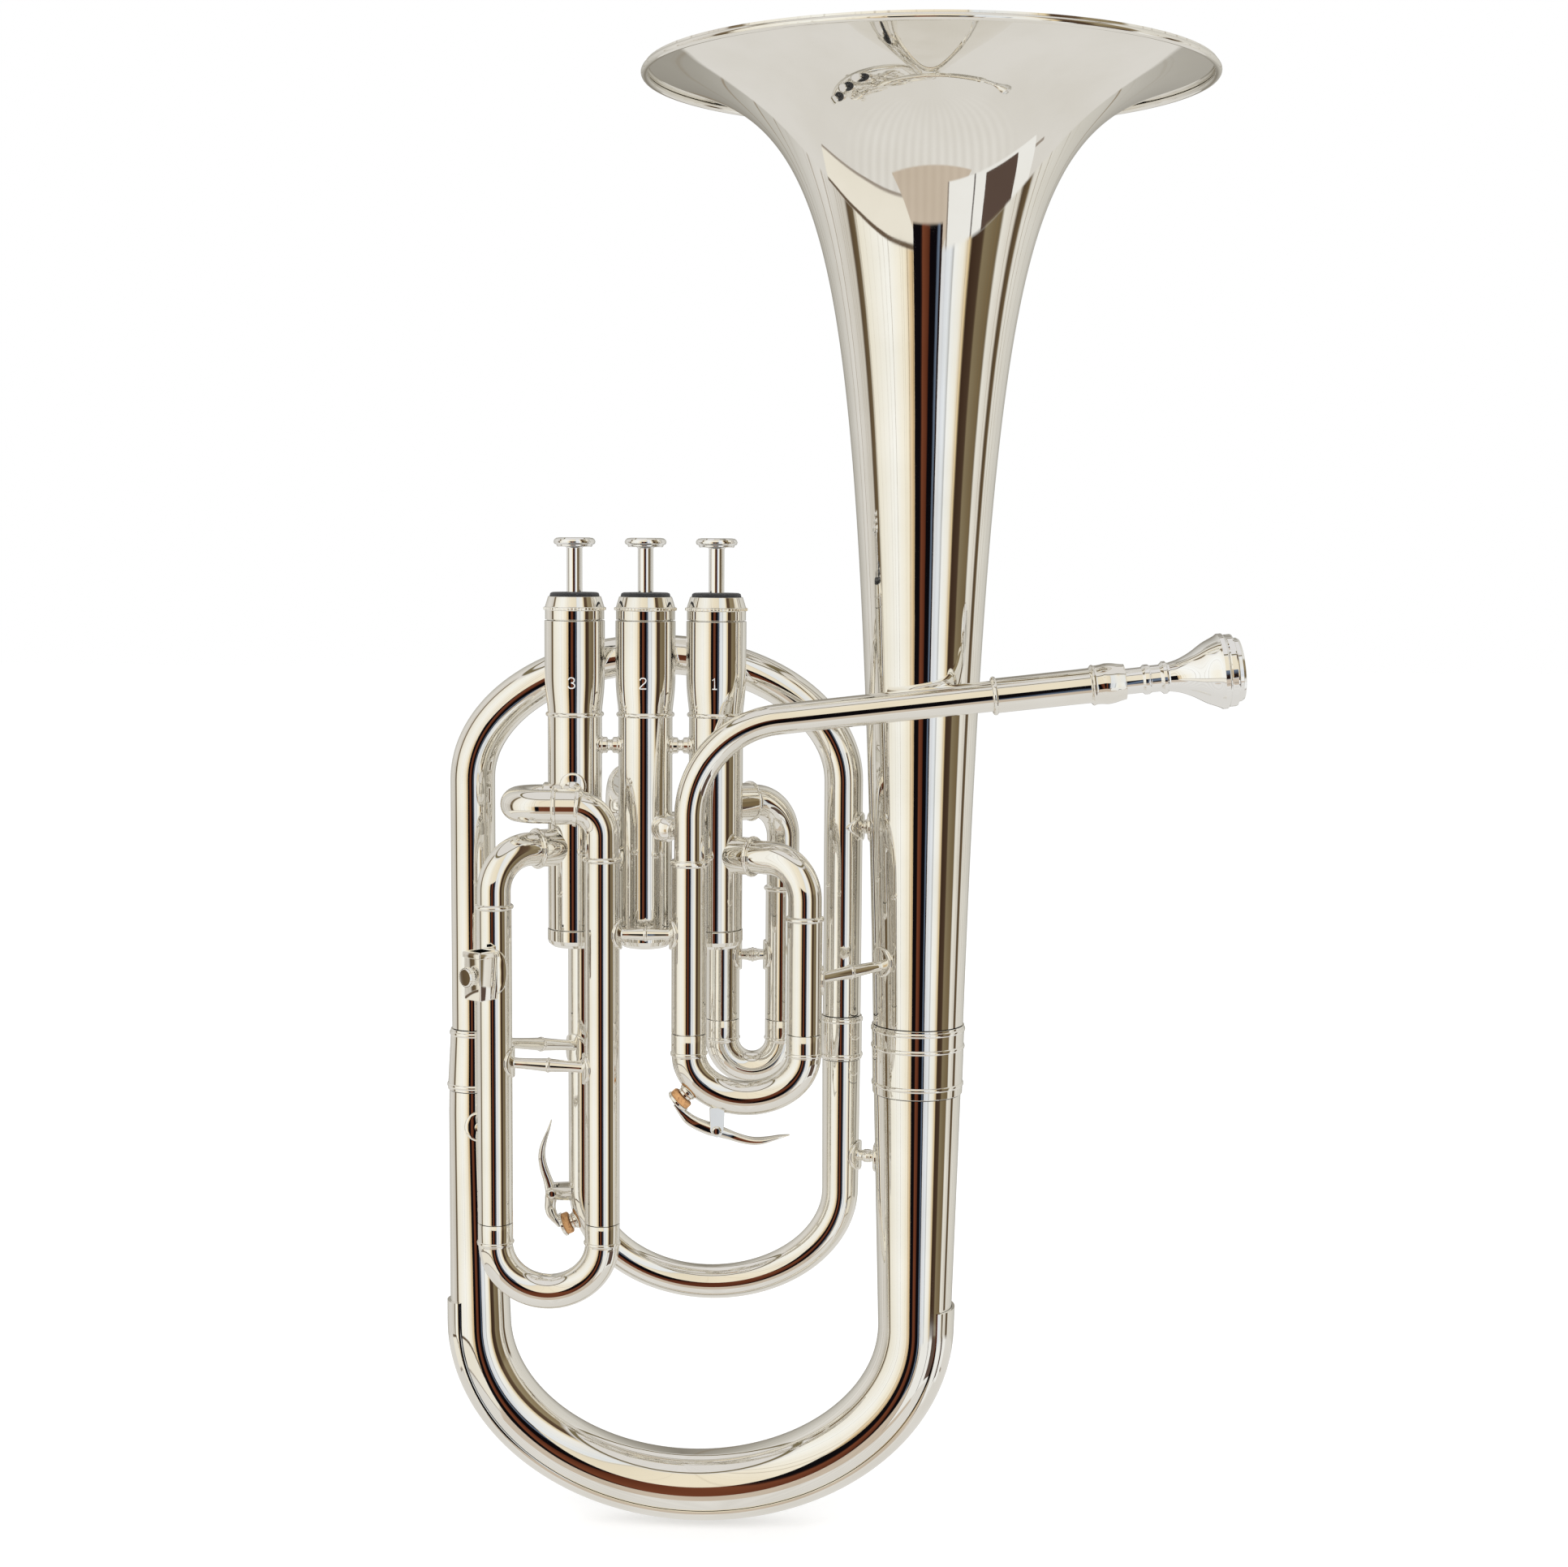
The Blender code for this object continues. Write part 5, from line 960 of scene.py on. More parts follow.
@dataclass
class Bows:
    """The bottom bow with its guard, the top bow and the inner bow."""

    bell: Bell
    valves: "Valves"
    back: float = 19.0
    left_x: float = -64.3
    right_x: float = 71.6
    spring_z: float = -206.5
    half_width: float = 80.6
    depth: float = 62.3
    radii: tuple[float, ...] = (15.9, 13.4, 12.3, 11.1, 9.3)
    wall: float = 0.8
    guard: float = 0.9
    guard_rise: float = 7.5
    left_joint: Size = (-120.6, -97.9)
    right_joint: Size = (-108.3, -92.2)
    top_spring: float = -5.5
    top_rise: float = 46.1
    inner_spring: float = -157.7
    inner_depth: float = 36.0
    inner_x: float = -23.4
    inner_radius: float = 6.1

    def bottom_route(self) -> list[Vector]:
        """The centre line of the bottom bow, from under the bell to the left joint."""
        top = self.bell.axis + UP * (self.bell.rim_z - self.bell.length - self.bell.sleeve - 0.6)
        right = self.bell.axis + UP * self.spring_z
        left = Vector((self.bell.axis.x - 2 * self.half_width, (self.bell.axis.y + self.back) / 2, self.spring_z))
        end = Vector((self.left_x, self.back, self.left_joint[0] - 0.3))
        return [top] + bow(right, left, self.depth, DOWN, 84) + [end + DOWN * 8, end]

    def bottom_sizes(self, grow: float = 0.0) -> list[Size]:
        """The radii of the bottom bow along its line."""
        route = self.bottom_route()
        total = length_of(route)
        right = (route[1] - route[0]).length
        left = total - length_of(route[-3:])
        marks = (0, right, (right + left) / 2, left, total)
        return [(mark, radius + grow) for mark, radius in zip(marks, self.radii)]

    def left_point(self, height: float) -> tuple[Vector, float]:
        """The point of the bottom bow's left leg at a height, and the radius there."""
        route = self.bottom_route()
        share = (height - route[-2].z) / (route[-3].z - route[-2].z)
        point = route[-2].lerp(route[-3], share)
        distance = length_of(route) - 8 - (route[-2] - point).length
        return point, radius_at(distance, self.bottom_sizes())

    def build(self) -> None:
        """Builds the bows and their joints."""
        work = Work("bottom_bow_tube")
        work.tube(self.bottom_route(), self.bottom_sizes(), self.wall, 64)
        work.done(Body.HORN, "bottom_bow")
        self.build_guard()
        left = Vector((self.left_x, self.back, 0))
        right = Vector((self.right_x, self.back, 0))
        Joint("left_joint_sleeve", left, *self.left_joint, 9.3, 8.1, (1.6, 21.0)).build("left_ferrule")
        Joint("right_joint_sleeve", right, *self.right_joint, 7.0, 7.0, (1.4, 14.6)).build("right_ferrule")
        arch = bow(left + UP * self.top_spring, right + UP * self.top_spring, self.top_rise, UP, 72)
        route = [left + UP * (self.left_joint[1] + 0.3), *arch, right + UP * (self.right_joint[1] + 0.3)]
        leg = (route[1] - route[0]).length
        total = length_of(route)
        work = Work("top_bow_tube")
        work.tube(route, [(0, 8.1), (leg, 8.1), (total / 2, 7.1), (total, 7.0)])
        work.done(Body.HORN, "top_bow")
        work = Work("inner_bow_tube")
        route = self.inner_route()
        work.tube(route, [(0, 7.0), (length_of(route) * 0.4, self.inner_radius)])
        WaterKey.second(self).build_seat(work)
        work.done(Body.HORN, "inner_bow")

    def build_guard(self) -> None:
        """Builds the strip that guards the outer side of the bottom bow."""
        route = self.bottom_route()
        sizes = self.bottom_sizes()
        low = route[1:-2]
        start = low[0] + UP * self.guard_rise
        end = low[-1] + (route[-2] - route[-3]).normalized() * self.guard_rise
        line = [start, *low, end]
        along = (route[1] - route[0]).length - self.guard_rise
        spread = math.radians(56)
        rings = []
        for index, point in enumerate(line):
            before, after = line[max(index - 1, 0)], line[min(index + 1, len(line) - 1)]
            run = (after - before).normalized()
            outward = run.cross(BACK).normalized()
            middle = Vector((self.bell.axis.x - self.half_width, point.y, self.spring_z))
            if outward.dot(point - middle) <= 0:
                outward = -outward
            side = run.cross(outward)
            radius = radius_at(along, sizes)
            ring = []
            for height, turns in ((self.guard + 0.3, range(-20, 21)), (0.15, range(20, -21, -1))):
                for turn in turns:
                    share = abs(turn) / 20
                    thin = 1 - 0.7 * max(0.0, share - 0.9) / 0.1
                    angle = spread * turn / 20
                    level = radius + (0.15 + (height - 0.15) * thin)
                    ring.append(point + (outward * math.cos(angle) + side * math.sin(angle)) * level)
            rings.append(ring)
            if index < len(line) - 1:
                along += (line[index + 1] - point).length
        work = Work("bow_guard_strip")
        work.skin(rings)
        work.done(Body.HORN, "bow_guard")

    def inner_route(self) -> list[Vector]:
        """The centre line of the inner bow, up into valve 3."""
        start = Vector((self.right_x, self.back, self.right_joint[0] - 0.3))
        right = Vector((self.right_x, self.back, self.inner_spring))
        tube = Vector((self.inner_x, self.back, 0))
        left = tube + UP * self.inner_spring
        port = self.valves.axis(3) + UP * self.valves.loop_z
        inward = self.valves.toward(3, tube)
        room = (tube - self.valves.axis(3)).length - self.valves.collar_reach - 0.3
        rise = bent([left, tube + UP * self.valves.loop_z, port + inward * (self.valves.collar_reach - 1)],
            [room - 1.2])
        return [start, *bow(right, left, self.inner_depth, DOWN), *rise[1:]]


# --- valves


@dataclass
class Valves:
    """The three piston valves: casings, caps, felts, buttons and etched numbers."""

    spacing: float = 25.25
    casing: float = 9.65
    bore: float = 8.3
    root: float = 9.0
    bottom: float = -57.1
    sleeve: float = 10.7
    collar: float = 6.7
    collar_reach: float = 10.35
    socket_reach: float = 16.5
    tuning_z: float = -30.0
    first_z: Size = (-12.0, -26.0)
    second_z: Size = (-8.0, -26.0)
    second_azimuth: float = 104.0
    second_reach: float = 35.0
    loop_z: float = -20.0
    third_z: Size = (-11.4, -27.5)
    number_z: float = 31.6
    number_size: float = 1.45

    def axis(self, number: int) -> Vector:
        """The point of a valve's axis at height 0. Valve 1 is the one nearest the mouthpiece."""
        return Vector(((2 - number) * self.spacing, 0, 0))

    def toward(self, number: int, target: Vector) -> Vector:
        """The level direction from a valve's axis to a point."""
        offset = target - self.axis(number)
        return Vector((offset.x, offset.y, 0)).normalized()

    def build(self) -> None:
        """Builds the valves, one after the other."""
        for number in (1, 2, 3):
            self.build_casing(number)
            self.build_caps(number)
            self.build_button(number)
            self.build_number(number)
            self.dress_inside(number)

    def sockets(self, number: int) -> list[tuple[Vector, float, float]]:
        """A valve's sockets as (direction, height, reach)."""
        if number == 1:
            return [
                (self.toward(1, Vector((57.4, -19, 0))), self.tuning_z, self.socket_reach),
                (self.toward(1, Vector((49.5, 19, 0))), self.first_z[0], self.socket_reach),
                (self.toward(1, Vector((27.5, 19, 0))), self.first_z[1], self.collar_reach),
            ]
        if number == 2:
            return [(radial(self.second_azimuth), height, self.second_reach) for height in self.second_z]
        return [
            (self.toward(3, Vector((-23.4, 19, 0))), self.loop_z, self.collar_reach),
            (self.toward(3, Vector((-44.9, 0, 0))), self.third_z[0], self.collar_reach),
            (self.toward(3, Vector((-52.3, -19, 0))), self.third_z[1], self.socket_reach),
        ]

    def build_casing(self, number: int) -> None:
        """Builds a casing with its sockets, and with valve 2 the links to its neighbours."""
        axis = self.axis(number)
        ring = turned_bead(20, self.casing, 0.75)[::-1]
        shoulder = smooth_curve([(self.sleeve, 36.0), (10.66, 32.5), (10.48, 29.0), (10.16, 25.6), (9.85, 22.9),
            (self.casing + 0.03, 21.2)], 6)
        outline = [
            (self.bore, 57.8), (9.75, 57.8), (9.75, 53.4), (self.sleeve, 53.4), *shoulder, *ring,
            (self.casing, self.bottom), (9.05, self.bottom), (9.05, -60.9), (self.bore, -60.9),
        ]
        work = Work(f"valve_casing_{number}")
        work.turn(outline, axis, hollow=True, ease=0.2, sides=96)
        for direction, height, reach in self.sockets(number):
            start = axis + UP * height
            if reach == self.second_reach:
                lip = turned_bead(reach - 1.2, SLIDE_TUBE, 0.6, 1.8)
                tube = [(5.7, self.root), (SLIDE_TUBE, self.root), *lip, (SLIDE_TUBE, reach), (5.7, reach)]
                root = [(5.75, self.root), (7.1, self.root), (7.1, 11.4), (6.6, 12.0), (6.26, 12.0), (5.75, 12.0)]
                work.turn(root, start, direction, hollow=True, ease=0.3, casing=self.root)
            elif reach == self.socket_reach:
                lip = turned_bead(reach - 0.9, self.collar, 0.6, 1.5)
                tube = [(5.98, self.root), (self.collar, self.root), *lip, (self.collar, reach), (5.98, reach)]
            else:
                tube = [(5.98, self.root), (self.collar + 0.1, self.root), (self.collar + 0.1, reach + 0.5),
                    (6.2, reach + 1.1), (5.98, reach + 1.1)]
            work.turn(tube, start, direction, hollow=True, ease=0.25, casing=self.root)
        if number == 2:
            self.build_links(work)
        work.done(Body.HORN, f"casing_{number}")

    def build_links(self, work: Work) -> None:
        """Adds the knuckles and the spool spacers between the casings."""
        for side, height in ((RIGHT, -20.0), (-RIGHT, -32.0)):
            outline = [(4.4, self.root), (5.0, self.root), (5.0, self.spacing), (4.4, self.spacing)]
            work.turn(outline, UP * height, side, ease=0, hollow=True, casing=self.root, far=self.spacing)
            middle = self.spacing / 2
            half = [(3.4, 4.1), (3.4, 3.0), (2.9, 2.6), (2.85, 1.1), (2.1, 0.75), (1.9, 0.0)]
            spool = [(radius, middle - offset) for radius, offset in half]
            mirror = [(radius, 2 * middle - place) for radius, place in reversed(spool[:-1])]
            work.turn([(0, middle - 4.1), *spool, *mirror, (0, middle + 4.1)], UP * 8.9, side, ease=0.25, sides=48)

    def build_caps(self, number: int) -> None:
        """Builds the top cap, its felt and the bottom cap."""
        axis = self.axis(number)
        rim = turned_bead(57.6, 10.5, 0.5, 1.3)[::-1]
        outline = [
            (8.95, 62.0), (9.4, 61.9), (10.45, 58.5), *rim, (10.5, 53.75), (10.05, 53.75), (10.05, 57.4),
            (8.35, 59.4), (3.25, 59.4), (3.25, 60.9), (8.95, 60.9),
        ]
        work = Work(f"valve_top_cap_{number}")
        work.turn(outline, axis, hollow=True, ease=0.2, sides=96)
        work.knurl(axis + UP * 57.6, UP, 54, 10.86, 0.3, 0.9)
        work.done(Body.HORN, f"top_cap_{number}")
        work = Work(f"valve_felt_{number}", FELT)
        work.turn([(3.25, 61.2), (8.6, 61.2), (8.85, 62.2), (8.6, 63.1), (7.9, 63.4), (3.6, 63.4), (3.25, 63.1)],
            axis, hollow=True, ease=0.35)
        work.done(Body.HORN, f"felt_{number}")
        work = Work(f"valve_bottom_cap_{number}")
        outline = [
            (0, -64.2), (5.5, -64.2), (7.6, -63.8), (9.3, -62.6), (9.9, -61.2), (9.9, -57.4), (9.35, -57.4),
            (9.35, -61.0), (8.8, -62.2), (0, -62.6),
        ]
        work.turn(outline, axis, ease=0.25, sides=96)
        work.done(Body.HORN, f"bottom_cap_{number}")

    def build_button(self, number: int) -> None:
        """Builds a finger button with its stem and plug."""
        outline = [
            (0, 82.7), (5.2, 82.75), (6.4, 82.6), (7.1, 82.1), (7.4, 81.4), (7.3, 80.8), (6.9, 80.4), (6.35, 80.3),
            (6.3, 79.75), (6.0, 79.5), (3.2, 79.5), (2.75, 79.1), (2.75, 59.8), (7.75, 59.8), (7.75, 58.2),
            (6.6, 58.2), (6.6, 56.2), (0, 56.2),
        ]
        work = Work(f"finger_button_top_{number}", BRIGHT)
        work.turn(outline, self.axis(number), ease=0.3)
        work.done(Body[f"VALVE_{number}"], f"finger_button_{number}")

    def build_number(self, number: int) -> None:
        """Builds a valve's etched number on the front of its sleeve."""
        curl = [(-0.75, 0.75), (-0.5, 1.15), (0.05, 1.3), (0.6, 1.1), (0.75, 0.6), (0.5, 0.15)]
        strokes = {
            1: [[(-0.45, 0.85), (0.05, 1.3), (0.05, -1.3)], [(-0.5, -1.3), (0.6, -1.3)]],
            2: [[*curl, (-0.2, -0.5), (-0.8, -1.3), (0.85, -1.3)]],
            3: [[*curl, (0.0, 0.05), (0.6, -0.2), (0.85, -0.7), (0.6, -1.15), (0.0, -1.3), (-0.55, -1.15),
            (-0.8, -0.75)]],
        }
        work = Work(f"etched_number_{number}", ETCH)
        for stroke in strokes[number]:
            line = []
            for across, up in smooth_curve(stroke, 3) if number > 1 else stroke:
                turn = across * self.number_size / self.sleeve - 0.03
                outward = Vector((math.sin(turn), -math.cos(turn), 0))
                height = self.number_z + up * self.number_size
                line.append(self.axis(number) + outward * self.sleeve + UP * height)
            work.tube(line, [(0, 0.2)], 0, 8)
        work.done(Body.HORN)

    def dress_inside(self, number: int) -> None:
        """Gives the piston, its guide and its spring their finishes. Their solids stay."""
        for node, finish in ((f"piston_{number}", ALLOY), (f"valve_guide_{number}", ALLOY),
                (f"valve_spring_{number}", WIRE)):
            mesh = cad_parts[node].data
            mesh.materials.clear()
            mesh.materials.append(PaintShop.material(finish))


# --- leadpipe and mouthpiece


@dataclass
class Leadpipe:
    """The leadpipe, the mouthpiece receiver and the mouthpiece."""

    radius: float = 5.4
    slope: float = math.radians(6.6)
    end: Vector = field(default_factory=lambda: Vector((132, -19, 29.65)))
    foot_x: float = 16.6
    foot_z: float = -37.8
    bend: float = 35.0

    def run(self) -> Vector:
        """The direction of the sloping run."""
        return Vector((math.cos(self.slope), 0, math.sin(self.slope)))

    def point(self, x: float) -> Vector:
        """The point of the sloping run at an X."""
        return self.end + Vector((x - self.end.x, 0, (x - self.end.x) * math.tan(self.slope)))

    def build(self) -> None:
        """Builds the three pieces."""
        foot = Vector((self.foot_x, self.end.y, self.foot_z))
        work = Work("leadpipe_tube")
        work.tube(bent([foot, self.point(self.foot_x), self.end], [self.bend], math.radians(2.5)), [(0, self.radius)])
        work.done(Body.HORN, "leadpipe")
        start = self.end - self.run() * 10
        bulb = smooth_curve([(6.15, 34.3), (6.4, 34.6), (7.0, 35.1), (7.1, 35.6), (6.8, 36.4), (6.9, 38.4),
            (7.15, 40.2), (6.95, 42.6), (6.5, 44.6), (6.2, 46.2)], 4)
        outline = [
            (5.45, 0), (6.1, 0), *turned_bead(0.95, 6.1, 0.7, 1.7), (6.1, 30.0), *bulb,
            (6.2, 46.7), (4.9, 46.7), (4.9, 10.4), (5.45, 10.4),
        ]
        work = Work("mouthpiece_receiver_tube")
        work.turn(outline, start, self.run(), hollow=True, ease=0.15)
        work.done(Body.HORN, "mouthpiece_receiver")
        self.build_mouthpiece(start + self.run() * (46.7 - 22.5))

    def build_mouthpiece(self, start: Vector) -> None:
        """Turns the mouthpiece.

        Args:
            start: the end of its shank.
        """
        length = 63.3
        cup = smooth_curve([(13.2, 7.6), (12.4, 8.9), (10.6, 12.9), (7.8, 17.5), (5.9, 21.8), (5.0, 25.4)], 5)
        rim = [(9.2, 0.25), (9.7, 0.02), (10.6, 0.25), (11.15, 1.1), (11.2, 2.3), (11.35, 2.6), (12.5, 2.7),
            (12.65, 3.2), (12.65, 4.9), (12.5, 5.4), (12.75, 5.6), (13.2, 6.1)]
        beads = [(5.1, 26.0), (5.7, 26.5), (5.7, 27.6), (5.1, 28.2), (4.7, 28.7), (4.7, 31.9), (5.2, 32.5),
            (5.25, 33.3), (5.2, 34.1), (4.5, 34.9), (4.5, 40.8)]
        taper = [(4.0, length), (3.3, length)]
        bore = smooth_curve([(3.3, length - 0.01), (2.4, 34.0), (2.0, 22.0), (2.1, 18.0), (3.4, 15.6), (5.4, 13.4),
            (7.2, 9.6), (8.2, 5.0), (8.7, 1.6), (9.0, 0.6)], 5)
        outline = [(radius, length - depth) for radius, depth in (*rim, *cup, *beads, *taper, *bore)]
        work = Work("mouthpiece_cup", BRIGHT)
        work.turn(outline, start, self.run(), hollow=True, ease=0.2, sides=96)
        work.done(Body.MOUTHPIECE, "mouthpiece")


# --- slides


@dataclass
class Slide:
    """Two outer tubes and the crook that slides in them."""

    name: str
    body: Body
    legs: tuple[Vector, Vector]
    bottom: float
    bow_depth: float
    tops: Size
    outer: float = SLIDE_TUBE
    inner: float = 5.35
    elbow: float = 5.95
    sleeve: float = 7.4
    margin: float = 4.0

    def outer_sizes(self, route: Sequence[Vector], top: float) -> list[Size]:
        """The radii of a tube that steps up to the slide's outer tube at a ring, which is top above the bottom."""
        step = self.bottom - top
        total = length_of(route)
        return [
            (0, self.elbow),
            (total + step - 1.0, self.elbow),
            *bead(total + step, self.elbow + 0.15, 0.85, 1.7)[1:-1],
            (total + step + 1.0, self.outer),
            (total, self.outer),
        ]

    def build_outer(self, label: str, route: Sequence[Vector], top: float, node: str,
            sleeve: Optional[Size] = None) -> None:
        """Draws an outer tube with its elbow.

        Args:
            label: the piece's name.
            route: its centre line.
            top: the height of its upper ring.
            node: the CAD node that it replaces.
            sleeve: where a thicker sleeve on its elbow starts and ends, along the line.
        """
        sizes = self.outer_sizes(route, top)
        if sleeve:
            start, end = sleeve
            thick = self.elbow + 0.3
            first, last = bead(start, thick, 0.55, 1.5), bead(end, thick, 0.55, 1.5)
            sizes[1:1] = [(start - 1.0, self.elbow), *first[1:], *last[:-1], (end + 1.0, self.elbow)]
        work = Work(label)
        work.tube(route, sizes)
        work.done(Body.HORN, node)

    def build_straight(self, label: str, leg: Vector, top: float, node: str) -> None:
        """Turns a straight outer tube with a ring at its top.

        Args:
            label: the piece's name.
            leg: a point of its axis.
            top: the height of its top.
            node: the CAD node that it replaces.
        """
        length = top - self.bottom
        high = turned_bead(length - 1.3, self.outer, 0.8, 2.2)
        wall = self.outer - 0.55
        work = Work(label)
        work.turn([(self.outer, 0), *high, (self.outer, length), (5.42, length), (wall, length - 3.5), (wall, 0)],
            Vector((leg.x, leg.y, self.bottom)), hollow=True, ease=0.15)
        work.done(Body.HORN, node)

    def crook(self, first: tuple[Vector, float], last: tuple[Vector, float], outward: Vector) -> Work:
        """Draws the crook.

        Args:
            first: the end of the first outer tube and the length of the leg in it.
            last: the same for the second one.
            outward: the way that the bow bulges.

        Returns:
            The crook, still in the making.
        """
        (first_end, first_leg), (last_end, last_leg) = first, last
        gap = 0.3 + self.sleeve
        arch = bow(first_end + outward * gap, last_end + outward * gap, self.bow_depth, outward)
        route = [first_end - outward * first_leg, *arch, last_end - outward * last_leg]
        total = length_of(route)
        start, end = first_leg + 0.3, total - last_leg - 0.3
        sizes = [
            (0, self.inner - 0.25), (0.3, self.inner), (start - 0.02, self.inner), (start + 0.05, self.outer - 0.1),
            (start + 0.25, self.outer), *bead(start + self.sleeve - 0.3, self.outer, 0.35, 1.3),
            (start + self.sleeve + 0.8, self.outer - 0.12), (end - self.sleeve - 0.8, self.outer - 0.12),
            *bead(end - self.sleeve + 0.3, self.outer, 0.35, 1.3), (end - 0.25, self.outer),
            (end - 0.05, self.outer - 0.1), (end + 0.02, self.inner), (total - 0.3, self.inner),
            (total, self.inner - 0.25),
        ]
        work = Work(f"{self.name}_crook_bow")
        work.tube(route, sizes, 0.5, 48)
        return work

    def down_crook(self, seats: Size = (0.0, 0.0)) -> Work:
        """The crook of a slide that hangs down.

        Args:
            seats: how much of each outer tube's top is taken by another tube.

        Returns:
            The crook, still in the making.
        """
        ends = []
        for leg, top, seat in zip(self.legs, self.tops, seats):
            ends.append((Vector((leg.x, leg.y, self.bottom)), top - self.bottom - self.margin - seat))
        return self.crook(ends[0], ends[1], DOWN)


@dataclass
class Slides:
    """The main tuning slide and the three valve slides."""

    valves: Valves
    front: float = -19.0
    back: float = 19.0
    bend: float = 14.0

    def tuning(self) -> Slide:
        """The main tuning slide."""
        legs = (Vector((16.6, self.front, 0)), Vector((57.4, self.front, 0)))
        return Slide("tuning", Body.TUNING_SLIDE, legs, -91.5, 15.8, (-29.8, -50.6))

    def first(self) -> Slide:
        """The first valve's slide."""
        legs = (Vector((27.5, self.back, 0)), Vector((49.5, self.back, 0)))
        return Slide("first", Body.FIRST_SLIDE, legs, -93.5, 11.0, (-45.0, -45.0))

    def third(self) -> Slide:
        """The third valve's slide."""
        legs = (Vector((-52.3, self.front, 0)), Vector((-14.2, self.front, 0)))
        return Slide("third", Body.THIRD_SLIDE, legs, -160.5, 17.8, (-46.9, -29.9))

    def elbow(self, number: int, height: float, leg: Vector, bottom: float) -> list[Vector]:
        """From inside a valve's socket out to a leg and down it."""
        start = self.valves.axis(number) + UP * height + self.valves.toward(number, leg) * 12.8
        return bent([start, leg + UP * height, leg + UP * bottom], [self.bend])

    def build(self) -> None:
        """Builds the slides."""
        reach = self.valves.collar_reach + 0.3
        slide = self.tuning()
        left, right = slide.legs
        slide.build_straight("tuning_left_tube", left, slide.tops[0], "tuning_outer_left")
        slide.build_outer("tuning_right_tube", self.elbow(1, self.valves.tuning_z, right, slide.bottom),
            slide.tops[1], "tuning_outer_right")
        work = slide.down_crook((8.0, 0.0))
        WaterKey.first(slide).build_seat(work)
        work.done(slide.body, "tuning_crook")
        slide = self.first()
        left, right = slide.legs
        slide.build_outer("first_right_tube", self.elbow(1, self.valves.first_z[0], right, slide.bottom),
            slide.tops[1], "first_outer_right")
        axis = self.valves.axis(1) + UP * self.valves.first_z[1]
        start = axis + self.valves.toward(1, left) * (reach - 1)
        room = (left - self.valves.axis(1)).length - reach
        route = bent([start, left + UP * self.valves.first_z[1], left + UP * slide.bottom], [room - 1.2])
        slide.build_outer("first_left_tube", route, slide.tops[0], "first_outer_left")
        slide.down_crook().done(slide.body, "first_crook")
        self.build_second()
        self.build_third(reach)

    def build_second(self) -> None:
        """Builds the second slide's crook, which points backwards."""
        upper, lower = self.valves.second_z
        outward = radial(self.valves.second_azimuth)
        slide = Slide("second", Body.SECOND_SLIDE, (outward, outward), 0.0, 9.0, (0.0, 0.0), sleeve=3.7)
        reach = self.valves.second_reach
        leg = reach - self.valves.casing - slide.margin
        work = slide.crook((outward * reach + UP * upper, leg), (outward * reach + UP * lower, leg), outward)
        work.done(slide.body, "second_crook")

    def build_third(self, reach: float) -> None:
        """Builds the third slide, whose upper branch rounds the front of valve 3.

        Args:
            reach: where its first tube leaves the valve's collar.
        """
        slide = self.third()
        left, right = slide.legs
        slide.build_outer("third_left_tube", self.elbow(3, self.valves.third_z[1], left, slide.bottom), slide.tops[0],
            "third_outer_left")
        height = UP * self.valves.third_z[0]
        turn = Vector((-44.9, 0, 0))
        corners = [
            self.valves.axis(3) + height + self.valves.toward(3, turn) * (reach - 1),
            turn + height,
            Vector((turn.x, self.front, self.valves.third_z[0])),
            right + height,
            right + UP * slide.bottom,
        ]
        room = (corners[1] - corners[0]).length - 1
        route = bent(corners, [room - 1.2, 9.5, 10.0])
        front = next(index for index, point in enumerate(route) if point.y < self.front + 0.01)
        before = length_of(route[: front + 1]) - route[front].x
        slide.build_outer("third_right_tube", route, slide.tops[1], "third_outer_right", (before - 30.8, before - 22.8))
        slide.down_crook().done(slide.body, "third_crook")


# --- braces


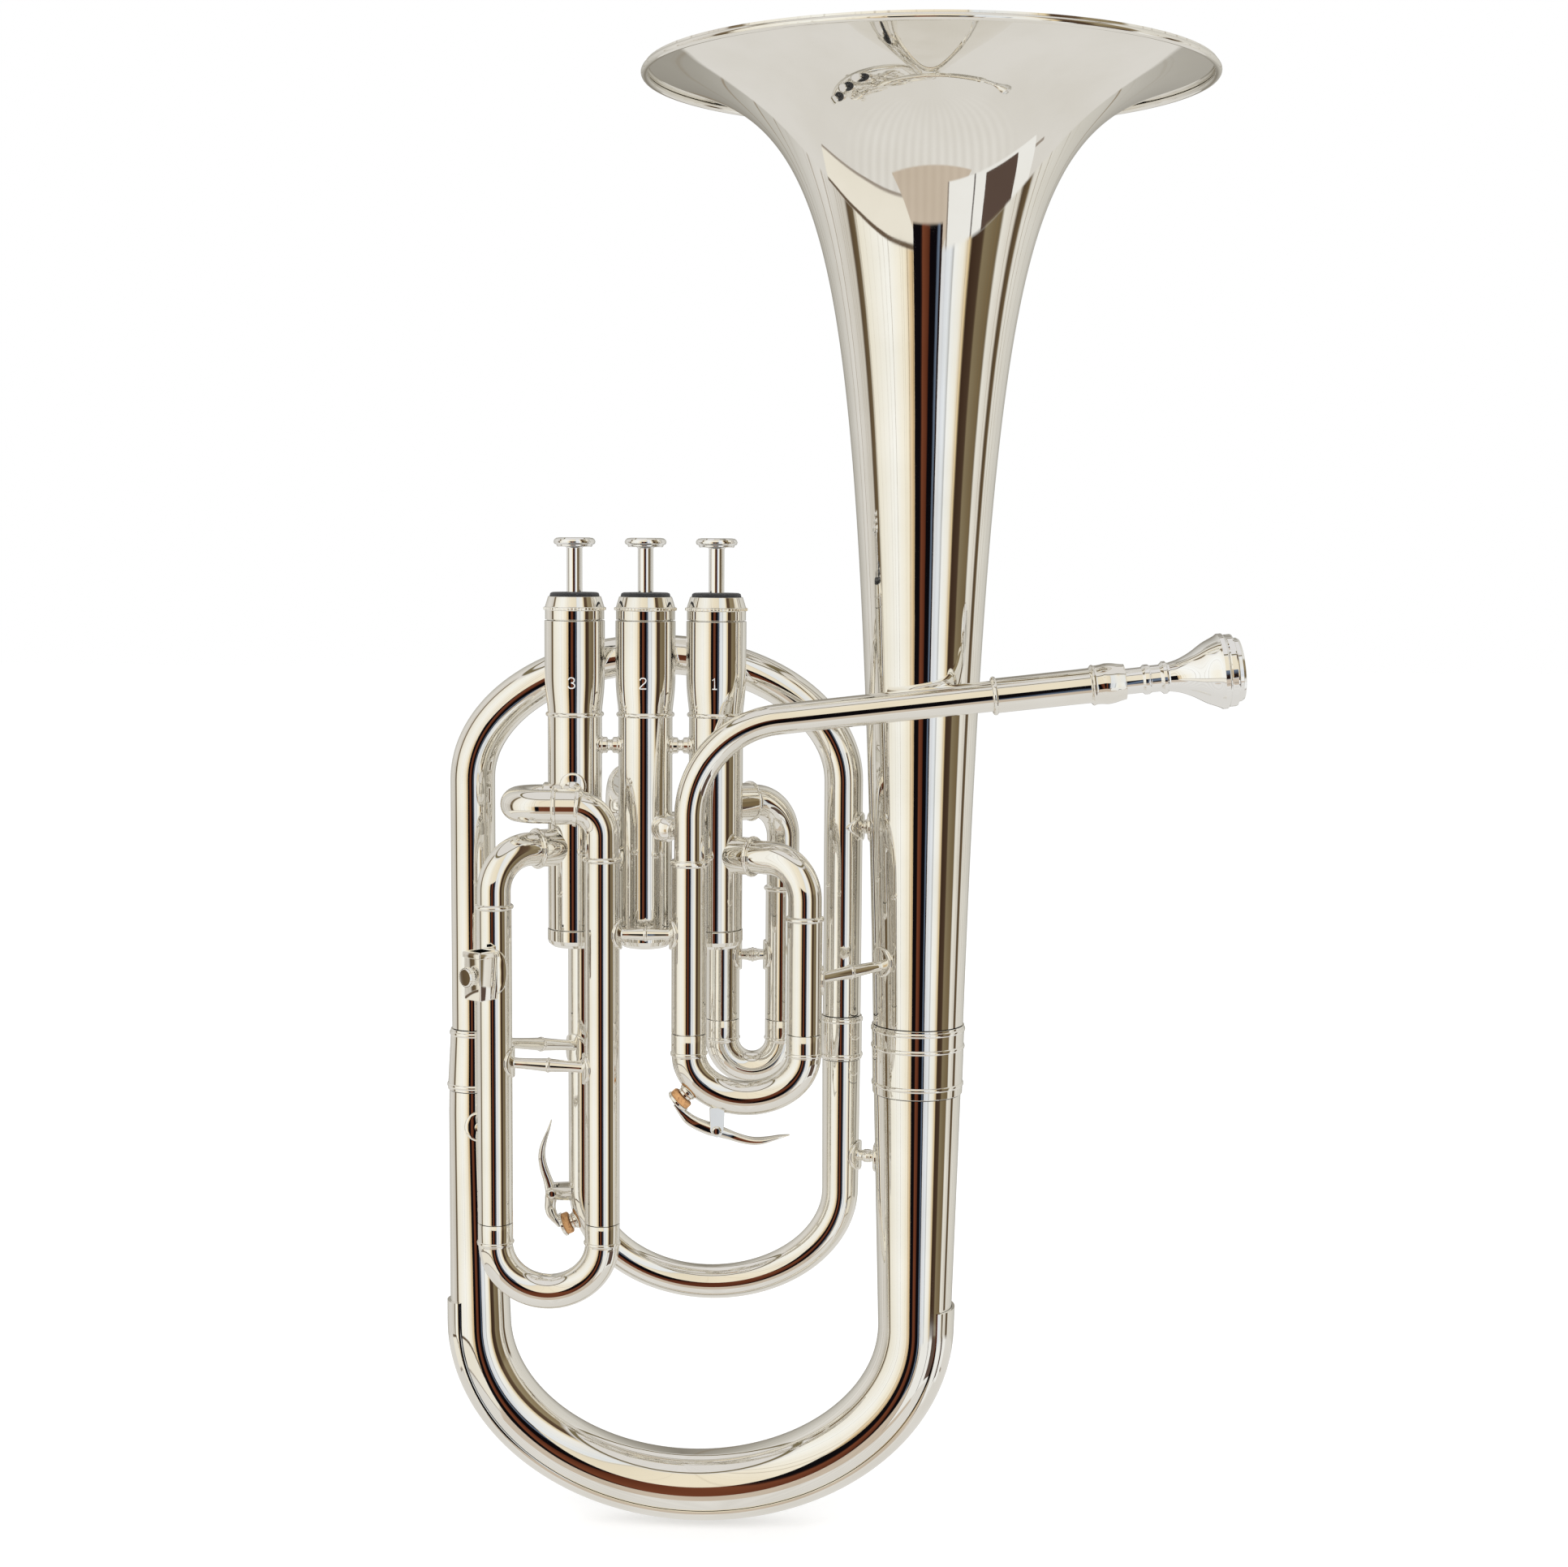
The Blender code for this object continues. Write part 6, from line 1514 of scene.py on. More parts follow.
@dataclass
class Braces:
    """The baluster braces that tie the tubes together."""

    bell: Bell
    bows: Bows
    leadpipe: Leadpipe
    slides: Slides
    foot: float = 5.6

    def upright(self, leg: Vector, height: float, radius: float = SLIDE_TUBE) -> Host:
        """An upright tube round a height."""
        return Host(Vector((leg.x, leg.y, height)), UP, lambda along: radius)

    def brace(self, label: str, node: str, first: Host, second: Host,
            plates: tuple[Optional[Plate], Optional[Plate]] = (Plate.ROUND, Plate.ROUND), knob: float = 0.0) -> None:
        """Builds a brace between two round surfaces.

        Args:
            label: the piece's name.
            node: the CAD node that it replaces.
            first: the surface at its start.
            second: the surface at its end.
            plates: the plate at each end, or none.
            knob: the radius of a ball in its middle, or 0.
        """
        run = (second.point - first.point).normalized()
        low = first.radius(0) - 0.2
        high = (second.point - first.point).length - second.radius(0) + 0.2
        middle, length = (low + high) / 2, high - low
        work = Work(label)
        half = [(2.4, low), (2.0, low + 0.9), (1.9, low + length * 0.1), (2.05, low + length * 0.27),
            (2.35, middle - 1.2), (2.4, middle - 0.7)]
        if length < 7:
            half = [(2.7, low), (2.0, low + 0.9), (1.8, middle - 1.0)]
        curve = smooth_curve(half, 4)
        swell = knob or 0.55
        ring = [(math.sin(angle) * knob if knob else 2.3 + 0.4 * math.sin(angle), middle - swell * math.cos(angle))
            for angle in [math.pi * index / 8 for index in range(1, 8)]]
        mirror = [(radius, 2 * middle - place) for radius, place in reversed(curve)]
        work.turn([(0, low), *curve, *ring, *mirror, (0, high)], first.point, run, ease=0, sides=40)
        for host, facing, plate in ((first, run, plates[0]), (second, -run, plates[1])):
            if plate:
                size = (5.3, 8.0) if plate == Plate.DIAMOND else (self.foot, self.foot)
                work.saddle(host, facing, plate, size)
        work.done(Body.HORN, node)

    def build(self) -> None:
        """Builds the nine braces."""
        tuning, first, third = self.slides.tuning(), self.slides.first(), self.slides.third()
        inner = Vector((self.bows.inner_x, self.bows.back, 0))
        right = Vector((self.bows.right_x, self.bows.back, 0))
        self.brace("slide_stay", "slide_brace", self.upright(third.legs[1], -56.3), self.upright(tuning.legs[0], -56.3))
        self.brace("third_slide_stay", "third_front_brace", self.upright(third.legs[0], -102.5),
            self.upright(third.legs[1], -104.8))
        rear = (None, Plate.ROUND)
        self.brace("third_rear_stay", "third_rear_brace", self.upright(third.legs[0], -95.6),
            self.upright(inner, -104.6, 6.1), rear)
        self.brace("first_slide_stay", "first_brace", self.upright(first.legs[0], -69.9),
            self.upright(first.legs[1], -69.9))
        self.brace("tuning_bell_stay", "tuning_bell_brace", self.upright(tuning.legs[1], -73.0), self.bell.host(-69.0))
        diamond = (Plate.DIAMOND, Plate.ROUND)
        self.brace("loop_bell_stay", "loop_bell_brace", self.upright(right, -21.8, 7.0), self.bell.host(-21.8), diamond)
        saddle = self.leadpipe.point(110.2)
        pipe = Host(saddle, self.leadpipe.run(), lambda along: self.leadpipe.radius)
        self.brace("leadpipe_bell_stay", "leadpipe_bell_brace", pipe, self.bell.host(saddle.z))
        wide, thin = self.bows.radii[:2]
        spring, height = self.bows.spring_z, -144.5
        bow_radius = thin + (wide - thin) * (height - spring) / (self.bows.left_joint[0] - spring)
        self.brace("ball_stay", "ball_brace", self.upright(right, height, 7.0),
            self.upright(self.bell.axis, height, bow_radius), knob=2.5)
        point, radius = self.bows.left_point(-133.1)
        self.brace("left_stay", "left_brace", self.upright(third.legs[0], point.z),
            self.upright(point, point.z, radius))
        self.build_valve_stays()

    def build_valve_stays(self) -> None:
        """Builds the ball stay from valve 2 to the leadpipe and the saddle between valve 3 and the third tube."""
        valves = self.slides.valves
        foot = Vector((self.leadpipe.foot_x, self.leadpipe.end.y, 0))
        work = Work("leadpipe_valve_stay")
        ball = smooth_curve([(3.4, 9.0), (4.3, 9.9), (4.7, 11.6), (4.5, 13.4), (3.6, 15.0), (2.7, 16.2), (2.6, 17.8),
            (3.1, 19.6)], 4)
        work.turn([(0, 9.0), *ball, (0, 20.2)], UP * -20.2, foot.normalized(), ease=0, sides=56)
        work.done(Body.HORN)
        work = Work("third_tube_saddle")
        axis = valves.axis(3)
        work.saddle(self.upright(axis, -5.2, valves.casing), -BACK, Plate.ROUND, (4.9, 4.9), 0.6)
        start = axis - BACK * 9.0 + UP * -6.6
        run = Vector((axis.x, self.slides.front, valves.third_z[0])) - start
        reach = run.length - 5.9
        post = smooth_curve([(3.5, 0), (3.0, 1.0), (2.6, reach / 2), (3.0, reach)], 4)
        work.turn([(0, 0), *post, (0, reach)], start, run, ease=0, sides=48)
        work.done(Body.HORN)


# --- water keys and lyre holder


@dataclass
class WaterKey:
    """A water key: nipple and cheeks on the tube, lever, cup and cork."""

    number: int
    body: Body
    point: Vector
    outward: Vector
    tube: float
    pivot: Vector
    foot: Vector
    tip: Vector
    bulge: Vector
    width: float = 5.0
    thickness: float = 1.2
    nipple: float = 2.8
    proud: float = 1.7
    cheek_turn: float = math.radians(10)
    cork_height: float = 2.5
    pin: float = 1.1

    @staticmethod
    def seat(middle: Vector, half: float, depth: float, angle: float) -> tuple[Vector, Vector]:
        """The point of a bow at an angle from its left side, and the outward direction there."""
        point = middle + Vector((-half * math.cos(angle), 0, -depth * math.sin(angle)))
        return point, Vector((-math.cos(angle) / half, 0, -math.sin(angle) / depth)).normalized()

    @classmethod
    def first(cls, slide: Slide) -> "WaterKey":
        """The key on the tuning slide's bow."""
        left, right = slide.legs
        middle = (left + right) / 2 + UP * (slide.bottom - 0.3 - slide.sleeve)
        half = (right.x - left.x) / 2
        point, outward = cls.seat(middle, half, slide.bow_depth, math.radians(37))
        pivot = Vector((26.7, -19, -126.1))
        turn = math.acos((pivot.x - middle.x) / half)
        foot = middle + Vector((half * math.cos(turn), 0, -slide.bow_depth * math.sin(turn)))
        return cls(1, Body.KEY_1, point, outward, slide.outer, pivot, foot, Vector((25.8, 0, -2.2)),
            Vector((0, 0, -3.0)))

    @classmethod
    def second(cls, bows: Bows) -> "WaterKey":
        """The key on the inner bow."""
        half = (bows.right_x - bows.inner_x) / 2
        middle = Vector((bows.inner_x + half, bows.back, bows.inner_spring))
        point, outward = cls.seat(middle, half, bows.inner_depth, math.radians(17))
        pivot = Vector((bows.inner_x - 12.0, bows.back, -159.6))
        foot = Vector((bows.inner_x, bows.back, pivot.z))
        return cls(2, Body.KEY_2, point, outward, bows.inner_radius, pivot, foot, Vector((-0.5, 0, 27.0)),
            Vector((-3.5, 0, 0)))

    def build_seat(self, work: Work) -> None:
        """Adds the nipple, the cheeks and the pin to the tube's piece.

        Args:
            work: the tube's piece.
        """
        root = self.tube - 0.8
        top = self.tube + self.proud
        nipple = [(1.2, root), (3.3, root), (3.3, self.tube + 0.3), (self.nipple, self.tube + 0.7),
            (self.nipple, top), (1.2, top)]
        work.turn(nipple, self.point, self.outward, ease=0.2, sides=48, hollow=True)
        run = (self.pivot - self.foot).normalized()
        across = run.cross(BACK)
        turned = across * math.cos(self.cheek_turn) + BACK * math.sin(self.cheek_turn) * math.copysign(1, across.x)
        inner = self.width / 2 + 0.45
        surface = math.sqrt(self.tube**2 - (inner + 0.6) ** 2) - 0.25
        height = (self.pivot - self.foot).length - surface
        outline = [(-2.6, 0), (2.6, 0), (2.5, height * 0.4), (2.3, height), (1.4, height + 1.9), (0, height + 2.4),
            (-1.4, height + 1.9), (-2.3, height), (-2.5, height * 0.4)]
        for side in (-1, 1):
            origin = self.foot + run * surface + BACK * side * (inner + 0.6)
            work.slab(outline, origin, turned, run, 1.2, 0.15)
            head = [(0, 0), (1.7, 0), (1.7, 0.5), (1.2, 0.95), (0, 1.1)]
            work.turn(head, self.pivot + BACK * side * (inner + 1.2), BACK * side, ease=0.2, sides=32)
        reach = BACK * (inner + 1.2)
        work.turn([(0, 0), (self.pin, 0), (self.pin, 2 * reach.length), (0, 2 * reach.length)], self.pivot - reach,
            BACK, ease=0, sides=32)

    def build(self) -> None:
        """Builds the lever with its cup and spatula, and the cork."""
        cork = self.tube + self.proud + 0.3
        cup = cork + self.cork_height + 0.3
        middle = self.point + self.outward * (cup + 0.8 + self.thickness / 2) - self.pivot
        path = [middle, middle / 2 + self.outward * 1.5, Vector(), self.tip / 2 + self.bulge, self.tip]
        line = smooth_curve([(place.x, place.z) for place in path], 12)
        count = len(line) - 1
        rings = []
        for index, (x, z) in enumerate(line):
            before, after = Vector(line[max(index - 1, 0)]), Vector(line[min(index + 1, count)])
            run = (after - before).normalized()
            normal = Vector((-run.y, 0, run.x))
            share = index / count
            half = float(np.interp(share, (0, 0.12, 0.3, 0.5, 0.62, 0.82, 0.94, 1.0),
                (1.6, 1.5, 1.7, 2.45, 1.7, 2.4, 1.7, 0.4)))
            thick = float(np.interp(share, (0, 0.2, 0.45, 0.6, 0.8, 1.0), (1.4, 3.8, 4.4, 3.1, 2.2, 0.4)))
            away = normal if normal.dot(self.outward) > 0 else -normal
            middle = self.pivot + Vector((x, 0, z)) + away * max(0.0, thick - self.thickness) * 0.3
            ring = []
            for step in range(24):
                angle = math.tau * step / 24
                wide = math.copysign(abs(math.cos(angle)) ** 0.45, math.cos(angle))
                deep = math.copysign(abs(math.sin(angle)) ** 0.7, math.sin(angle))
                ring.append(middle + BACK * half * wide + normal * thick / 2 * deep)
            rings.append(ring)
        work = Work(f"key_lever_{self.number}")
        work.skin(rings)
        holder = [(0, cup), (4.0, cup), (4.3, cup - 0.5), (4.45, cup - 0.4), (4.45, cup + 0.4), (3.6, cup + 0.9),
            (1.9, cup + 1.2), (0, cup + 1.3)]
        work.turn(holder, self.point, self.outward, ease=0.15, sides=56)
        boss = [(self.pin + 0.1, 0), (1.9, 0), (2.1, 0.3), (2.1, self.width - 0.3), (1.9, self.width),
            (self.pin + 0.1, self.width)]
        work.turn(boss, self.pivot - BACK * self.width / 2, BACK, ease=0.1, sides=40, hollow=True)
        work.done(self.body, f"water_key_lever_{self.number}")
        work = Work(f"key_cork_{self.number}", CORK)
        high = cork + self.cork_height
        work.turn([(0, cork), (3.7, cork), (4.0, cork + 0.3), (4.05, cork + 1.3), (4.0, high - 0.2), (3.8, high),
            (0, high)], self.point, self.outward, ease=0.15, sides=56)
        work.done(self.body, f"water_key_cork_{self.number}")


@dataclass
class LyreHolder:
    """The square lyre holder on the third slide's left tube, and its thumb screw."""

    tube: Vector = field(default_factory=lambda: Vector((-52.3, -19, -69.3)))
    azimuth: float = 255.0
    width: float = 8.5
    height: float = 17.0
    socket: float = 5.8
    corner: float = 0.7
    turn: float = 228.0

    def square(self, half: float, corner: float) -> list[Size]:
        """A square with round corners."""
        made = []
        for quarter in range(4):
            for step in range(5):
                angle = math.radians(90 * quarter + 22.5 * step)
                middle = half - corner
                cx = middle * (1 if quarter in (0, 3) else -1)
                cy = middle * (1 if quarter in (0, 1) else -1)
                made.append((cx + corner * math.cos(angle), cy + corner * math.sin(angle)))
        return made

    def build(self) -> None:
        """Builds the holder with its foot, and the screw."""
        skew = math.radians(self.azimuth - self.turn)
        centre = self.tube + radial(self.azimuth, SLIDE_TUBE + 0.3 + self.width / 2 * (math.cos(skew) + math.sin(skew)))
        side, other = radial(self.turn), radial(self.turn + 90)
        half, hole, tall = self.width / 2, self.socket / 2, self.height / 2
        levels = [
            (hole, 0.3, -tall), (half - 0.35, self.corner, -tall), (half - 0.1, self.corner, -tall + 0.1),
            (half, self.corner, -tall + 0.4), (half, self.corner, tall - 2.2), (half + 0.45, self.corner, tall - 1.9),
            (half + 0.45, self.corner, tall - 0.4), (half + 0.2, self.corner, tall), (hole, 0.3, tall),
        ]
        rings = []
        for size, corner, z in levels:
            rings.append([centre + other * x + side * y + UP * z for x, y in self.square(size, corner)])
        work = Work("lyre_socket")
        work.skin(rings, wrap=True)
        host = Host(self.tube, UP, lambda along: SLIDE_TUBE)
        work.saddle(host, radial(self.azimuth + 12), Plate.ROUND, (8.4, 6.4), 0.7)
        work.done(Body.HORN, "lyre_holder")
        work = Work("lyre_screw_head")
        face = half + 0.3
        knob = [(1.3, self.socket / 2 - face + 0.2), (1.3, 0), (2.2, 0), (2.2, 0.5), (3.1, 0.7), (3.3, 1.1),
            (3.3, 2.3), (2.9, 2.9), (0, 3.0)]
        work.turn([(0, self.socket / 2 - face + 0.2), *knob], centre + side * face, side, ease=0.15, sides=48)
        work.knurl(centre + side * (face + 1.7), side, 26, 3.25, 0.26, 1.5)
        work.done(Body.LYRE_SCREW, "lyre_screw")


# --- studio


def seen(colour: Colour) -> tuple[float, float, float, float]:
    """A colour as it is seen on a screen, as the shader's own light values."""
    return (*(channel**2.2 for channel in colour), 1.0)


@dataclass(frozen=True)
class Panel:
    """A flat patch of the room, by its angles in degrees and how soft its edges are both ways."""

    azimuths: Size
    heights: Size
    colour: Colour
    soft: Size = (0.5, 0.7)


class RoomTree(NodeBench):
    """Lays out the nodes of the room that the plate mirrors, by azimuth and height in degrees."""

    def __init__(self, tree: bpy.types.NodeTree) -> None:
        """Finds a direction's azimuth and height.

        Args:
            tree: the world's nodes, emptied.
        """
        super().__init__(tree)
        direction = self.add("ShaderNodeTexCoord").outputs["Generated"]
        x, y, z = self.add("ShaderNodeSeparateXYZ", Vector=direction).outputs
        angle = self.sum("ARCTAN2", x, self.sum("MULTIPLY", y, -1.0))
        self.azimuth = self.sum("MULTIPLY", angle, 180 / math.pi)
        self.height = self.sum("MULTIPLY", self.sum("ARCSINE", z), 180 / math.pi)
        self.share = self.sum("MULTIPLY_ADD", self.azimuth, 1 / 360, 0.5)

    def mix(self, share: object, first: object, second: object) -> Socket:
        """A colour between the first and the second."""
        node = self.add("ShaderNodeMix", {"data_type": "RGBA"})
        for index, value in ((0, share), (6, first), (7, second)):
            self.fill(node.inputs[index], value)
        return node.outputs[2]

    def step(self, value: Socket, start: float, end: float) -> Socket:
        """0 before the start, 1 past the end."""
        return self.add("ShaderNodeMapRange", Value=value, From_Min=start, From_Max=end).outputs[0]

    def within(self, value: Socket, low: float, high: float, soft: float) -> Socket:
        """1 between low and high, 0 outside."""
        return self.sum("MULTIPLY", self.step(value, low - soft, low), self.step(value, high + soft, high))

    def patch(self, azimuths: Size, heights: Size, soft: Size) -> Socket:
        """1 inside a patch of the room, 0 outside."""
        across = self.within(self.azimuth, *azimuths, soft[0])
        return self.sum("MULTIPLY", across, self.within(self.height, *heights, soft[1]))

    def panel(self, under: Socket, panel: Panel) -> Socket:
        """The colour under a panel, with the panel over it."""
        return self.mix(self.patch(panel.azimuths, panel.heights, panel.soft), under, seen(panel.colour))

    def grain(self, scale: float, detail: float) -> Socket:
        """Upright streaks between 0 and 1."""
        stripes = self.add("ShaderNodeCombineXYZ", X=self.share).outputs[0]
        return self.add("ShaderNodeTexNoise", Vector=stripes, Scale=scale, Detail=detail).outputs["Fac"]

    def bands(self, stops: Bands) -> Socket:
        """Lays out upright bands.

        Args:
            stops: azimuths and the colours there, from -180 degrees on.

        Returns:
            The colour, which runs back to the first at the end.
        """
        ramp = self.add("ShaderNodeValToRGB", Fac=self.share)
        marks = ramp.color_ramp.elements
        for index, (degrees, colour) in enumerate(stops):
            place = degrees / 360 + 0.5
            mark = marks.new(place) if index else marks[0]
            mark.position = place
            mark.color = seen(colour)
        marks[-1].position = 1.0
        marks[-1].color = seen(stops[0][1])
        return ramp.outputs["Color"]


@dataclass
class Studio:
    """The camera, the room that the plate mirrors, the lamps and the floor."""

    camera_place: tuple[float, float, float] = (0.0497, -0.8686, 0.0826)
    pitch: float = math.radians(90 - 5.73)
    roll: float = 0.0066
    lens: float = 3000 / 1932 * 36
    floor_z: float = -0.2832
    # The room round the horn as (azimuth in degrees from the camera's side, colour as seen).
    room: Bands = (
        (-180, (0.52, 0.50, 0.46)), (-158, (0.74, 0.73, 0.70)), (-120, (0.88, 0.87, 0.85)), (-96, (0.80, 0.78, 0.74)),
        (-94, (0.36, 0.30, 0.23)), (-87, (0.42, 0.36, 0.27)), (-84, (0.95, 0.93, 0.87)),
        (-50, (1.0, 1.0, 0.98)), (-30, (0.98, 0.95, 0.87)), (-22, (0.86, 0.75, 0.58)), (18, (0.88, 0.90, 0.93)),
        (25, (0.93, 0.95, 0.97)), (26, (0.42, 0.41, 0.40)), (27.5, (0.97, 0.98, 0.98)),
        (38, (0.97, 0.96, 0.92)), (45, (0.86, 0.77, 0.60)), (47, (0.25, 0.19, 0.15)), (60, (0.30, 0.24, 0.19)),
        (62, (0.52, 0.47, 0.37)), (80, (0.44, 0.38, 0.28)), (83, (0.92, 0.91, 0.88)),
        (98, (0.86, 0.84, 0.80)), (100, (0.33, 0.27, 0.20)), (107, (0.40, 0.34, 0.26)), (110, (0.90, 0.89, 0.86)),
        (150, (0.80, 0.79, 0.76)),
    )
    # The same above the horn's height.
    upper_room: Bands = (
        (-180, (0.55, 0.53, 0.49)), (-158, (0.76, 0.75, 0.72)), (-120, (0.90, 0.89, 0.87)), (-96, (0.84, 0.82, 0.79)),
        (-94, (0.46, 0.40, 0.32)), (-87, (0.50, 0.44, 0.35)), (-84, (0.95, 0.93, 0.88)), (-50, (1.0, 1.0, 0.98)),
        (-10, (0.96, 0.92, 0.83)), (12, (0.93, 0.89, 0.80)), (15, (0.92, 0.94, 0.96)), (38, (0.97, 0.96, 0.93)),
        (45, (0.90, 0.83, 0.68)), (48, (0.32, 0.25, 0.20)), (60, (0.38, 0.31, 0.24)), (63, (0.58, 0.53, 0.42)),
        (82, (0.55, 0.49, 0.38)), (86, (0.91, 0.90, 0.87)), (150, (0.82, 0.81, 0.78)),
    )
    # The dark clothes behind the camera, over the room from -19 to 13.
    cloth: Bands = (
        (-180, (0.09, 0.08, 0.09)), (-10, (0.09, 0.08, 0.09)), (-9, (0.46, 0.27, 0.19)), (-1.5, (0.36, 0.20, 0.14)),
        (-0.8, (0.08, 0.07, 0.08)), (8, (0.08, 0.07, 0.08)), (8.6, (0.40, 0.46, 0.55)),
        (10, (0.42, 0.47, 0.54)), (10.5, (0.16, 0.12, 0.11)),
    )
    cloth_span: Size = (-19.0, 13.0)
    cloth_heights: Size = (-25.5, 5.0)
    cloth_soft: Size = (0.4, 0.8)
    plain_light: tuple[float, float, float, float] = (0.82, 0.82, 0.82, 1)
    white: tuple[float, float, float, float] = (1, 1, 1, 1)
    # Heights in degrees at which one part of the room gives way to the next.
    floor_edge: Size = (-20.5, -21.5)
    high_wall_edge: Size = (2, 6)
    ceiling_edge: Size = (47, 51)
    cornice_heights: Size = (52, 55)
    # The folds of the drapes and the streaks of the ceiling.
    fold_scale: float = 130.0
    fold_detail: float = 3.0
    fold_colour: Colour = (0.50, 0.42, 0.30)
    drape_folds: Size = (0.56, 0.66)
    drape_share: float = 0.75
    high_drape_share: float = 0.6
    ceiling_folds: Size = (0.4, 0.7)
    ceiling_share: float = 0.3
    ceiling: tuple[Colour, Colour] = ((0.90, 0.89, 0.88), (0.78, 0.77, 0.75))
    cornice: Colour = (0.48, 0.44, 0.34)
    # The floor and its rays.
    floor: tuple[Colour, Colour] = ((0.87, 0.86, 0.84), (0.95, 0.945, 0.93))
    ray_pitch: float = 0.72
    ray_span: Size = (-60, 60)
    ray_soft: float = 30.0
    ray_heights: Size = (-85, -45)
    ray_share: float = 0.4
    # The rug: its colours, its side as (degrees per degree of height, degrees) and its crown likewise.
    rug: tuple[Colour, Colour] = ((0.80, 0.745, 0.68), (0.72, 0.66, 0.60))
    rug_share: float = 0.25
    rug_side: Size = (-1.6, -20.0)
    rug_crown: Size = (0.003, -43.0)
    skirting: Panel = Panel((-110, 110), (-32.0, -31.0), (0.62, 0.58, 0.54), (1.0, 0.4))
    left_wall: Panel = Panel((-110, -20), (-30.8, 90), (0.94, 0.92, 0.87), (1.0, 0.7))
    wall_foot: Panel = Panel((-110, -19), (-21.6, -21.0), (0.40, 0.34, 0.28), (1.0, 0.3))
    right_panels: tuple[Panel, ...] = (
        Panel((18, 103), (-35.8, 90), (0.95, 0.95, 0.94)),
        Panel((17, 18), (-35.8, 90), (0.60, 0.56, 0.52)),
        Panel((44, 45), (-35.8, 90), (0.45, 0.43, 0.42)),
        Panel((56, 87), (-34.5, -21.0), (0.36, 0.30, 0.27), (0.4, 0.4)),
    )

    def build(self) -> None:
        """Builds the whole studio."""
        self.build_camera()
        self.build_world()
        self.build_lamps()
        self.build_floor()
        scene = bpy.context.scene
        scene.view_settings.view_transform = "Standard"

    def build_camera(self) -> None:
        """Places the camera where the photograph was taken."""
        data = bpy.data.cameras.new("view")
        data.sensor_width = 36
        data.lens = self.lens
        data.clip_start = 0.01
        camera = bpy.data.objects.new("view", data)
        turn = Matrix.Rotation(self.pitch, 4, "X") @ Matrix.Rotation(self.roll, 4, "Z")
        camera.matrix_world = Matrix.Translation(self.camera_place) @ turn
        bpy.context.scene.collection.objects.link(camera)
        bpy.context.scene.camera = camera

    def build_world(self) -> None:
        """Builds the world: white for the camera, a room for the plate to mirror, plain light for the rest."""
        world = bpy.data.worlds.new("room")
        world.use_nodes = True
        world.node_tree.nodes.clear()
        room = RoomTree(world.node_tree)
        mirrored = room.mix(room.step(room.height, *self.floor_edge), self.upper_half(room), self.lower_half(room))
        mirrored = room.panel(mirrored, self.wall_foot)
        clothes = room.patch(self.cloth_span, self.cloth_heights, self.cloth_soft)
        mirrored = room.mix(clothes, mirrored, room.bands(self.cloth))
        path = room.add("ShaderNodeLightPath").outputs
        light = room.mix(path["Is Glossy Ray"], self.plain_light, mirrored)
        light = room.mix(path["Is Camera Ray"], light, self.white)
        background = room.add("ShaderNodeBackground", Color=light, Strength=1.0)
        room.add("ShaderNodeOutputWorld", Surface=background.outputs[0])
        bpy.context.scene.world = world

    def upper_half(self, room: "RoomTree") -> Socket:
        """Lays out the draped walls and the ceiling with its cornice.

        Args:
            room: the world's nodes.

        Returns:
            The colour above the floor's edge.
        """
        folds = room.grain(self.fold_scale, self.fold_detail)
        drape = room.sum("MULTIPLY", room.step(folds, *self.drape_folds), self.drape_share)
        walls = room.mix(drape, room.bands(self.room), seen(self.fold_colour))
        high_drape = room.sum("MULTIPLY", drape, self.high_drape_share)
        high_walls = room.mix(high_drape, room.bands(self.upper_room), seen(self.fold_colour))
        streaks = room.sum("MULTIPLY", room.step(folds, *self.ceiling_folds), self.ceiling_share)
        ceiling = room.mix(streaks, seen(self.ceiling[0]), seen(self.ceiling[1]))
        ceiling = room.mix(room.within(room.height, *self.cornice_heights, 1.0), ceiling, seen(self.cornice))
        above = room.mix(room.step(room.height, *self.ceiling_edge), high_walls, ceiling)
        return room.mix(room.step(room.height, *self.high_wall_edge), walls, above)

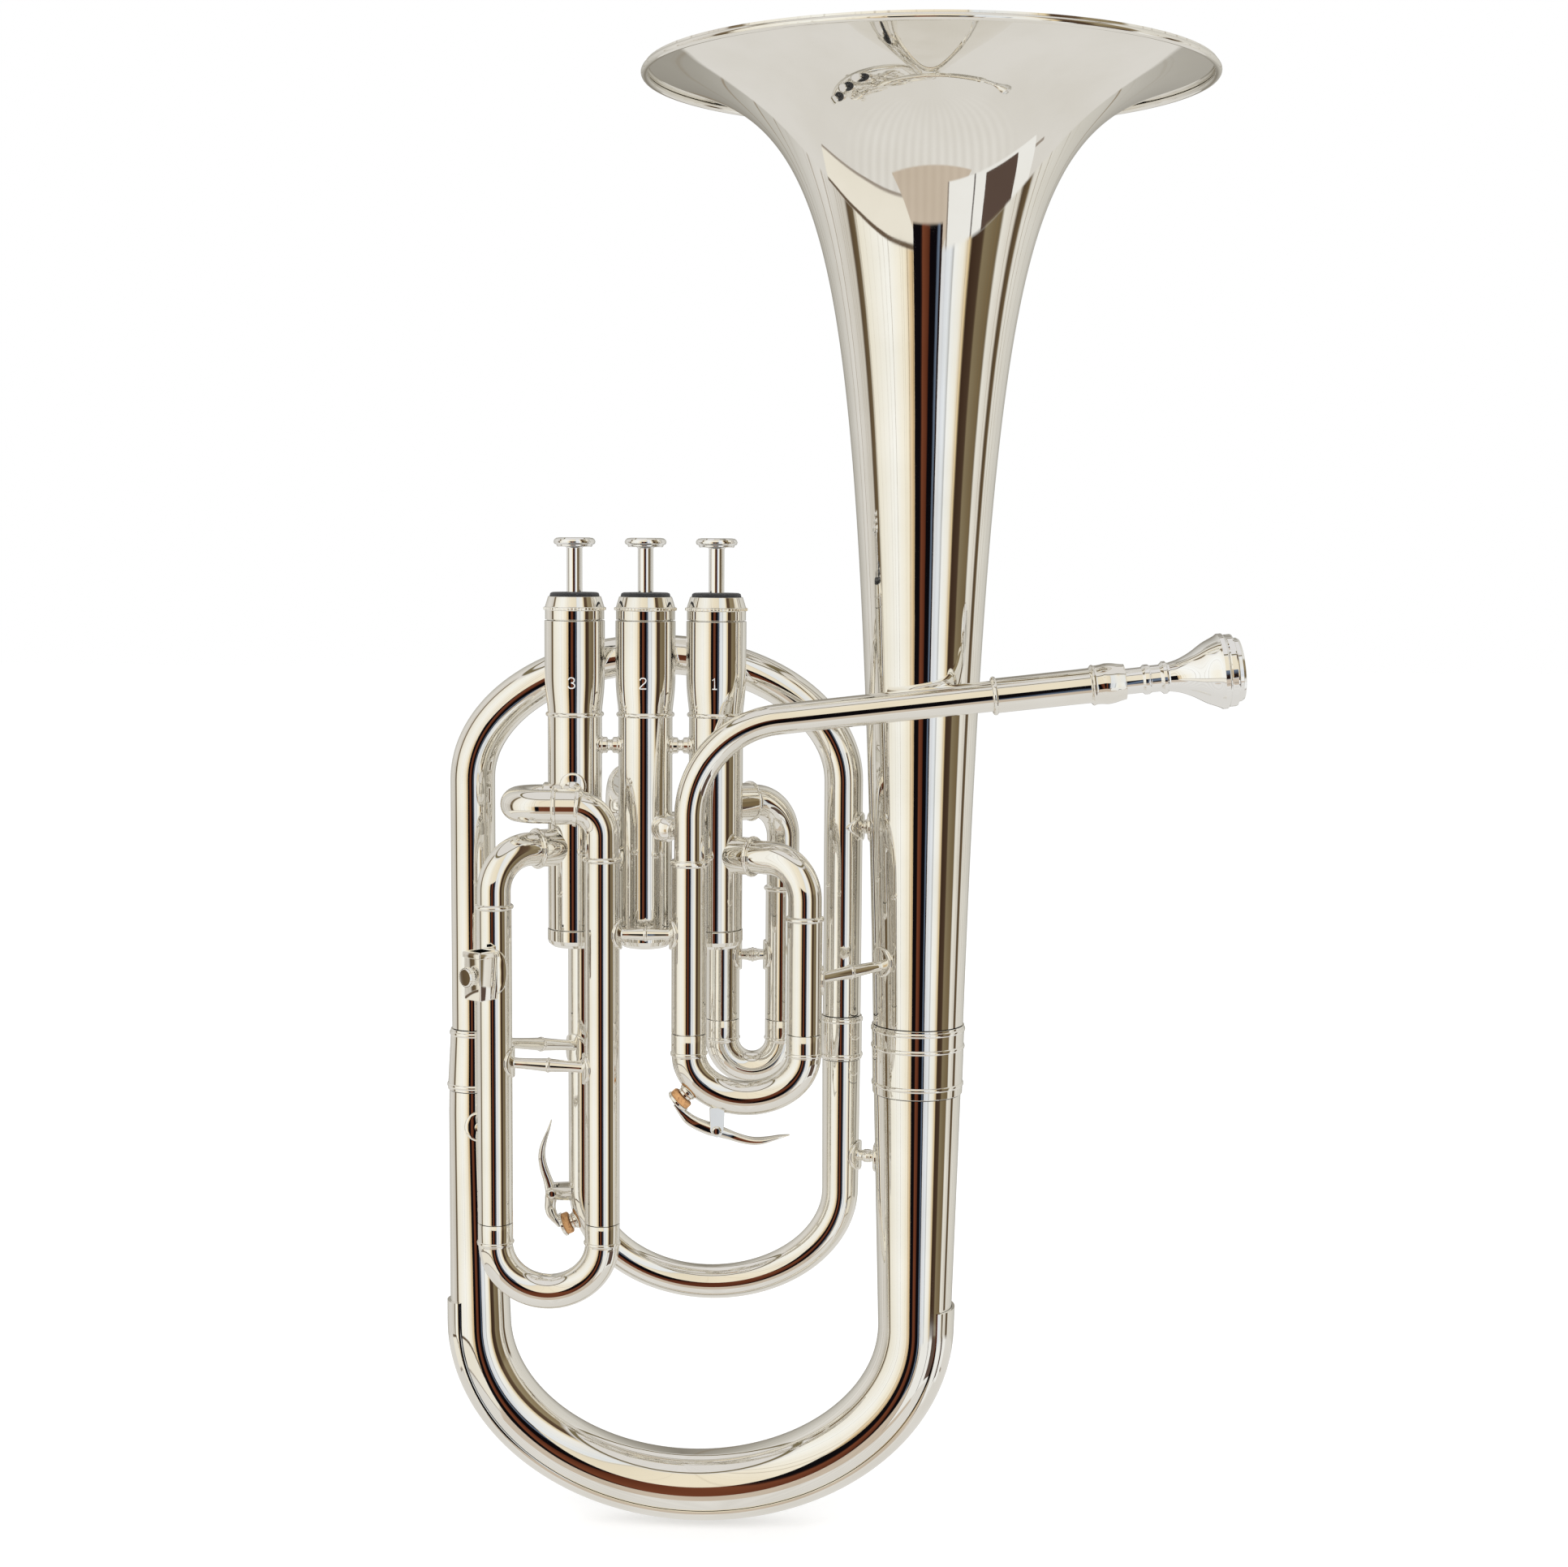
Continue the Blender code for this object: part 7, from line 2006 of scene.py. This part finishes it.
    def lower_half(self, room: "RoomTree") -> Socket:
        """Lays out the floor with its soft rays, the rug and the panels that stand on it.

        Args:
            room: the world's nodes.

        Returns:
            The colour under the floor's edge.
        """
        wave = room.sum("MULTIPLY_ADD", room.sum("SINE", room.sum("MULTIPLY", room.azimuth, self.ray_pitch)), 0.5, 0.5)
        near = room.within(room.azimuth, *self.ray_span, self.ray_soft)
        rays = room.sum("MULTIPLY", room.sum("MULTIPLY", wave, near), room.step(room.height, *self.ray_heights))
        floor = room.mix(room.sum("MULTIPLY", rays, self.ray_share), seen(self.floor[0]), seen(self.floor[1]))
        floor = room.panel(room.panel(floor, self.skirting), self.left_wall)
        side = room.sum("MULTIPLY_ADD", room.height, *self.rug_side)
        crown = room.sum("MULTIPLY_ADD", room.sum("MULTIPLY", room.azimuth, room.azimuth), *self.rug_crown)
        inside = room.step(room.sum("SUBTRACT", room.sum("ABSOLUTE", room.azimuth), side), 0.6, -0.6)
        below = room.step(room.sum("SUBTRACT", room.height, crown), -0.4, 0.4)
        rug = room.mix(room.sum("MULTIPLY", wave, self.rug_share), seen(self.rug[0]), seen(self.rug[1]))
        floor = room.mix(room.sum("MULTIPLY", inside, below), floor, rug)
        for panel in self.right_panels:
            floor = room.panel(floor, panel)
        return floor

    def build_lamps(self) -> None:
        """Hangs three soft lamps, which the plate doesn't mirror."""
        lamps = (
            ("key_lamp", (-0.9, -1.1, 1.2), 0.9, 7.0),
            ("fill_lamp", (1.2, -0.9, 0.7), 1.0, 4.0),
            ("back_lamp", (0.3, 1.2, 1.2), 0.9, 4.0),
        )
        for name, place, size, power in lamps:
            data = bpy.data.lights.new(name, "AREA")
            data.size = size
            data.energy = power
            lamp = bpy.data.objects.new(name, data)
            lamp.matrix_world = Matrix.Translation(place) @ Vector(place).to_track_quat("Z", "Y").to_matrix().to_4x4()
            lamp.visible_glossy = False
            bpy.context.scene.collection.objects.link(lamp)

    def build_floor(self) -> None:
        """Lays the pale floor."""
        reach = 6.0
        shape = bmesh.new()
        ends = ((-1, -1), (1, -1), (1, 1), (-1, 1))
        shape.faces.new([shape.verts.new((x * reach, y * reach, self.floor_z)) for x, y in ends])
        mesh = bpy.data.meshes.new("floor")
        shape.to_mesh(mesh)
        shape.free()
        mesh.materials.append(FinishBench("pale_floor").finish(Base_Color=(0.7, 0.7, 0.7, 1), Roughness=0.9,
            Specular_IOR_Level=0.0, Emission_Color=self.white, Emission_Strength=0.45))
        floor = bpy.data.objects.new("floor", mesh)
        floor.visible_glossy = False
        bpy.context.scene.collection.objects.link(floor)


def main() -> None:
    """Builds the horn and its studio, piece by piece."""
    logging.basicConfig(level=logging.INFO, format="%(name)s: %(message)s")
    bell = Bell()
    valves = Valves()
    bows = Bows(bell, valves)
    leadpipe = Leadpipe()
    slides = Slides(valves)
    for assembly in (bell, bows, valves, leadpipe, slides):
        assembly.build()
        LOG.info("%s is done", type(assembly).__name__)
    Braces(bell, bows, leadpipe, slides).build()
    WaterKey.first(slides.tuning()).build()
    WaterKey.second(bows).build()
    LyreHolder().build()
    Studio().build()


if __name__ == "__main__":
    main()
